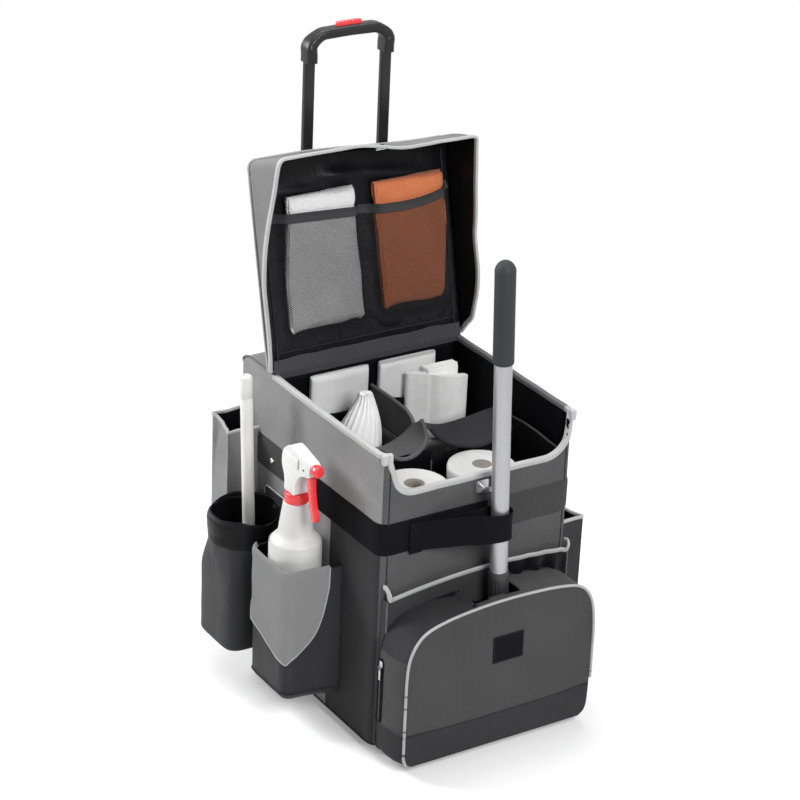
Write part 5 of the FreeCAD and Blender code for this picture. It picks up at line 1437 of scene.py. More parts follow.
@dataclass
class Lid:
    """The hinged lid: a stiff top with a skirt, its lining, net pockets and their cloths."""

    lean: float = 13.3
    drop: float = 99.0
    corner: float = 12.0
    panel: float = 5.0
    cloth_start: float = 62.0
    cloth_length: float = 222.0
    side_bow_left: float = -13.0
    side_bow_right: float = 6.0
    flare_left: float = 11.0
    flare_right: float = 8.0

    def __post_init__(self) -> None:
        """Read the lid's places from the frame."""
        hinge = Box.of("bulkhead")
        self.hinge_y = hinge.y0
        self.half = Box.of("lid_panel").x1
        self.base = Box.of("edge_binding").z1 + 1.5
        self.rear = self.hinge_y - 3.3
        self.front = -8.0
        self.top = self.base + self.panel
        pivot = Vector((0.0, self.hinge_y, self.base))
        turn = Matrix.Rotation(-math.radians(90.0 + self.lean), 4, "X")
        self.open = Matrix.Translation(pivot) @ turn @ Matrix.Translation(-pivot)

    def opened(self, shape: Shape) -> Shape:
        """Turn a shape drawn closed back to where the open lid rests."""
        shape.turn(self.open)
        return shape

    def build(self) -> None:
        """Make every piece of the lid."""
        self.top_panel()
        self.skirt()
        self.edge()
        self.rim_piping()
        self.lining()
        self.eyelet()
        self.cloths()
        self.nets()

    def path(self, inset: float = 0.0) -> list[Spot]:
        """The lid's plan line from the rear left round the front to the rear right."""
        half, front, round_ = self.half - inset, self.front + inset, self.corner - inset
        spots = [(-half, self.rear - (self.rear - front - round_) * index / 24.0, 0.0)
                 for index in range(25)]
        for index in range(1, 8):
            angle = math.pi + math.pi / 2.0 * index / 8.0
            spots.append((-half + round_ + round_ * math.cos(angle),
                          front + round_ + round_ * math.sin(angle), 0.0))
        spots += [((-half + round_) + 2.0 * (half - round_) * index / 30.0, front, 0.0)
                  for index in range(31)]
        for index in range(1, 8):
            angle = -math.pi / 2.0 + math.pi / 2.0 * index / 8.0
            spots.append((half - round_ + round_ * math.cos(angle),
                          front + round_ + round_ * math.sin(angle), 0.0))
        spots += [(half, front + round_ + (self.rear - front - round_) * index / 24.0, 0.0)
                  for index in range(25)]
        return spots

    def edge_height(self, x: float, y: float) -> float:
        """The height of the skirt's free edge over a place, with the lid closed."""
        share = (self.rear - y) / (self.rear - self.front)
        straight = self.base - 3.0 - share * (self.drop - 3.0)
        side = math.sin(math.pi * clamp(share)) ** 1.2
        if x < -self.half + 2.0:
            straight -= self.side_bow_left * side
        elif x > self.half - 2.0:
            straight -= self.side_bow_right * side
            straight -= 28.0 * blend(0.0, 0.09, share) * (1.0 - blend(0.2, 0.55, share))
            straight += 4.0 * bell(share, 0.75, 0.15)
        return straight

    def skirt_spot(self, spot: Spot, t: float, lift: float = 0.0) -> Spot:
        """A spot on the skirt between its free edge and the panel."""
        x, y, _ = spot
        low = self.edge_height(x, y)
        z = low + t * (self.base - low)
        depth = self.base - low
        free = (1.0 - t) ** 1.3 * min(1.0, depth / 60.0)
        nx = blend(self.half - self.corner, self.half, x) - blend(self.corner - self.half,
                                                                  -self.half, x)
        facing = 1.0 - blend(self.front, self.front + self.corner, y)
        share = (self.rear - y) / (self.rear - self.front)
        flare = (self.flare_left if x < 0.0
                 else self.flare_right) * math.sin(math.pi * min(1.0, share)) ** 1.3
        flare += 3.0 * min(1.0, share) * (x < 0.0)
        wave = 1.5 * ripple(x, y, z, 75.0, 4.0) * free + 0.7 * ripple(x, y, z, 30.0, 9.0) * free
        out = (flare * (1.0 - t) ** 1.3 * min(1.0, depth / 30.0) + wave + lift) * nx
        near = 1.0 - blend(self.front, self.front + 60.0, y)
        hang = (self.droop(x, y) - y) * (1.0 - near * (1.0 - t ** 2.5))
        return x + out, y + hang + facing * (self.sag(x) * free + wave - lift), z

    def droop(self, x: float, y: float) -> float:
        """The place along the lid, whose free edge hangs lower on the right when open."""
        share = max(0.0, (self.rear - y) / (self.rear - self.front))
        return y + 14.0 * blend(-120.0, 160.0, x) * share ** 1.5

    @staticmethod
    def sag(x: float) -> float:
        """How far the front skirt's free edge hangs inwards, or outwards if below zero."""
        return -12.0 + 16.5 * blend(-50.0, 65.0, x)

    def top_panel(self) -> None:
        """The stiffened top, a little crowned outside."""
        shape = Shape()
        half, rear, front = self.half, self.rear, self.front
        bend = self.corner

        def place(s: float, t: float) -> Spot:
            """A corner of the panel's outer face."""
            u, v = 2.0 * s - 1.0, t
            y = front + v * (rear - front)
            reach = half
            if y < front + bend:
                reach -= hollow(bend, front + bend - y)
            x = u * reach
            puff = 4.0 * (1.0 - u ** 4) * math.sin(math.pi * min(1.0, v * 0.94 + 0.04)) ** 0.6
            soft = 0.8 * ripple(x, y, 0.0, 90.0, 6.0) * (1.0 - u ** 4)
            return x, self.droop(x, y), self.top + puff + soft

        rows = sorted(set(shares(40)) | {index * 0.006 for index in range(9)})
        shape.sheet(shares(56), rows, place, (2.0 * half * MM, (rear - front) * MM))
        self.opened(shape).finish("lid_top", "lid", dressed(Look.LID, Look.NYLON), "lid_fabric",
                                  ("lid_panel",), wall=self.panel,
                     lining=1, rim=0, outward=OUT_OF_LID)

    def skirt(self) -> None:
        """The skirt along the sides and front: lid cloth outside, dark lining inside."""
        shape = Shape()
        line = self.path()
        columns = len(line) - 1

        def place(s: float, t: float) -> Spot:
            """A corner of the skirt."""
            return self.skirt_spot(line[round(s * columns)], t)

        shape.sheet(shares(columns), shares(14), place, (1.06, 0.1))
        middle = self.open @ Vector((0.0, 165.0, 500.0))
        self.opened(shape).finish("lid_skirt_cloth", "lid", dressed(Look.LID, Look.NYLON),
                                  "lid_fabric", ("lid_skirt",), wall=2.6,
                     lining=1, rim=1, outward=lambda c: Vector((c.x - middle.x, 0.0,
                                                                c.z - middle.z - 20.0)))

    def edge(self) -> None:
        """The pale tape folded over the skirt's free edge."""
        shape = Shape()
        spots = [self.skirt_spot(spot, 0.0) for spot in self.path(1.2)]
        spots = [(x, y, z + 2.6) for x, y, z in spots]
        shape.tape(Line(spots, straight=True), 5.0, 8.6, 1.8, 3, 190)
        self.opened(shape).finish("lid_binding", "lid", dressed(Look.BINDING), "pale_binding",
                                  ("lid_edge_binding",))

    def rim_piping(self) -> None:
        """The thin piping where the top and the skirt are sewn together."""
        shape = Shape()
        line = Line([(x, self.droop(x, y), self.top - 1.0) for x, y, _ in self.path(-0.9)],
                    straight=True)
        shape.cord(line, 2.0, 8, 190)
        self.opened(shape).finish("lid_piping", "lid", dressed(Look.PIPING), "pale_binding")

    def lining(self) -> None:
        """The loose dark lining under the top, creased where it is pulled by its pockets."""
        shape = Shape()
        half, rear, front = self.half - 3.4, self.rear - 2.0, self.front + 3.4

        def place(s: float, t: float) -> Spot:
            """A corner of the lining's face, which looks into the bag."""
            u = 2.0 * s - 1.0
            y = front + t * (rear - front)
            x = u * half
            edge = blend(half - 12.0, half - 32.0, abs(x)) * min(1.0, 9.0 * t, 9.0 * (1.0 - t))
            tent = 9.0 * bell(y, 34.0, 13.0) * bell(x, -30.0, 28.0)
            tent += 6.0 * math.exp(-((y - 52.0 - (x + 110.0) * 0.04) / 10.0) ** 2) * bell(x, -105.0,
                                                                                          60.0)
            tent += 7.0 * math.exp(-((y - 44.0 - (x - 90.0) * 0.10) / 14.0) ** 2) * bell(x, 70.0,
                                                                                         75.0)
            tent += 5.0 * bell(y, 24.0, 8.0) * bell(x, -150.0, 20.0)
            pull = 3.0 * fold(x, y * 0.6, 0.0, 80.0, 1.0) * bell(y, 300.0, 55.0)
            soft = 1.3 * ripple(x, y, 0.0, 60.0, 8.0) + 0.6 * ripple(x, y, 0.0, 22.0, 3.0)
            lift = (tent + pull + soft + 1.0) * max(0.0, edge)
            return x, self.droop(x, y), self.base - 0.4 - 0.8 * edge - lift

        shape.sheet(shares(110), shares(100), place, (2.0 * half * MM, (rear - front) * MM))
        piece = self.opened(shape).finish("lid_lining", "lid", dressed(Look.NYLON), "lid_fabric",
                                          wall=0.8,
                             outward=INTO_LID)
        2.02 * half * MM
        1.02 * (rear - front) * MM
        shape = Shape()
        for x in (-half + 12.0, half - 12.0):
            shape.cord(Line([(x, self.droop(x, y), self.base - 3.4)
                             for y in (12.0, 90.0, 170.0, 250.0, rear - 6.0)]),
                       1.5, 6, 60)
        shape.cord(Line([(-half + 12.0 + index * (2.0 * half - 24.0) / 8.0, rear - 26.0,
                          self.base - 3.6)
                         for index in range(9)]), 1.5, 6, 60)
        self.opened(shape).finish("lid_lining_seams", "lid", dressed(Look.SEAM), "black_fabric")

    def eyelet(self) -> None:
        """The metal plate round the latch's slot, near the front skirt's edge."""
        x = Box.of("latch_knob").middle[0]
        shape = Shape()
        near = self.front + self.sag(x) * 0.84 + 1.2
        for y in (near - 1.4, near + 4.6):
            outer = [(x + a, y, 452.0 + b) for a, b in pad_section(19.5, 15.0, 3.0, 4)]
            inner = [(x + a, y, 452.5 + b) for a, b in pad_section(10.0, 7.0, 2.6, 4)]
            rings = [[shape.bm.verts.new(Vector(spot)) for spot in ring] for ring in (outer, inner)]
            edges = []
            for ring in rings:
                edges += [shape.bm.edges.new((ring[index], ring[(index + 1) % len(ring)]))
                          for index in range(len(ring))]
            bmesh.ops.bridge_loops(shape.bm, edges=edges)
        bmesh.ops.solidify(shape.bm, geom=shape.bm.faces[:], thickness=1.0)
        self.opened(shape).finish("eyelet_plate", "lid", dressed(Look.CHROME), "steel",
                                  ("lid_eyelet",), crease=30.0)

    def cloths(self) -> None:
        """The two folded microfibre cloths behind the net."""
        self.folded("grey_cloth_fold", "grey_cloth", Look.WHITE_MICRO, "grey_microfibre", 1.0,
                    (6.0, 0.0), 0.0)
        self.folded("orange_cloth_fold", "orange_cloth", Look.ORANGE_MICRO, "orange_microfibre",
                    5.0, (0.0, 6.0), 11.0)

    def folded(self, name: str, node: str, look: Look, slot: str, seed: float,
               taper: tuple[float, float],
               raised: float) -> None:
        """A folded cloth: a soft flat roll with the edges of its layers on one side.

        Args:
            name: The piece's name.
            node: The node that it stands for.
            look: Its finish.
            slot: The record's material slot.
            seed: A number that makes its folds its own.
            taper: How much narrower each side is at the far end and at the hinge's end.
            raised: How much further from the hinge its near end lies.
        """
        shape = Shape()
        box = Box.of(node)
        rear, length = self.hinge_y - self.cloth_start - raised, self.cloth_length - raised
        thick = 21.0
        top = self.base - 2.2

        def place(s: float, t: float) -> Spot:
            """A corner of the cloth's closed surface, drawn with the lid closed."""
            y = rear - length * t
            angle = TURN * s
            squeeze = bell(t, 0.83, 0.05)
            low = box.x0 + 7.0 + taper[0] * 2.0 * blend(0.3, 1.0, t) + 1.5 * squeeze
            high = box.x1 + 7.0 - taper[1] * 2.0 * blend(0.6, 0.0, t) - 3.0 * squeeze
            middle, wide = (low + high) / 2.0, (high - low) / 2.0
            c, n = math.cos(angle), math.sin(angle)
            round_end = 1.0 - 0.03 * blend(0.06, 0.0, t) - 0.05 * blend(0.03, 0.0, t)
            wide *= round_end
            tip = min(1.0, math.sqrt(min(1.0, 16.0 * t + 0.05)),
                      math.sqrt(min(1.0, 40.0 * (1.0 - t) + 0.25)))
            full = thick / 2.0 * (0.94 + 0.12 * bell(t, 0.93, 0.05)
                                  - 0.20 * squeeze + 0.06 * math.sin(math.pi * t))
            full *= tip
            x = middle + wide * math.copysign(abs(c) ** 0.35, c)
            y -= (8.0 * ripple(x, 0.0, 0.0, 45.0, seed) + 4.0 * (c * c - 0.5)) * blend(0.12, 0.0,
                                                                                       t) * -1.0
            down = full * math.copysign(abs(n) ** 0.55, n)
            layer = 1.5 * math.sin(down * 1.9 + seed) * (abs(c) ** 6)
            drape = (2.6 * ripple(x, y * 0.25, 0.0, 30.0, seed)
                     + 1.2 * ripple(x, y, 0.0, 15.0, seed)
                     + 5.0 * max(0.0, ripple(x, y * 0.12, 0.0, 21.0, seed + 2.0))) * (n < 0.0)
            x += layer * math.copysign(1.0, c) + 2.2 * ripple(0.0, y, c * 40.0, 60.0, seed)
            step = 4.5 * blend(0.55, 0.62, (x - low) / (high - low)) * blend(0.85, 1.0,
                                                                             t) * (0.3 if n > 0.0
                                                                                   else -0.6)
            return x, y - step, top - thick / 2.0 + down + drape * 0.8 * min(1.0, 8.0 * (1.0 - t))

        shape.sheet(shares(80), shares(90), place, (0.26, 0.24), join=True)
        shape.fill(shape.bm.faces)
        shape.triangulate()
        piece = self.opened(shape).finish(name, "lid", dressed(look), slot, (node,), crease=180.0)

    def nets(self) -> None:
        """The net pockets over both cloths and the elastic along their tops."""
        grey, orange = Box.of("grey_cloth"), Box.of("orange_cloth")
        shape = Shape()
        rear = self.hinge_y - 34.0
        left, right = -self.half + 9.0, self.half - 8.0
        heights = Line([(left, 220.0, 0.0), (-120.0, 217.0, 0.0), (-18.0, 211.0, 0.0),
                        (40.0, 207.0, 0.0),
                        (100.0, 206.0, 0.0), (150.0, 213.0, 0.0), (right, 224.0, 0.0)])

        def length_at(x: float) -> float:
            """The net's length over a place, as its elastic sags."""
            return heights.at((x - left) / (right - left)).y

        def depth(x: float, t: float) -> float:
            """How far the net stands off the lining."""
            over = 0.0
            for box in (grey, orange):
                share = (x - box.x0 - 7.0) / (box.x1 - box.x0)
                over = max(over, blend(-0.09, 0.06, share) * blend(-0.09, 0.06, 1.0 - share))
            inside = blend(self.half - 10.0, self.half - 24.0, abs(x))
            return 1.2 + 2.8 * inside + 21.5 * over * blend(0.04, 0.22, t)

        def place(s: float, t: float) -> Spot:
            """A corner of the net."""
            x = left + (right - left) * s
            y = rear - length_at(x) * t
            loose = 0.9 * ripple(x, y, 0.0, 28.0, 2.0) + 0.5 * ripple(x, y, 0.0, 12.0, 6.0)
            return x, y, self.base - depth(x, t) - loose

        length = 214.0
        shape.sheet(shares(120), shares(60), place, ((right - left) * MM, length * MM))
        net = self.opened(shape).finish("lid_net", "lid", dressed(Look.NET), "mesh",
                                        ("lid_mesh_pocket",),
                           outward=INTO_LID)
        1.18 * (right - left) * MM
        1.1 * (right - left) * length * MM * MM
        shape = Shape()
        walk = [left + (right - left) * index / 60.0 for index in range(61)]
        spots = [(x, rear - length_at(x) + 1.0, self.base - depth(x, 1.0) - 0.6) for x in walk]
        shape.tape(Line(spots), 2.4, 15.5, 1.0, 2, 150, up=(0.0, 1.0, 0.0))
        self.opened(shape).finish("net_elastic", "lid", dressed(Look.ELASTIC), "black_fabric")


@dataclass
class PullHandle:
    """The telescopic handle's tubes, its moulded grip and the release button."""

    def __post_init__(self) -> None:
        """Read the handle's places from the frame."""
        self.box = Box.of("handle_grip")
        self.button = Box.of("release_button")
        tubes = Box.of("handle_tubes")
        self.spread = (tubes.x1 - tubes.x0) / 2.0 - 9.5
        self.bottom = self.box.z0

    def build(self) -> None:
        """Make the grip and dress the tubes."""
        dress_node("handle_tubes", Look.TUBE)
        self.grip()
        self.release()
        self.screws()

    def grip(self) -> None:
        """The arched grip with a deep socket round each tube."""
        shape = Shape()
        _, y, _ = self.box.middle
        low, high = self.bottom, self.box.z1 - 14.0
        out = self.spread
        spots = [(-out, y, low), (-out, y, low + 12.0), (-out - 0.5, y, low + 24.0),
                 (-out + 5.0, y, high - 11.0),
                 (-out + 21.0, y, high - 1.5), (-out + 42.0, y, high), (0.0, y, high + 0.6),
                 (out - 42.0, y, high),
                 (out - 21.0, y, high - 1.5), (out - 5.0, y, high - 11.0),
                 (out + 0.5, y, low + 24.0),
                 (out, y, low + 12.0), (out, y, low)]
        line = Line(spots)

        def section(share: float) -> list[tuple[float, float]]:
            """A rounded section, wider at the sockets than along the bar."""
            near = min(share, 1.0 - share)
            flare = 1.0 - blend(0.10, 0.24, near)
            wide = 17.5 + 1.5 * flare
            tall = 25.5 + 6.0 * flare - 2.0 * bell(near, 0.135, 0.012)
            return pad_section(wide, tall, 7.0, 5)

        rows = sorted(set(shares(110)) | {0.002, 0.006, 0.994, 0.998})
        shape.sweep(line, section, up=(0.0, 1.0, 0.0), stations=rows)
        shape.finish("grip_arch", "pull_handle", dressed(Look.GRIP), "grip_rubber", ("handle_grip",
                     ), crease=50.0)

    def release(self) -> None:
        """The red button set in the grip's top."""
        box = self.button
        shape = Shape()
        shape.slab((box.x0, box.y0, box.z0), (box.x1, box.y1, box.z1), 2.2, 4)
        for index in range(5):
            x = box.x0 + 11.0 + 6.0 * index
            shape.slab((x - 0.8, box.y0 + 1.4, box.z1 - 0.4), (x + 0.8, box.y1 - 1.4, box.z1 + 0.5),
                       0.4, 2)
        shape.finish("button_cap", "handle_button", dressed(Look.RED), "red_plastic",
                     ("release_button",))

    def screws(self) -> None:
        """The small screw heads on the grip's sockets."""
        shape = Shape()
        front = self.box.middle[1] - 8.0
        profile = [(0.0, 1.4), (1.5, 1.3), (2.2, 0.8), (2.4, 0.0), (2.4, -1.0)]
        turn = Matrix.Rotation(math.pi / 2.0, 4, "X")
        for side in (-1.0, 1.0):
            spot = Vector((side * self.spread, front - 1.0, self.bottom + 15.0))
            shape.stud(profile, 16, Matrix.Translation(spot) @ turn)
        shape.finish("grip_screws", "pull_handle", dressed(Look.STEEL), "steel")


@dataclass
class FrontPocket:
    """The flat pocket across the front wall, with its bound mouth."""

    gather_from: float = 28.0

    def __post_init__(self) -> None:
        """Read the pocket's place from the frame."""
        box = Box.of("front_pocket")
        self.half, self.depth, self.low = box.x1, -box.y0, box.z0
        self.left_top, self.top, self.right_top = box.z1 - 14.0, box.z1 + 4.5, box.z1 - 5.0

    def build(self) -> None:
        """Make the pocket."""
        self.panel()
        self.binding()

    def mouth(self, x: float) -> float:
        """The height of the mouth over a place across the bag."""
        share = (x + self.half) / (2.0 * self.half)
        straight = self.left_top + (self.right_top - self.left_top) * share
        arch = (self.top - (self.left_top + self.right_top) / 2.0) * 4.0 * share * (1.0 - share)
        return straight + arch

    def face(self, x: float, z: float) -> float:
        """How far forward the pocket's face stands at a place."""
        high = blend(self.low + 60.0, self.mouth(x), z)
        puff = 2.0 * math.sin(math.pi * clamp((x + self.half) / (2.0 * self.half)))
        gather = blend(self.gather_from, self.gather_from + 22.0, x) * blend(self.half,
                                                                             self.half - 14.0, x)
        pleat = math.sin(x / 5.6 + 0.9 * ripple(x, 0.0, z, 40.0, 2.0) + (self.mouth(x) - z) / 46.0)
        calm = 1.0 - 0.8 * blend(self.mouth(x) - 22.0, self.mouth(x) - 5.0, z)
        folds = (3.4 * pleat + 1.6 * ripple(x, 0.0, z, 17.0, 5.0)) * gather * high * calm
        return self.depth + puff * high + folds + 0.6 * ripple(x, 0.0, z, 60.0, 3.0) * high

    def panel(self) -> None:
        """The pocket's cloth: a face with narrow sides and a floor."""
        shape = Shape()
        half, depth = self.half, self.depth

        def place(s: float, t: float) -> Spot:
            """A corner of the pocket's face."""
            x = -half + 2.0 * half * s
            z = self.low + (self.mouth(x) - 3.0 - self.low) * t
            return x, -self.face(x, z), z

        def side(sign: float) -> Callable[[float, float], Spot]:
            """The rule for one narrow side."""
            def spot(s: float, t: float) -> Spot:
                """A corner of the side."""
                z = self.low + (self.mouth(sign * half) - 3.0 - self.low) * t
                return sign * half, -self.face(sign * half, z) * s - 1.0 * (1.0 - s), z
            return spot

        columns = shares(116)
        rows = shares(40)
        front = shape.sheet(columns, rows, place, (0.35, 0.27))
        for face in front:
            middle = face.calc_center_median()
            if middle.x > self.gather_from + 8.0 and middle.z > 210.0:
                face.material_index = 2
        for sign in (-1.0, 1.0):
            shape.sheet(shares(4), rows, side(sign), (0.014, 0.27))
        shape.sheet(columns, shares(3), lambda s,
                    t: (-half + 2.0 * half * s, -1.0 - (depth - 1.0) * t, self.low))
        bmesh.ops.remove_doubles(shape.bm, verts=shape.bm.verts[:], dist=0.05)
        shape.finish("pocket_panel", "bag", dressed(Look.POCKET, Look.DEEP, Look.NYLON, Look.DEEP),
                     "grey_fabric",
                     ("front_pocket",), wall=1.8, lining=1, crease=55.0, outward=FORWARD)

    def binding(self) -> None:
        """The tape on the mouth, turned up in a small loop at each end, and the side seams."""
        half = self.half
        shape = Shape()
        steps = 60
        spots = [(-half + 2.5, -2.5, self.left_top + 18.0),
                 (-half + 2.0, -9.0, self.left_top + 19.0),
                 (-half + 3.5, -self.depth - 2.0, self.left_top + 11.0),
                 (-half + 6.0, -self.depth - 2.2, self.left_top + 1.0)]
        for index in range(2, steps - 1):
            x = -half + 2.0 * half * index / steps
            z = self.mouth(x) - 3.4
            spots.append((x, -self.face(x, z) + 0.9, z))
        spots += [(half - 4.0, -self.depth - 1.6, self.right_top - 3.0),
                  (half - 0.5, -self.depth - 1.6, self.right_top + 5.0),
                  (half + 2.0, -9.0, self.right_top + 9.0),
                  (half + 1.5, -2.5, self.right_top + 8.0)]
        shape.tape(Line(spots, steps=4), 4.6, 8.0, 1.6, 2, 190, up=(0.0, -0.35, 1.0))
        shape.finish("pocket_tape", "bag", dressed(Look.BINDING), "pale_binding",
                     ("front_pocket_binding",))
        lines = [Line([(x, -self.depth - 1.0, 215.0 + (top - 218.0) * index / 4.0)
                       for index in range(5)])
                 for x, top in ((half - 1.0, self.right_top), (-half + 1.0, self.left_top))]
        corded("pocket_side_piping", Look.THIN_PIPING, "pale_binding", lines, 1.4, 6, 24)


@dataclass
class FrontBag:
    """The deep bag on the front pocket, with piping, a mouth for the mop and a zipped side."""

    crown: float = 6.5
    skid_top: float = 75.0
    tuck: float = 11.0
    mouth_left: float = -45.0
    mouth_right: float = 46.0

    def __post_init__(self) -> None:
        """Read the bag's place from the frame."""
        box = Box.of("front_bag")
        self.front, self.back, self.half = box.y0, box.y1, box.x1
        self.low, self.high = box.z0, box.z1
        h, low, high = self.half, self.low, self.high
        self.outline = Line([
            (0.0, 0.0, low), (-150.0, 0.0, low), (-h + 14.0, 0.0, low + 1.5),
                             (-h + 2.0, 0.0, low + 12.0),
            (-h, 0.0, low + 40.0), (-h, 0.0, low + 105.0), (-h + 1.0, 0.0, low + 176.0),
                             (-h + 9.0, 0.0, high - 50.0),
            (-h + 30.0, 0.0, high - 24.0), (-115.0, 0.0, high - 11.0), (-60.0, 0.0, high - 3.5),
                             (0.0, 0.0, high),
            (60.0, 0.0, high - 0.5), (112.0, 0.0, high - 4.0), (h - 33.0, 0.0, high - 13.0),
            (h - 11.0, 0.0, high - 36.0), (h - 1.0, 0.0, high - 76.0), (h + 1.0, 0.0, low + 120.0),
            (h + 1.0, 0.0, low + 48.0), (h - 2.0, 0.0, low + 14.0), (h - 14.0, 0.0, low + 1.5),
                             (150.0, 0.0, low)],
            closed=True)

    def build(self) -> None:
        """Make the bag and its trims."""
        self.shell()
        self.piping()
        self.patch()
        self.zip_track()
        self.slider()

    def bulge(self, x: float, z: float) -> float:
        """How far the filled front stands proud at a place."""
        u = min(1.0, abs(x) / self.half)
        v = min(1.0, abs(z - 140.0) / 136.0)
        soft = 0.8 * ripple(x, 0.0, z, 95.0, 7.0) + 0.35 * ripple(x, 0.0, z, 34.0, 4.0)
        return (self.crown + soft) * (1.0 - u ** 3.5) * (1.0 - v ** 3.5)

    def shell(self) -> None:
        """The front, the sides with the mouth in their top, and the back."""
        shape = Shape()
        columns = shares(200)
        ring = [self.outline.at(s) for s in columns]
        ring[-1] = ring[0]
        middle = Vector((0.0, 0.0, 150.0))

        def panel(y: float, puff: float) -> Callable[[float, float], Spot]:
            """The rule for the front or the back."""
            def spot(s: float, t: float) -> Spot:
                """A corner of the panel."""
                at_ = middle.lerp(ring[round(s * 200)], t)
                x = at_.x + self.tuck * blend(0.0, -self.half, at_.x) * puff
                return x, y - puff * self.bulge(at_.x, at_.z) * (1.0 - t ** 9), at_.z
            return spot

        def side(s: float, t: float) -> Spot:
            """A corner of the sides."""
            at_ = ring[round(s * 200)]
            out = (at_ - middle).normalized()
            puff = 1.6 * math.sin(math.pi * t) + 0.9 * ripple(at_.x, t * 60.0, at_.z, 50.0,
                                                              5.0) * math.sin(math.pi * t)
            sag = 0.0
            if self.mouth_left - 50.0 < at_.x < self.mouth_left and at_.z > 200.0:
                sag = 7.0 * blend(self.mouth_left - 50.0, self.mouth_left, at_.x) * t
            shift = self.tuck * blend(0.0, -self.half, at_.x) * (1.0 - t) ** 3
            y = self.front + (self.back - self.front) * t
            return at_.x + out.x * puff + shift, y, at_.z + out.z * puff - sag

        shape.sheet(columns, shares(18), panel(self.front, 1.0), (0.4, 0.3), join=True)
        shape.sheet(columns, shares(14), side, (1.3, 0.07), join=True)
        shape.sheet(columns, shares(6), panel(self.back, 0.0), (0.4, 0.3), join=True)
        bmesh.ops.remove_doubles(shape.bm, verts=shape.bm.verts[:], dist=0.05)
        shape.cut((0.0, 0.0, self.skid_top), (0.0, 0.0, 1.0))

        def open_mouth(c: Vector) -> bool:
            """Whether a face lies in the mouth."""
            near = self.front + 12.0 + 6.0 * math.sin(math.pi * (c.x - self.mouth_left) / 91.0)
            inside = self.mouth_left < c.x < self.mouth_right and c.z > 235.0
            return inside and near < c.y < self.back - 0.5

        shape.drop(open_mouth)
        for face in shape.bm.faces:
            centre = face.calc_center_median()
            face.material_index = 1 if centre.z < self.skid_top else 0
            # Painted shade: the top of the sides left of the mouth takes the darker pouch cloth in
            # place of the bag's own cloth.
            if centre.x < self.mouth_left + 6.0 and centre.z > 205.0 and abs(face.normal.y) < 0.5:
                face.material_index = 4
        shape.finish("front_bag_shell", "bag",
                     dressed(Look.BAG, Look.SKID, Look.DEEP, Look.DEEP, Look.POUCH, Look.DEEP),
                     "grey_fabric", ("front_bag",), wall=1.6, lining=2, crease=50.0,
                     outward=lambda c: (c - Vector((0.0, -48.0, 150.0))))
        shape = Shape()
        half = self.half - 1.5
        spots = [(-half + 2.0 * half * index / 40.0, 0.0, self.skid_top) for index in range(41)]
        spots = [(x, self.front - self.bulge(x, z) - 0.1, z) for x, _, z in spots]
        left = [(-self.half + 0.5, self.back - 2.0), (-self.half - 0.7, -50.0),
                (-self.half + 0.6, self.front + 1.0)]
        right = [(self.half, self.front + 1.0), (self.half + 2.5, -50.0),
                 (self.half + 1.0, self.back - 2.0)]
        left, right = ([(x, y, self.skid_top) for x, y in ends] for ends in (left, right))
        shape.tape(Line(left + spots[1:-1] + right), 1.4, 2.6, 0.6, 2, 220)
        shape.finish("skid_seam", "bag", dressed(Look.SEAM), "black_fabric")

    def piping(self) -> None:
        """The pale piping up the front's sides and over its arch, and a dark seam at the pocket."""
        ring = [self.outline.at(s) for s in shares(90)][:-1]
        middle = Vector((0.0, 0.0, 150.0))
        arch = [spot for spot in ring if (spot.x < -150.0 and spot.z > self.low + 4.0)
                or spot.z > self.high - 60.0
                or (spot.x > 150.0 and spot.z > self.low + 60.0)]
        front = [tuple(spot + (spot - middle).normalized() * 1.6
                       + Vector((self.tuck * blend(0.0, -self.half, spot.x), self.front - 1.2,
                                 0.0))) for spot in arch]
        corded("bag_piping", Look.PIPING, "pale_binding", [Line(front, steps=4)], 2.4, 10, 260)
        back = [tuple(spot + (spot - middle).normalized() * 0.8
                      + Vector((0.0, self.back - 0.5, 0.0)))
                for spot in ring]
        corded("bag_back_seam", Look.SEAM, "black_fabric", [Line(back, closed=True, steps=4)], 1.3,
               6, 200)

    def patch(self) -> None:
        """The bare sewn patch on the front."""
        x0, x1, z0, z1 = -16.0, 42.0, 170.0, 217.0

        def on(x: float, z: float, lift: float) -> Spot:
            """A spot over the front's cloth."""
            return x, self.front - self.bulge(x, z) - lift, z

        shape = Shape()
        shape.sheet(shares(16), shares(14), lambda s,
                    t: on(x0 + (x1 - x0) * s, z0 + (z1 - z0) * t, 1.2))
        shape.finish("front_patch", "bag", dressed(Look.WEBBING), "black_fabric", wall=1.0,
                     outward=FORWARD)
        shape = Shape()
        corners = [(x0 + 1.6, z0 + 1.6), (x1 - 1.6, z0 + 1.6), (x1 - 1.6, z1 - 1.6),
                   (x0 + 1.6, z1 - 1.6)]
        for (xa, za), (xb, zb) in zip(corners, corners[1:] + corners[:1]):
            count = round(math.hypot(xb - xa, zb - za) / 3.0)
            for index in range(count):
                a, b = (index + 0.15) / count, (index + 0.85) / count
                start, end = (on(xa + (xb - xa) * k, za + (zb - za) * k, 1.35) for k in (a, b))
                shape.cord(Line([start, end], steps=2), 0.35, 4, 2)
        shape.finish("patch_stitching", "bag", dressed(Look.ELASTIC), "black_fabric")

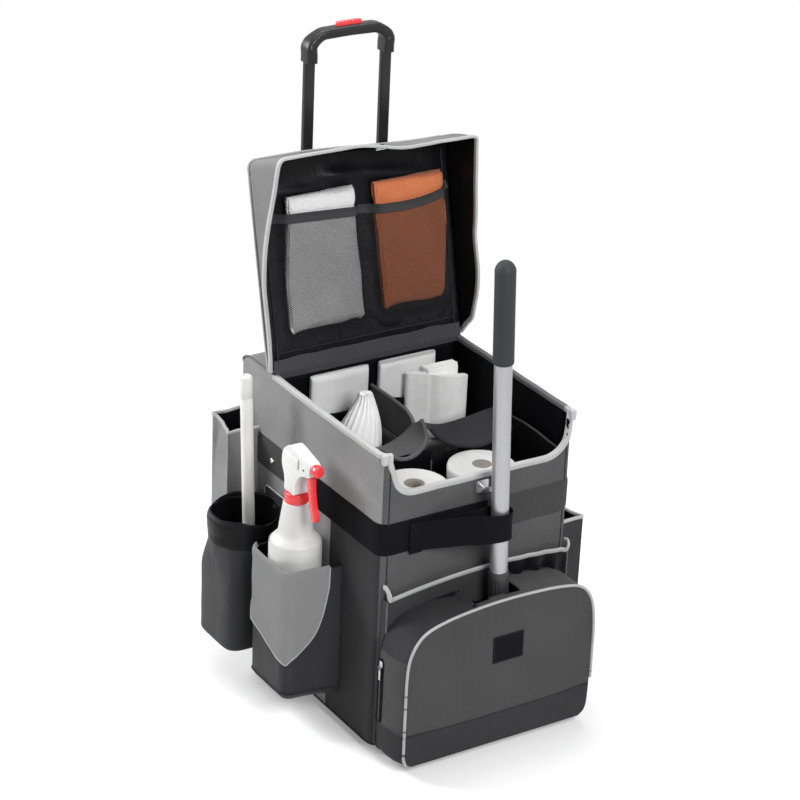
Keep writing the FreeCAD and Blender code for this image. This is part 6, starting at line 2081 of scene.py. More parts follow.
    def zip_track(self) -> None:
        """The oval tape and the teeth of the zip in the left side."""
        top, low, y = Box.of("zip_slider").z1 + 4.0, 76.0, Box.of("zip_slider").middle[1]
        x = -self.half - 0.6
        shape = Shape()
        outline = []
        for centre, start in ((top - 7.5, 0.0), (low + 7.5, math.pi)):
            for index in range(9):
                angle = start + math.pi * index / 8.0
                outline.append((x, y + 7.5 * math.cos(angle), centre + 7.5 * math.sin(angle)))
        shape.plate(outline, (-1.2, 0.0, 0.0), 0.4, 1)
        shape.finish("zip_tape", "bag", dressed(Look.WEBBING), "black_fabric")
        shape = Shape()
        count = int((top - low - 12.0) / 2.6)
        for index in range(count):
            z = low + 7.0 + 2.6 * index
            step = 0.5 if index % 2 else -0.5
            shape.slab((x - 2.3, y - 1.9 + step, z), (x - 0.9, y + 1.9 + step, z + 1.5), 0.0)
        shape.finish("zip_teeth", "bag", dressed(Look.HARD_BLACK), "black_plastic")

    def slider(self) -> None:
        """The zip's slider and its pull."""
        box = Box.of("zip_slider")
        _, y, _ = box.middle
        shape = Shape()
        shape.slab((box.x0 + 0.7, box.y0, box.z1 - 11.0), (box.x1, box.y1, box.z1), 1.2, 2)
        shape.slab((box.x0, y - 1.6, box.z1 - 9.0), (box.x0 + 1.4, y + 1.6, box.z1 - 2.5), 0.6, 2)
        ring = [(box.x0 - 0.3, y + 2.2 * math.cos(TURN * k / 12),
                 box.z1 - 12.5 + 5.0 * math.sin(TURN * k / 12))
                for k in range(12)]
        shape.cord(Line(ring, closed=True, steps=3), 0.6, 6, 30)
        shape.slab((box.x0 - 1.0, y - 2.6, box.z1 - 34.0), (box.x0 + 0.3, y + 2.6, box.z1 - 17.0),
                   0.5, 2)
        shape.finish("zip_pull", "zip", dressed(Look.STEEL), "steel", ("zip_slider",))


@dataclass
class Mop:
    """The mop handle in the front bag and the strap that holds it."""

    x: float = 14.0
    lean: float = 2.45
    pivot: float = 357.0
    strap_height: float = 51.0

    def __post_init__(self) -> None:
        """Read the handle's place from the frame."""
        self.tube, self.grip_box = Box.of("mop_tube"), Box.of("mop_grip")
        self.y = self.tube.middle[1]
        shift = Matrix.Translation(Vector((self.x, self.y, self.pivot)))
        self.leaned = shift @ Matrix.Rotation(math.radians(-self.lean), 4, "Y") @ shift.inverted()

    def build(self) -> None:
        """Make the grip, the socket and the strap, and dress the tube."""
        dress_node("mop_tube", Look.ALUMINIUM)
        self.grip()
        self.socket()
        self.strap()
        self.strap_patch()

    def grip(self) -> None:
        """The soft grip with fine ribs and a domed end."""
        shape = Shape()
        low, high, radius = 676.0, self.grip_box.z1 - 0.6, 17.0
        profile = [(14.6, low + 0.5), (16.0, low), (16.9, low + 1.6)]
        count = int((high - 20.0 - low) / 2.0)
        for index in range(count):
            z = low + 3.0 + 2.0 * index
            profile.append((radius - (0.0 if index % 2 else 0.45) - 0.25 * math.sin(index / 34.0),
                            z))
        top = profile[-1][1]
        for index in range(1, 13):
            angle = math.pi / 2.0 * index / 12.0
            profile.append((radius * math.cos(angle) if index < 12 else 0.0,
                            top + (high - top) * math.sin(angle)))
        shape.lathe(profile, (self.x, self.y), 40)
        shape.turn(self.leaned)
        shape.finish("mop_grip_ribbed", "mop_handle", dressed(Look.MOP_GRIP), "grip_rubber",
                     ("mop_grip",), crease=60.0)

    def socket(self) -> None:
        """The fluted socket under the tube and the shank below it."""
        shape = Shape()
        box = Box.of("mop_connector")
        low = box.z0 + 0.3
        profile = [(0.0, low), (9.0, low), (11.0, low + 2.0), (11.0, 150.0), (11.0, 224.0),
                   (12.5, 228.0)]
        profile += [(16.2, 230.0 + 0.5 * k) for k in range(3)] + [(16.8, 232.0 + 6.5 * k)
                                                                  for k in range(11)]
        profile += [(17.0, 299.0), (17.0, 308.0), (16.4, 310.6), (14.6, 311.0)]
        shape.lathe(profile, (self.x, self.y), 96, wave=lambda a, r, z: (
            0.45 * math.cos(16.0 * a) * blend(231.0, 240.0, z) * blend(300.0, 292.0, z)))
        shape.turn(self.leaned)
        shape.finish("mop_socket", "mop_handle", dressed(Look.HARD_BLACK), "black_plastic",
                     ("mop_connector",),
                     crease=50.0)

    def strap(self) -> None:
        """The wide webbing strap, looped round the tube and closed on itself."""
        line = Line([(-130.0, -3.4, 0.0), (-112.0, -5.2, 0.0), (-92.0, -12.0, 0.0),
                     (-52.0, -32.0, 0.0),
                     (-9.0, -57.5, 0.0), (14.0, -63.4, 0.0), (27.2, -58.2, 0.0), (32.4, -45.0, 0.0),
                     (27.0, -31.8, 0.0), (10.0, -26.0, 0.0), (-20.0, -24.5, 0.0),
                     (-52.0, -15.0, 0.0),
                     (-90.0, -5.0, 0.0)], steps=12)
        half = self.strap_height / 2.0

        def place(s: float, t: float) -> Spot:
            """A corner of the strap."""
            at_ = line.at(s)
            rise = 384.0 + 12.0 * blend(-130.0, 20.0, at_.x)
            ahead = line.heading(s)
            out = Vector((ahead.y, -ahead.x, 0.0))
            bow = 0.9 * ripple(at_.x, at_.y, t * 70.0, 60.0, 3.0) - 1.2 * (2.0 * t - 1.0) ** 2
            narrow = 1.0 - 0.06 * blend(0.35, 0.5, s)
            flat = Vector((at_.x, at_.y, 0.0)) - out * bow * 0.8
            return flat.x, flat.y, rise + half * narrow * (2.0 * t - 1.0)

        shape = Shape()
        shape.sheet(shares(110), shares(14), place, (line.length * MM, self.strap_height * MM))
        piece = shape.finish("mop_strap_web", "bag", dressed(Look.WEBBING), "black_fabric",
                             ("mop_strap",), wall=1.8,
                             crown=1, outward=lambda c: FORWARD(c) if c.y < -40.0 else Vector())
        line.length * MM

    def strap_patch(self) -> None:
        """The sewn end of the strap on the band."""
        shape = Shape()
        shape.slab((-130.0, -6.6, 357.0), (-106.0, -4.2, 411.0), 0.9, 2)
        for x in (-127.5, -109.0):
            shape.cord(Line([(x, -6.7, 359.0 + 7.1 * k) for k in range(8)]), 0.4, 5, 20)
        shape.finish("strap_end", "bag", dressed(Look.WEBBING), "black_fabric")


@dataclass
class BrushPouch:
    """The round pouch at the left rear with its rolled cuff, and the brush that stands in it."""

    wall: float = 2.2
    cuff: float = 50.0
    lean: float = 2.1
    pivot: float = 380.0

    def __post_init__(self) -> None:
        """Read the pouch's place from the frame."""
        box, head = Box.of("brush_pouch"), Box.of("brush_head")
        _, self.y, _ = box.middle
        self.radius = (box.y1 - box.y0) / 2.0
        self.x = box.x0 + self.radius
        self.low, self.top = box.z0 - 11.0, Box.of("brush_pouch_collar").z1
        self.head = head
        self.side = -Box.of("right_wall").x1

    def build(self) -> None:
        """Make the pouch and the brush."""
        self.shell()
        self.rolled_cuff()
        self.back_tab()
        self.brush()

    def shell(self) -> None:
        """The pouch's cloth, a little squashed and wrinkled."""
        shape = Shape()
        profile = [(0.0, self.low), (self.radius - 10.0, self.low),
                   (self.radius - 4.0, self.low + 1.0),
                   (self.radius - 1.0, self.low + 4.0), (self.radius - 0.2, self.low + 10.0)]
        rows = 46
        profile += [(self.radius, self.low + 12.0 + (self.top - 6.0 - self.low - 12.0) * k / rows)
                    for k in range(rows + 1)]

        def wave(angle: float, radius: float, z: float) -> float:
            """The cloth's wander in and out."""
            if radius < 20.0:
                return 0.0
            c, n = math.cos(angle) * 60.0, math.sin(angle) * 60.0
            soft = 1.6 * ripple(c, n, z, 85.0, 4.0) - 1.3 * fold(c, n, z * 0.45, 55.0, 2.0)
            square = (abs(c / 60.0) ** 5 + abs(n / 60.0) ** 5) ** (-1.0 / 5.0) - 1.0
            square *= self.radius * (1.0 - blend(self.low + 120.0, self.top - 40.0, z))
            return (soft - 0.6) * blend(self.low, self.low + 30.0, z) + square

        shape.lathe(profile, (self.x, self.y), 72, wave=wave)
        shape.finish("brush_pouch_cloth", "bag", dressed(Look.POUCH, Look.NYLON, Look.NYLON),
                     "black_fabric",
                     ("brush_pouch",), wall=self.wall, lining=1, crease=55.0,
                     outward=away_from(self.x, self.y))
        seam = Line([(self.x + self.radius - 0.5, self.y - 8.0, self.low + 14.0 + 20.0 * k)
                     for k in range(8)])
        corded("brush_pouch_seam", Look.SEAM, "black_fabric", [seam], 1.0, 6, 40)

    def rolled_cuff(self) -> None:
        """The wide cuff turned down outside, wrinkled where it was rolled."""
        shape = Shape()
        low = self.top - self.cuff
        inner = self.radius - 3.2
        profile = [(inner, low + 4.0 + 11.0 * k) for k in range(5)]
        profile += [(inner + 1.2, self.top - 1.2), (inner + 3.4, self.top),
                    (self.radius + 1.4, self.top - 1.6)]
        profile += [(self.radius + 2.0, self.top - 5.0 - 5.0 * k) for k in range(9)]
        profile += [(self.radius + 1.4, low + 1.0), (self.radius + 0.2, low - 0.4)]

        def wave(angle: float, radius: float, z: float) -> float:
            """Short creases round the cuff."""
            c, n = math.cos(angle) * 60.0, math.sin(angle) * 60.0
            high = blend(low, self.top - 10.0, z)
            crease = 2.6 * ripple(c * 0.6, n * 0.6, z * 2.4, 24.0, 9.0) + 1.6 * ripple(c, n, z,
                                                                                       50.0, 3.0)
            return max(-2.0, crease * (0.5 + 0.7 * high) - 0.4)

        def height(c: Vector) -> Vector:
            """Let the rolled edge rise and fall."""
            angle = math.atan2(c.y - self.y, c.x - self.x)
            share = blend(low, self.top, c.z)
            return Vector((c.x, c.y,
                           c.z + share * (3.0 * math.sin(2.0 * angle + 0.6)
                                          + 2.0 * math.sin(5.0 * angle)
                                               + 1.5 * ripple(c.x, c.y, 0.0, 18.0, 2.0))))

        shape.lathe(profile, (self.x, self.y), 96, wave=wave)
        shape.warp(height)
        shape.finish("brush_pouch_cuff", "bag", dressed(Look.NYLON), "black_fabric",
                     ("brush_pouch_collar",),
                     wall=0.8, crown=1, crease=70.0, outward=lambda c: (
                         Vector((c.x - self.x, c.y - self.y, 0.0)) if c.z < self.top - 8.0
                                                                        else Vector()))

    def back_tab(self) -> None:
        """The pouch's back panel on the wall, edged with thin piping."""
        shape = Shape()
        x, top = self.side - 0.4, self.top + 17.0
        outline = [(-34.0, self.top - 90.0), (34.0, self.top - 90.0), (34.0, top - 6.0),
                   (28.0, top),
                   (-28.0, top), (-34.0, top - 6.0)]
        shape.plate([(x, self.y + y, z) for y, z in outline], (-3.6, 0.0, 0.0), 0.9, 2)
        shape.finish("pouch_back_tab", "bag", dressed(Look.POUCH), "black_fabric")
        edge = [(-34.0, self.top - 30.0), (-34.0, top - 6.0), (-28.0, top), (28.0, top),
                (34.0, top - 6.0),
                (34.0, self.top - 30.0)]
        line = Line([(x - 4.0, self.y + y, z) for y, z in edge], straight=True)
        corded("pouch_tab_piping", Look.PIPING, "pale_binding", [line], 1.5, 8, 60)

    def brush(self) -> None:
        """The brush's white wand with its end cap, and its bristled head."""
        wand = Box.of("brush_wand")
        centre = (-238.0, self.y)
        shift = Matrix.Translation(Vector((-238.0, self.y, self.pivot)))
        leaned = shift @ Matrix.Rotation(-math.radians(self.lean), 4, "Y") @ shift.inverted()
        shape = Shape()
        top, low = wand.z1 - 0.4, self.head.z1 - 4.0
        profile = [(0.0, low), (9.0, low),
                   (10.4, low + 2.0)] + [(10.4, low + 2.0 + (top - 42.0 - low) * k / 8.0)
                                                                for k in range(1, 9)]
        profile += [(10.0, top - 39.4), (10.0, top - 38.6), (10.5, top - 38.0), (10.5, top - 4.0),
                    (9.6, top - 1.4),
                    (7.5, top - 0.2), (6.4, top - 0.4), (5.9, top - 2.0), (0.0, top - 2.4)]
        shape.lathe(profile, centre, 36)
        shape.turn(leaned)
        shape.finish("brush_wand_tube", "brush", dressed(Look.WHITE_PLASTIC), "white_plastic",
                     ("brush_wand",))
        shape = Shape()
        radius = (self.head.y1 - self.head.y0) / 2.0 - 1.2
        low, top = self.head.z0 + 1.0, self.head.z1 - 1.0
        rows = 16
        profile = [(0.0, low)]
        for index in range(rows + 1):
            t = index / rows
            profile.append((radius * (math.sin(math.pi * (0.10 + 0.80 * t)) ** 0.42),
                            low + (top - low) * t))
        profile.append((0.0, top))
        shape.lathe(profile, centre, 80, wave=lambda a, r,
                    z: 1.1 * math.sin(26.0 * a + z / 2.3) * (r > 12.0))
        shape.turn(leaned)
        shape.finish("brush_bristles", "brush", dressed(Look.BRISTLE), "bristle", ("brush_head",),
                     crease=60.0)


@dataclass
class BottlePouch:
    """The square pouch on the left wall with its pale flap turned out."""

    corner: float = 20.0
    wall: float = 2.0
    slant: float = 13.0

    def __post_init__(self) -> None:
        """Read the pouch's place from the frame."""
        box = Box.of("bottle_pouch")
        self.out, self.side, self.front, self.rear = box.x0, box.x1, box.y0, box.y1
        self.low, self.top = box.z0, box.z1
        self.flap = Box.of("bottle_pouch_flap")

    def build(self) -> None:
        """Make the pouch, its flap and its piping."""
        self.shell()
        self.turned_flap()

    def plan(self, grow: float = 0.0, corner: Optional[float] = None) -> Line:
        """The pouch's plan line from the wall at the front round to the wall at the rear."""
        round_ = (corner if corner else self.corner) + grow
        out, front, rear = self.out - grow, self.front - grow, self.rear + grow
        spots = [(self.side + (out + round_ - self.side) * k / 8.0,
                  front - self.slant * (1.0 - k / 8.0) ** 1.3, 0.0)
                 for k in range(9)]
        spots += [(out + round_ - round_ * math.sin(math.pi * k / 16.0),
                   front + round_ - round_ * math.cos(math.pi * k / 16.0),
                   0.0) for k in range(1, 8)]
        spots += [(out, front + round_ + (rear - front - 2.0 * round_) * k / 8.0, 0.0)
                  for k in range(9)]
        spots += [(out + round_ - round_ * math.cos(math.pi * k / 16.0),
                   rear - round_ + round_ * math.sin(math.pi * k / 16.0),
                   0.0) for k in range(1, 8)]
        spots += [(out + round_ + (self.side - out - round_) * k / 8.0, rear, 0.0)
                  for k in range(9)]
        return Line(spots, straight=True)

    def swell(self, x: float, y: float, z: float) -> float:
        """How far the cloth stands out at a place."""
        high = math.sin(math.pi * clamp((z - self.low) / (self.top - self.low)))
        loose = 1.6 * ripple(x, y, z * 0.7, 80.0, 6.0) * (0.4 + 0.6 * high)
        return loose - 0.8 * fold(x, y, z * 0.5, 60.0, 3.0) * high

    def shell(self) -> None:
        """The pouch's cloth walls and floor."""
        shape = Shape()
        line = self.plan()
        middle = Vector((self.side - 20.0, (self.front + self.rear) / 2.0, 0.0))
        rows = [0.0, 0.012, 0.03, 0.06] + [0.06 + 0.94 * k / 40.0 for k in range(1, 41)]

        def place(s: float, t: float) -> Spot:
            """A corner of the walls, drawn in at the floor."""
            spot, ahead = line.at(s), line.heading(s)
            out = Vector((-ahead.y, ahead.x, 0.0)) * -1.0
            if out.dot(spot - middle) < 0.0:
                out = -out
            z = self.low + (self.top - 1.0 - self.low) * t
            tuck = 7.0 * (1.0 - min(1.0, t / 0.06)) ** 2
            hold = min(1.0, 8.0 * min(s, 1.0 - s))
            droop = 3.0 * math.sin(math.pi * s) * t ** 3
            lean = spot + out * (self.swell(spot.x, spot.y, z) * hold - tuck * hold)
            return lean.x, lean.y, z - droop

        walls = shape.sheet(shares(84), rows, place, (line.length * MM, 0.236))
        base = [vert for vert in {v for f in walls for v in f.verts} if vert.co.z < self.low + 0.01]
        edges = [edge for edge in shape.bm.edges if all(vert in base for vert in edge.verts)]
        grown = bmesh.ops.extrude_edge_only(shape.bm, edges=edges)
        inner = [item for item in grown["geom"] if isinstance(item, bmesh.types.BMVert)]
        for vert in inner:
            vert.co = Vector((self.side, vert.co.y * 0.5 + (self.front + self.rear) / 4.0,
                              self.low))
        shape.finish("bottle_pouch_cloth", "bag", dressed(Look.POUCH, Look.DEEP, Look.SEAM),
                     "black_fabric",
                     ("bottle_pouch",), wall=self.wall, lining=1, rim=2, crease=55.0,
                     outward=away_from(middle.x, middle.y))
        shape = Shape()
        for y in (self.front - self.slant + 1.0, self.rear - 1.0):
            shape.cord(Line([(self.side - 3.0, y, self.low + 6.0 + 32.0 * k) for k in range(8)]),
                       1.7, 6, 40)
        ends = [self.plan(0.6).at(s) for s in shares(60)]
        shape.cord(Line([(p.x, p.y, self.low + 12.0) for p in ends], straight=True), 0.9, 6, 120)
        shape.finish("bottle_pouch_seams", "bag", dressed(Look.SEAM), "black_fabric")

    def turned_flap(self) -> None:
        """The flap: a pale pointed cloth folded out over the rim and round the front corner."""
        line = self.plan(1.9, self.corner)
        total = line.length
        first = (self.side - self.out - 74.0) / total
        last = first + (74.0 + 112.0 + 6.0) / total
        tip = first + (74.0 - 2.0) / total
        top = self.top + 1.6

        def edge(s: float) -> float:
            """The lower edge's height along the pouch."""
            if s < tip:
                share = (tip - s) / (tip - first)
                return self.flap.z0 + 3.0 * blend(0.0, 0.12,
                                                  share) + 62.0 * share + 72.0 * share ** 6
            share = (s - tip) / (last - tip)
            rise = self.flap.z0 + 3.0 * blend(0.0, 0.12, share) + 36.0 * min(1.0, share * 1.2)
            return rise + 30.0 * blend(0.86, 1.0, share)

        middle = Vector((self.side - 30.0, (self.front + self.rear) / 2.0, 0.0))

        def place(s: float, t: float) -> Spot:
            """A corner of the flap, which rolls over the rim at its top."""
            share = first + (last - first) * s
            spot, ahead = line.at(share), line.heading(share)
            out = Vector((ahead.y, -ahead.x, 0.0))
            if out.dot(spot - middle) < 0.0:
                out = -out
            low = edge(share)
            drop = 7.0 * s * (1.0 - s) * 4.0 * 0.35
            if t < 0.86:
                z = low + (top - drop - low) * t / 0.86
                off = self.swell(spot.x, spot.y, z) + 1.3 * (1.0 - t) ** 3
                off += 0.7 * ripple(spot.x, spot.y, z, 45.0, 8.0)
                off += 1.4 * bell(t, 0.80, 0.07)
                taper = 5.0 * (1.0 - t) ** 1.2 * (blend(0.88, 1.0, s) - blend(0.12, 0.0, s) * 0.6)
            else:
                angle = (t - 0.86) / 0.14
                z = top - drop + 2.6 * math.sin(math.pi * min(1.0, angle * 1.3))
                z -= 9.0 * max(0.0, angle - 0.5)
                off = self.swell(spot.x, spot.y, top) - 7.0 * angle
                taper = 0.0
            lean = spot + out * (off + 0.6) - ahead * taper * 0.5
            return lean.x, lean.y, z

        shape = Shape()
        rows = [0.86 * k / 40.0 for k in range(41)] + [0.86 + 0.14 * k / 10.0 for k in range(1, 11)]
        shape.sheet(shares(90), rows, place, (0.19, 0.18))
        piece = shape.finish("bottle_flap", "bag", dressed(Look.FLAP), "pale_flap",
                             ("bottle_pouch_flap",), wall=1.5,
                             crown=1, outward=away_from(middle.x, middle.y))
        (last - first) * total * MM
        0.75 * (last - first) * total * MM * 0.186
        spots = [place(s, 0.012) for s in shares(60)]
        left = [place(1.0, 0.05 + 0.8 * k / 12.0) for k in range(12)]
        right = [place(0.0, 0.85 - 0.8 * k / 12.0) for k in range(12)]
        corded("flap_hem", Look.PIPING, "pale_binding", [Line(right + spots + left, steps=3)], 1.15,
               6, 260)


@dataclass
class SprayBottle:
    """The trigger spray bottle: body, screw collar, head, trigger and nozzle."""

    def __post_init__(self) -> None:
        """Read the bottle's place from the frame."""
        self.box, self.collar_box = Box.of("spray_bottle"), Box.of("sprayer_collar")
        self.x, self.y, _ = self.box.middle
        self.radius = (self.box.x1 - self.box.x0) / 2.0
        self.base = self.collar_box.z1

    def build(self) -> None:
        """Make every piece of the bottle."""
        self.body()
        self.collar()
        self.head()
        self.trigger()
        self.nozzle()

    def body(self) -> None:
        """The blown body: a round shoulder under a long cone."""
        low, r = self.box.z0, self.radius - 0.2
        knots = [(0.0, low + 4.0), (r - 14.0, low + 3.0), (r - 7.0, low), (r - 1.5, low + 3.0),
                 (r, low + 9.0),
                 (r, low + 60.0), (r, low + 140.0), (r, 316.0), (r - 0.6, 322.0), (r - 3.0, 328.5),
                 (r - 7.6, 334.0),
                 (r - 12.2, 339.0), (r - 14.6, 345.0), (r - 15.6, 352.0), (r - 18.2, 370.0),
                 (r - 20.6, 386.0),
                 (r - 21.6, 392.5), (r - 22.6, 395.6), (16.0, 396.4), (15.5, 399.0), (15.0, 412.0)]
        line = Line([(a, 0.0, b) for a, b in knots], steps=5)
        profile = [(max(0.0, spot.x), spot.z) for spot in line.points]
        profile[0] = (0.0, low + 4.0)
        shape = Shape()
        shape.lathe(profile, (self.x, self.y), 64)
        shape.finish("bottle_body", "bottle", dressed(Look.BOTTLE), "white_plastic",
                     ("spray_bottle",), crease=60.0,
                     outward=away_from(self.x, self.y))

    def collar(self) -> None:
        """The ribbed red screw collar."""
        box = self.collar_box
        r = (box.x1 - box.x0) / 2.0
        profile = [(15.4, box.z0 + 0.4), (r - 0.8, box.z0 + 0.2), (r - 0.1, box.z0 + 1.2),
                   (r - 0.2, box.z0 + 3.0)]
        profile += [(r - 0.4, box.z0 + 4.0 + 2.0 * k) for k in range(6)]
        profile += [(r - 1.0, box.z1 - 2.2), (r - 2.6, box.z1 - 0.7), (12.0, box.z1 - 0.2),
                    (0.0, box.z1 - 0.2)]

        def ribs(a: float, _: float, z: float) -> float:
            """The ribs round the collar, which fade at its ends."""
            rib = 0.35 * math.cos(30.0 * a) * blend(box.z0 + 3.0, box.z0 + 5.0, z)
            return rib * blend(box.z1 - 2.0, box.z1 - 4.0, z)

        shape = Shape()
        shape.lathe(profile, (self.x, self.y), 120, wave=ribs)
        shape.finish("bottle_collar", "bottle", dressed(Look.RED), "red_plastic", ("sprayer_collar",
                     ), crease=50.0)

    def profile_plate(self, points: Sequence[tuple[float, float]], half: float, edge: float,
                      shape: Shape) -> list:
        """Extrude a side outline across the bottle's middle and round its edges."""
        line = Line([(self.x - half, self.y + y, self.base + z) for y, z in points], closed=True,
                    steps=3)
        return shape.plate([tuple(spot) for spot in line.points[:-1]], (2.0 * half, 0.0, 0.0), edge,
                           3)

    def head(self) -> None:
        """The white sprayer head: a neck that widens into a hood, with side panels and a pin."""
        shape = Shape()
        hood = [(-14.6, 0.4), (0.0, 0.3), (14.6, 0.4), (15.4, 10.0), (19.0, 24.0), (25.0, 36.0),
                (27.0, 45.0),
                (26.0, 58.0), (22.0, 68.0), (13.0, 76.0), (4.0, 78.6), (-8.0, 77.4), (-28.0, 73.8),
                (-46.0, 70.6),
                (-52.5, 68.6), (-54.0, 62.0), (-54.0, 50.0), (-51.0, 46.4), (-38.0, 43.0),
                (-27.0, 38.0),
                (-19.0, 28.0), (-15.6, 14.0)]
        self.profile_plate(hood, 13.2, 3.6, shape)

        def taper(c: Vector) -> Vector:
            """Narrow the hood towards its nose and round its top."""
            ahead = blend(0.0, -54.0, c.y - self.y)
            high = blend(60.0, 79.0, c.z - self.base)
            scale = 1.0 - 0.20 * ahead - 0.10 * high
            neck = blend(26.0, 6.0, c.z - self.base)
            return Vector((self.x + (c.x - self.x) * (scale + 0.10 * neck), c.y, c.z))

        shape.warp(taper)
        for sign in (-1.0, 1.0):
            x = self.x + sign * 11.9
            shape.slab((min(x, x + sign * 1.6), self.y - 22.0, self.base + 48.0),
                       (max(x, x + sign * 1.6), self.y + 17.0, self.base + 66.0), 0.75, 2)
        shape.finish("sprayer_hood", "bottle", dressed(Look.WHITE_PLASTIC), "white_plastic",
                     ("sprayer_head",),
                     crease=48.0)
        shape = Shape()
        for sign in (-1.0, 1.0):
            spot = Vector((self.x + sign * 11.3, self.y - 37.0, self.base + 54.0))
            shape.stud([(0.0, 1.0), (1.3, 0.9), (1.7, 0.3), (1.7, -1.0)], 14,
                       Matrix.Translation(spot) @ Matrix.Rotation(sign * math.pi / 2.0, 4, "Y"))
        shape.finish("sprayer_pins", "bottle", dressed(Look.HARD_BLACK), "black_plastic")

    def trigger(self) -> None:
        """The red trigger, wide at its pivot and curved to a rounded tip."""
        shape = Shape()
        lever = [(-34.5, 46.0), (-36.0, 53.0), (-42.0, 55.0), (-48.0, 52.0), (-50.5, 42.0),
                 (-51.0, 26.0), (-53.5, 10.0),
                 (-58.6, -8.0), (-64.4, -22.0), (-64.4, -27.0), (-60.6, -29.0), (-57.0, -26.0),
                 (-50.0, -8.0),
                 (-45.0, 8.0), (-41.0, 26.0), (-37.0, 38.0)]
        self.profile_plate(lever, 5.4, 1.7, shape)
        self.profile_plate([(-34.0, 26.0), (-41.0, 34.0), (-45.0, 14.0), (-41.0, 6.0),
                            (-36.0, 14.0)], 2.0, 0.8, shape)
        shape.finish("trigger_lever", "bottle_trigger", dressed(Look.RED), "red_plastic",
                     ("trigger",), crease=50.0)

    def nozzle(self) -> None:
        """The round red nozzle with a fluted edge."""
        box = Box.of("nozzle")
        shape = Shape()
        r = (box.x1 - box.x0) / 2.0 - 0.2
        span = 13.0
        profile = [(0.0, 1.2), (1.4, 1.2), (1.9, 0.2), (r - 2.0, 0.0), (r - 0.7, 0.5), (r, 1.8),
                   (r, 4.0), (r, 7.0),
                   (r, span - 2.0), (r - 0.6, span - 0.4), (r - 2.0, span), (6.6, span),
                   (6.6, span + 5.0), (0.0, span + 5.0)]
        shape.lathe(profile, (0.0, 0.0), 72, wave=lambda a, r,
                    z: 0.35 * math.cos(12.0 * a) * blend(1.5, 4.0, z) * (
            blend(span - 0.5, span - 3.0, z)))
        _, _, z = box.middle
        shape.turn(Matrix.Translation(Vector((self.x, box.y0 + 0.2, z)))
                   @ Matrix.Rotation(-math.pi / 2.0, 4, "X"))
        shape.finish("nozzle_cap", "bottle_nozzle", dressed(Look.RED), "red_plastic", ("nozzle",),
                     crease=50.0)


class Side(Enum):
    """The two sides of the bag, by the sign of their x."""

    LEFT = -1.0
    RIGHT = 1.0


@dataclass
class SidePocket:
    """A gusseted pocket on a side wall, with its bound mouth."""

    side: Side
    node: str
    front_top: float
    rear_top: float
    pull: float
    look: Look

    def build(self) -> None:
        """Make the pocket's cloth and its piping."""
        box = Box.of(self.node)
        sign = self.side.value
        wall = sign * Box.of("right_wall").x1
        out = box.x1 if sign > 0.0 else box.x0
        y0, y1, low = box.y0, box.y1, box.z0
        plan = Line([(wall, y0, 0.0), (out, y0, 0.0), (out, y1, 0.0), (wall, y1, 0.0)],
                    straight=True)
        depth = abs(out - wall)
        span = plan.length
        middle = Vector((wall, (y0 + y1) / 2.0, (low + box.z1) / 2.0))

        def top(y: float) -> float:
            """The mouth's height at a depth."""
            share = (y - y0) / (y1 - y0)
            straight = self.front_top + (self.rear_top - self.front_top) * share
            return straight - 5.0 * 4.0 * share * (1.0 - share) * self.pull

        def place(s: float, t: float) -> Spot:
            """A corner of the pocket's walls."""
            spot = plan.at(s)
            z = low + (top(spot.y) - 2.4 - low) * t
            face = blend(0.0, 0.06, s - depth / span) * blend(0.0, 0.06, 1.0 - depth / span - s)
            soft = face * (3.2 * ripple(spot.x, spot.y, z, 110.0, 5.0)
                           - 2.6 * fold(0.0, spot.y + 0.5 * z, 0.4 * z, 90.0, 3.0))
            end = min(s, 1.0 - s)
            gusset = (1.0 - face) * min(1.0,
                                        5.0 * end) * 4.0 * t * math.sin(math.pi * end
                                                                        / (depth / span))
            push = sign * (soft - (2.0 + self.pull * 3.0) * face * t ** 3)
            nip = gusset * (1.0 if spot.y < (y0 + y1) / 2.0 else -1.0)
            hold = min(1.0, t * 9.0)
            return spot.x + push * hold, spot.y + (nip if s < depth / span
                                                   or s > 1.0 - depth / span else 0.0), z

        corners = sorted(set(shares(96)) | {depth / span, 1.0 - depth / span})
        shape = Shape()
        shape.sheet(corners, shares(44), place, (span * MM, (box.z1 - low) * MM))
        floor = [(wall, y0, low), (out, y0, low), (out, y1, low), (wall, y1, low)]
        shape.bm.faces.new([shape.bm.verts.new(Vector(spot)) for spot in floor])
        shape.finish(self.node + "_cloth", "bag", dressed(self.look, Look.DEEP, Look.SEAM),
                     "grey_fabric", (self.node,),
                     wall=1.9, lining=1, rim=2, crease=50.0,
                     outward=lambda c: Vector((sign, 0.0, 0.0)) + (c - middle) * 0.02)
        shape = Shape()
        spots = [place(s, 1.0) for s in corners]
        spots = [(x, y, z + 1.6) for x, y, z in spots]
        shape.tape(Line(spots, straight=True), 4.8, 5.6, 1.7, 2, 190)
        shape.finish(self.node + "_binding", "bag", dressed(Look.BINDING), "pale_binding",
                     ("side_pocket_bindings",) if self.side is Side.RIGHT else ())


@dataclass
class SidePockets:
    """The narrow pocket at the left rear and the long one on the right."""

    def build(self) -> None:
        """Make both pockets."""
        left, right = Box.of("left_side_pocket"), Box.of("right_side_pocket")
        SidePocket(Side.LEFT, "left_side_pocket", left.z1 - 11.0, left.z1 + 5.5, 0.6,
                   Look.SHELL_PAINTED_LIGHT).build()
        SidePocket(Side.RIGHT, "right_side_pocket", right.z1 + 5.5, right.z1 + 5.5, 1.0,
                   Look.SHADE).build()


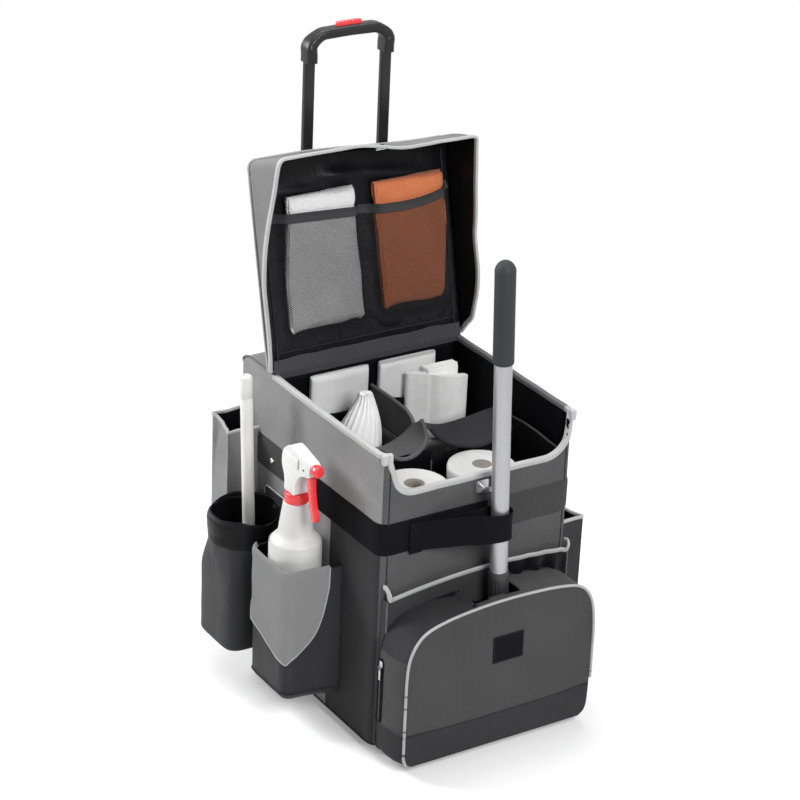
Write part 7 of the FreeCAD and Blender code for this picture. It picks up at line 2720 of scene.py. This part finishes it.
@dataclass
class Dividers:
    """The padded dividers in the hold, one lengthways and two across, with their loose tongues."""

    thick: float = 4.0
    edge_radius: float = 3.3

    def build(self) -> None:
        """Make the three dividers."""
        self.lengthways()
        self.crossways()

    def board(self, shape: Shape, place: Callable[[float, float], Spot], rows: int = 24) -> None:
        """Add one soft board by its rule."""
        shape.sheet(shares(36), shares(rows), place)

    def edging(self, name: str, spots: Sequence[Spot], look: Look) -> None:
        """Bind an edge with a round tape."""
        corded(name, look, "divider_fabric", [Line(spots)], self.edge_radius, 10, 90)

    def lengthways(self) -> None:
        """The divider from the bulkhead, whose upper part is a tongue with a rounded end."""
        box = Box.of("centre_divider")
        x = (box.x0 + box.x1) / 2.0
        step, top, free, round_ = box.z1 - 59.0, box.z1 - 2.0, box.y1 - 137.0, 26.0

        def tongue(s: float, t: float) -> Spot:
            """A corner of the tongue."""
            z = step + (top - step) * t
            near = free + 3.0
            if z > top - round_:
                near += hollow(round_, z - top + round_)
            if z < step + 22.0:
                near += 0.55 * (step + 22.0 - z)
            y = box.y1 + (near - box.y1) * s
            return x + 2.0 * math.sin(math.pi * s) * t + 0.7 * ripple(0.0, y, z, 50.0, 2.0), y, z

        def lower(s: float, t: float) -> Spot:
            """A corner of the lower part."""
            z = box.z0 + (step - box.z0) * t
            return x + 0.8 * ripple(0.0, box.y1 * s, z, 70.0,
                                    4.0), box.y1 + (box.y0 + 1.0 - box.y1) * s, z

        shape = Shape()
        self.board(shape, tongue)
        self.board(shape, lower)
        shape.turn(Matrix.Translation(Vector((-self.thick / 2.0, 0.0, 0.0))))
        shape.finish("centre_divider_pad", "bag", dressed(Look.DIVIDER), "divider_fabric",
                     ("centre_divider",),
                     wall=self.thick, outward=towards(-1.0, 0.0, 0.0))
        edge = [tongue(s, 1.0) for s in shares(10)] + [tongue(1.0, t)
                                                       for t in (0.9, 0.8, 0.65, 0.5, 0.35, 0.2,
                                                                 0.08)]
        self.edging("centre_divider_edge", edge, Look.THIN_PIPING)

    def crossways(self) -> None:
        """The dividers across the bag; each leans forward at its top as a rounded tongue."""
        left, right = Box.of("cross_dividers"), Box.of("centre_divider")
        y = left.middle[1]
        x_mid = right.middle[0]
        shape = Shape()
        for x0, x1, high in ((left.x0, x_mid - 2.0, 441.0), (x_mid + 2.0, left.x1, 428.0)):
            self.board(shape, lambda s, t, a=x0, b=x1, h=high: (
                a + (b - a) * s, y + 1.0 + 1.2 * ripple(a + (b - a) * s, 0.0, h * t, 60.0, 3.0),
                left.z0 + (h - left.z0) * t))
        shape.finish("cross_divider_pads", "bag", dressed(Look.DEEP), "divider_fabric",
                     ("cross_dividers",),
                     wall=self.thick - 1.0, outward=FORWARD)
        tongues = (("left_tongue",
                    [(-112.0, 176.0, 458.0), (-84.0, 155.0, 460.0), (-66.0, 138.0, 447.0),
                                    (-44.0, 133.0, 446.0), (-22.0, 138.0, 451.0),
                                    (-3.0, 151.0, 459.0),
                                    (5.0, 168.0, 472.0), (6.0, 182.0, 482.0)],
                    [(-112.0, 196.0, 440.0), (-60.0, 206.0, 436.0), (-20.0, 208.0, 446.0),
                     (6.0, 210.0, 462.0)],
                    Look.PANEL, Look.DIVIDER),
                   ("right_tongue", [(14.0, 166.0, 470.0), (30.0, 152.0, 452.0),
                                     (58.0, 142.0, 440.0),
                                     (96.0, 141.0, 432.0), (128.0, 146.0, 434.0),
                                     (168.0, 154.0, 442.0)],
                    [(14.0, 196.0, 470.0), (70.0, 206.0, 452.0), (168.0, 208.0, 460.0)], Look.POUCH,
                    Look.SEAM))
        for name, near, far, look, trim in tongues:
            front, back = Line(near), Line(far)

            def lie(s: float, t: float, a: Line = front, b: Line = back) -> Spot:
                """A corner of the tongue, which hangs between its root and its free edge."""
                spot = a.at(s).lerp(b.at(s), t)
                return spot.x, spot.y, spot.z - 9.0 * math.sin(math.pi * t) * math.sin(math.pi * s)

            shape = Shape()
            self.board(shape, lie, 18)
            shape.finish(name, "bag", dressed(look), "divider_fabric", wall=3.0,
                         outward=towards(0.0, 0.0, 1.0))
            self.edging(name + "_edge", near, trim)


@dataclass
class Supplies:
    """The goods in the hold: paper rolls, towels, folded cloths and the bundle of liners."""

    def build(self) -> None:
        """Make the goods."""
        self.rolls()
        self.towels()
        self.cloths()
        self.liners()
        self.net_pocket()

    def rolls(self) -> None:
        """Two columns of embossed rolls, a little out of round, with soft ends."""
        box = Box.of("roll_stacks")
        radius, height, hole = 57.6, (box.z1 - box.z0) / 4.0, 17.5
        shape = Shape()
        for centre, seed in (((box.x0 + 58.0, box.y0 + 58.0), 1.0),
                             ((box.x1 - 58.0, box.y1 - 58.0), 4.0)):
            for count in range(4):
                low = box.z0 + height * count + 0.3
                high = low + height - 0.8
                core = (hole if count < 3 else 11.0 if seed < 2.0 else 1.6)
                rings = [core + (radius - 3.0 - core) * k / 22.0 for k in range(23)]
                profile = [(hole - 1.6, low + 6.0), (hole - 1.6, high - 16.0),
                           (core - 1.6, high - 12.0), (core, high - 3.0)]
                profile += [(r, high - 1.3 - 1.6 * blend(radius - 12.0, radius, r)
                             - (0.6 if k % 2 else 0.0))
                            for k, r in enumerate(rings[1:], 1)]
                profile += [(radius - 0.9, high - 4.6), (radius, high - 8.0)]
                profile += [(radius, high - 8.0 - (height - 17.0) * k / 12.0) for k in range(1, 13)]
                profile += [(radius - 1.6, low + 2.5), (radius - 6.0, low), (hole, low),
                            (hole - 1.6, low + 6.0)]

                def wave(a: float, r: float, z: float, at_: float = seed + count) -> float:
                    """The roll's wander from round."""
                    c, n = math.cos(a), math.sin(a)
                    wander = 0.9 * ripple(c * 1.2, n * 1.2, z / 60.0, 1.0, at_) - 0.7
                    return wander * blend(20.0, 57.0, r)

                faces = shape.lathe(profile, centre, 72, wave=wave)
                for face in faces:
                    middle = face.calc_center_median()
                    if (middle.xy - Vector(centre)).length < hole - 0.4:
                        face.material_index = 1
        bmesh.ops.remove_doubles(shape.bm, verts=shape.bm.verts[:], dist=0.005)
        shape.finish("paper_rolls", "bag", dressed(Look.PAPER, Look.CORE), "paper", ("roll_stacks",
                     ), crease=62.0)

    def towels(self) -> None:
        """The folded towel packs: the top one bows forward, with another behind it."""
        box = Box.of("paper_towels")
        height = (box.z1 - 12.0 - box.z0) / 4.0
        shape = Shape()
        for count in range(4):
            top = count == 3
            low = box.z0 + height * count
            bow = ((box.x0 + 1.0, 14.0, 6.0), (box.x0 + 24.0, 7.0, 5.0), (box.x0 + 42.0, 0.0, 5.0),
                   (box.x0 + 56.0, -7.0, 5.0), (box.x0 + 84.0, -13.0, 5.0),
                   (box.x1 - 1.0, -11.0, 5.0))
            front = Line([(x, box.y0 + (bowed if top else plain), 0.0) for x, bowed, plain in bow])
            depth = 17.0 if top else 22.0
            fall = 14.0 if top else 0.0

            def place(s: float, t: float, low_: float = low, line: Line = front,
                      deep: float = depth,
                      drop_: float = fall, lid_: bool = top) -> Spot:
                """A corner of the pack's closed skin, round its front, its ends and its back."""
                around = s * 2.0
                share = around if around <= 1.0 else 2.0 - around
                spot = line.at(share)
                rounded = math.sin(math.pi * clamp(share)) ** 0.22
                y = spot.y + (deep / 2.0 * (1.0 - rounded) if around <= 1.0
                              else deep - deep / 2.0 * (1.0 - rounded))
                z_top = low_ + height - 0.6 - drop_ * share ** 1.5
                z = low_ + 0.4 + (z_top - low_ - 0.4) * t
                groove = 1.8 * bell(share, 0.36, 0.03) * (around <= 1.0) * lid_
                soft = 0.7 * ripple(spot.x, y, z, 30.0,
                                    5.0) + 0.5 * math.sin(spot.x / 2.4 + z / 70.0) * lid_
                curl = 5.0 * max(0.0, 0.12 - t) / 0.12 * share * lid_
                return spot.x, y + groove + soft * 0.5 + curl, z

            faces = shape.sheet(shares(120), shares(26), place, join=True)
            shape.fill(faces)
        back = (box.x0 + 36.0, box.y0 + 6.0, box.z1 - 96.0), (box.x1 - 14.0, box.y1 - 2.0,
                                                              box.z1 - 9.0)
        shape.slab(back[0], back[1], 2.5, 3)
        for layer in range(7):
            y = box.y0 + 8.5 + layer * 2.6
            shape.slab((box.x0 + 36.0, y, box.z1 - 18.0),
                       (box.x1 - 14.0 + (layer % 3), y + 1.5, box.z1 - 7.0 - (layer % 2)), 0.5, 1)
        shape.triangulate()
        shape.warp(lambda c: Vector((c.x + 5.0, c.y, c.z)))
        shape.finish("towel_packs", "bag", dressed(Look.TOWEL), "white_cloth", ("paper_towels",),
                     crease=50.0)

    def cloths(self) -> None:
        """The folded white cloths at the bulkhead, and the dark pockets that hold them."""
        box = Box.of("rear_cloths")
        height = (box.z1 - box.z0) / 4.0
        wide, deep = 112.0, box.middle[1]
        shape = Shape()
        for x0, seed in ((box.x0, 2.0), (box.x1 - wide, 7.0)):
            for count in range(4):
                low = box.z0 + height * count

                def place(s: float, t: float, left: float = x0, low_: float = low,
                          seed_: float = seed) -> Spot:
                    """A corner of the folded cloth's skin, with its layers on its right side."""
                    a = TURN * s
                    c, n = math.cos(a), math.sin(a)
                    x = left + wide / 2.0 + (wide / 2.0 - 1.0) * math.copysign(abs(c) ** 0.25, c)
                    y = deep + 8.6 * math.copysign(abs(n) ** 0.6, n)
                    z = low_ + 0.6 + (height - 1.2) * t
                    layers = 1.1 * math.sin(y * 1.7) * max(0.0, c) ** 8
                    soft = 1.3 * ripple(x, y, z, 46.0, seed_) + 1.0 * fold(x, y, z, 60.0, seed_)
                    ends = min(1.0, 12.0 * t + 0.3, 12.0 * (1.0 - t) + 0.5)
                    return x + layers, deep + (y - deep) * ends - soft * 0.8 * (n < 0.0), z

                faces = shape.sheet(shares(72), shares(22), place, join=True)
                shape.fill(faces)
        shape.triangulate()
        piece = shape.finish("folded_cloths", "bag", dressed(Look.WHITE_CLOTH), "white_cloth",
                             ("rear_cloths",),
                             crease=180.0)
        shape = Shape()
        for x0, x1 in ((box.x0 - 8.0, box.x0 + wide - 3.0), (box.x1 - wide - 2.0, box.x1 + 8.0)):
            def pouch(s: float, t: float, a: float = x0, b: float = x1) -> Spot:
                """A corner of a dark pocket's face."""
                x = a + (b - a) * s
                top = 466.0 - 10.0 * math.sin(math.pi * s)
                return x, box.y0 - 5.5 - 3.0 * math.sin(math.pi * s) * t, 250.0 + (top - 250.0) * t

            shape.sheet(shares(30), shares(24), pouch)
        shape.finish("bulkhead_pockets", "bag", dressed(Look.DEEP), "black_fabric", wall=1.2,
                     outward=FORWARD)

    def liners(self) -> None:
        """The bundle of white liners, gathered in pleats to its cut neck."""
        box = Box.of("liner_bundle")
        x, y, _ = box.middle
        reach = (box.x1 - box.x0) / 2.0
        low, top = box.z0, box.z1 + 5.0
        knots = [(0.0, low), (reach - 5.0, low), (reach - 1.5, low + 8.0),
                 (reach - 1.0, low + 180.0), (reach - 1.0, 392.0),
                 (reach - 1.6, 414.0), (reach - 5.0, 434.0), (reach - 11.0, 455.0),
                 (reach - 19.0, 476.0),
                 (reach - 27.0, 494.0), (reach - 32.0, top - 3.0), (reach - 32.6, top),
                 (5.0, top - 1.6), (0.0, top - 2.0)]
        line = Line([(a, 0.0, b) for a, b in knots], steps=6)
        profile = [(max(0.0, spot.x), spot.z) for spot in line.points]

        def wave(a: float, r: float, z: float) -> float:
            """Pleats that deepen towards the neck and broad folds below it."""
            high = blend(385.0, top, z)
            c, n = math.cos(a), math.sin(a)
            pleat = (1.0 - 2.0 * abs(math.sin(9.5 * a
                                              + 1.5 * ripple(c, n, z / 90.0, 1.0,
                                                             3.0)))) * 1.9 * high
            broad = 3.4 * bell(math.degrees(a) % 360.0, 262.0, 16.0) * blend(470.0, 420.0, z)
            soft = 1.4 * ripple(c * 1.4, n * 1.4, z / 45.0, 1.0, 6.0) * (r > 10.0)
            return pleat * (r > 6.0) - broad * (r > 20.0) + soft - 0.8

        shape = Shape()
        shape.lathe(profile, (x, y), 150, wave=wave)
        shape.warp(lambda v: Vector((v.x + 17.0 * blend(380.0, top, v.z),
                                     v.y - 2.0 * blend(380.0, top, v.z), v.z)))
        piece = shape.finish("liner_gather", "bag", dressed(Look.LINER), "white_cloth",
                             ("liner_bundle",), crease=180.0)

    def net_pocket(self) -> None:
        """The black pocket on the right inner wall."""
        wall = Box.of("right_wall").x1 - 8.0

        def place(s: float, t: float) -> Spot:
            """A corner of the pocket's face."""
            y = 22.0 + 150.0 * s
            puff = 7.0 * math.sin(math.pi * s) * (0.4 + 0.6 * t) + 1.2 * ripple(0.0, y, 90.0 * t,
                                                                                26.0, 3.0)
            return wall - 2.0 - puff, y, 372.0 + (88.0 + 10.0 * math.sin(math.pi * s)) * t

        shape = Shape()
        shape.sheet(shares(50), shares(24), place, (0.15, 0.1))
        shape.finish("inner_wall_pocket", "bag", dressed(Look.NYLON), "black_fabric", wall=1.0,
                     outward=towards(-1.0, 0.0, 0.0))
        top = Line([place(s, 1.0) for s in shares(14)])
        corded("inner_pocket_elastic", Look.ELASTIC, "black_fabric", [top], 2.0, 8, 50)


MAKERS = [Lid, PullHandle, FrontPocket, FrontBag, Mop, BrushPouch, BottlePouch, SprayBottle,
          SidePockets, Dividers,
          Supplies]


WHITE = (1.0, 1.0, 1.0, 1.0)


@dataclass(frozen=True)
class Stage:
    """The floor, the lamps, the world and the camera."""

    lens: float = 121.6
    sensor: float = 36.0
    eye: Spot = (-2200.1, -3117.4, 2366.3)
    look: Spot = (0.4969, 0.7579, -0.4226)
    right: Spot = (0.8458, -0.5321, 0.0403)
    floor_glow: float = 0.24
    world_light: float = 0.16

    def build(self) -> None:
        """Set the whole stage."""
        self.camera()
        self.floor()
        self.lamps()
        self.world()
        scene = bpy.context.scene
        scene.view_settings.view_transform = "Standard"

    def camera(self) -> None:
        """The camera, at the object's three-quarter view from above."""
        data = bpy.data.cameras.new("camera")
        data.lens = self.lens
        data.sensor_width = self.sensor
        data.clip_end = 50.0
        piece = bpy.data.objects.new("camera", data)
        bpy.context.scene.collection.objects.link(piece)
        ahead = Vector(self.look).normalized()
        side = Vector(self.right)
        side = (side - ahead * side.dot(ahead)).normalized()
        above = side.cross(ahead)
        turn = Matrix((side, above, -ahead)).transposed().to_4x4()
        piece.matrix_world = Matrix.Translation(metres(self.eye)) @ turn
        bpy.context.scene.camera = piece

    def floor(self) -> None:
        """The pale floor."""
        mesh = bpy.data.meshes.new("floor")
        bm = bmesh.new()
        bmesh.ops.create_grid(bm, x_segments=1, y_segments=1, size=14.0)
        bm.to_mesh(mesh)
        bm.free()
        piece = bpy.data.objects.new("floor", mesh)
        bpy.context.scene.collection.objects.link(piece)
        paint = Paint("pale_floor")
        mottle = paint.noise(3.0, 2.0, 0.5)
        base = paint.shade(mottle, (0.84, 0.84, 0.84), (0.86, 0.86, 0.86))
        body = paint.node("ShaderNodeBsdfDiffuse", None, {"Color": base})
        glow = paint.node("ShaderNodeEmission", None, {"Color": WHITE, "Strength": self.floor_glow})
        near = paint.node("ShaderNodeAddShader", None, {0: body, 1: glow})
        white = paint.node("ShaderNodeEmission", None, {"Color": WHITE, "Strength": 1.0})
        away = paint.node("ShaderNodeVectorMath", {"operation": "LENGTH"}, {0: paint.place()},
                          output="Value")
        far = ((away - 0.9) * 1.1).clamped()
        both = paint.node("ShaderNodeMixShader", None, {0: far, 1: near, 2: white})
        paint.node_end(paint.node("ShaderNodeMixShader", None, {0: paint.seen(), 1: body, 2: both}))
        mesh.materials.append(paint.material)

    def lamp(self, name: str, spot: Spot, aim: Spot, size: float, power: float) -> None:
        """A square soft lamp."""
        data = bpy.data.lights.new(name, "AREA")
        data.shape = "SQUARE"
        data.size = size
        data.energy = power
        piece = bpy.data.objects.new(name, data)
        bpy.context.scene.collection.objects.link(piece)
        away = metres(aim) - metres(spot)
        turn = away.to_track_quat("-Z", "Y").to_matrix().to_4x4()
        piece.matrix_world = Matrix.Translation(metres(spot)) @ turn
        piece.visible_camera = False

    def lamps(self) -> None:
        """A strong soft lamp high behind the left side, one above and one high in front."""
        self.lamp("left_lamp", (-1400.0, 1500.0, 1500.0), (0.0, 200.0, 450.0), 0.7, 41.0)
        self.lamp("top_lamp", (300.0, 700.0, 3000.0), (0.0, 250.0, 500.0), 1.6, 44.0)
        self.lamp("front_lamp", (-200.0, -2700.0, 2500.0), (0.0, 100.0, 500.0), 1.5, 98.0)

    def world(self) -> None:
        """A plain pale surrounding that shows as white."""
        paint = Paint("surround", world=True)
        light = paint.node("ShaderNodeBackground", None,
                           {"Color": WHITE, "Strength": self.world_light})
        white = paint.node("ShaderNodeBackground", None, {"Color": WHITE, "Strength": 1.0})
        paint.node_end(paint.node("ShaderNodeMixShader", None,
                                  {0: paint.seen(), 1: light, 2: white}))
        bpy.context.scene.world = paint.material


def main() -> None:
    """Build the whole scene in order."""
    logging.basicConfig(level=logging.INFO, format="%(name)s: %(message)s")
    Stage().build()
    Body().build()
    for maker in MAKERS:
        maker().build()


if __name__ == "__main__":
    main()
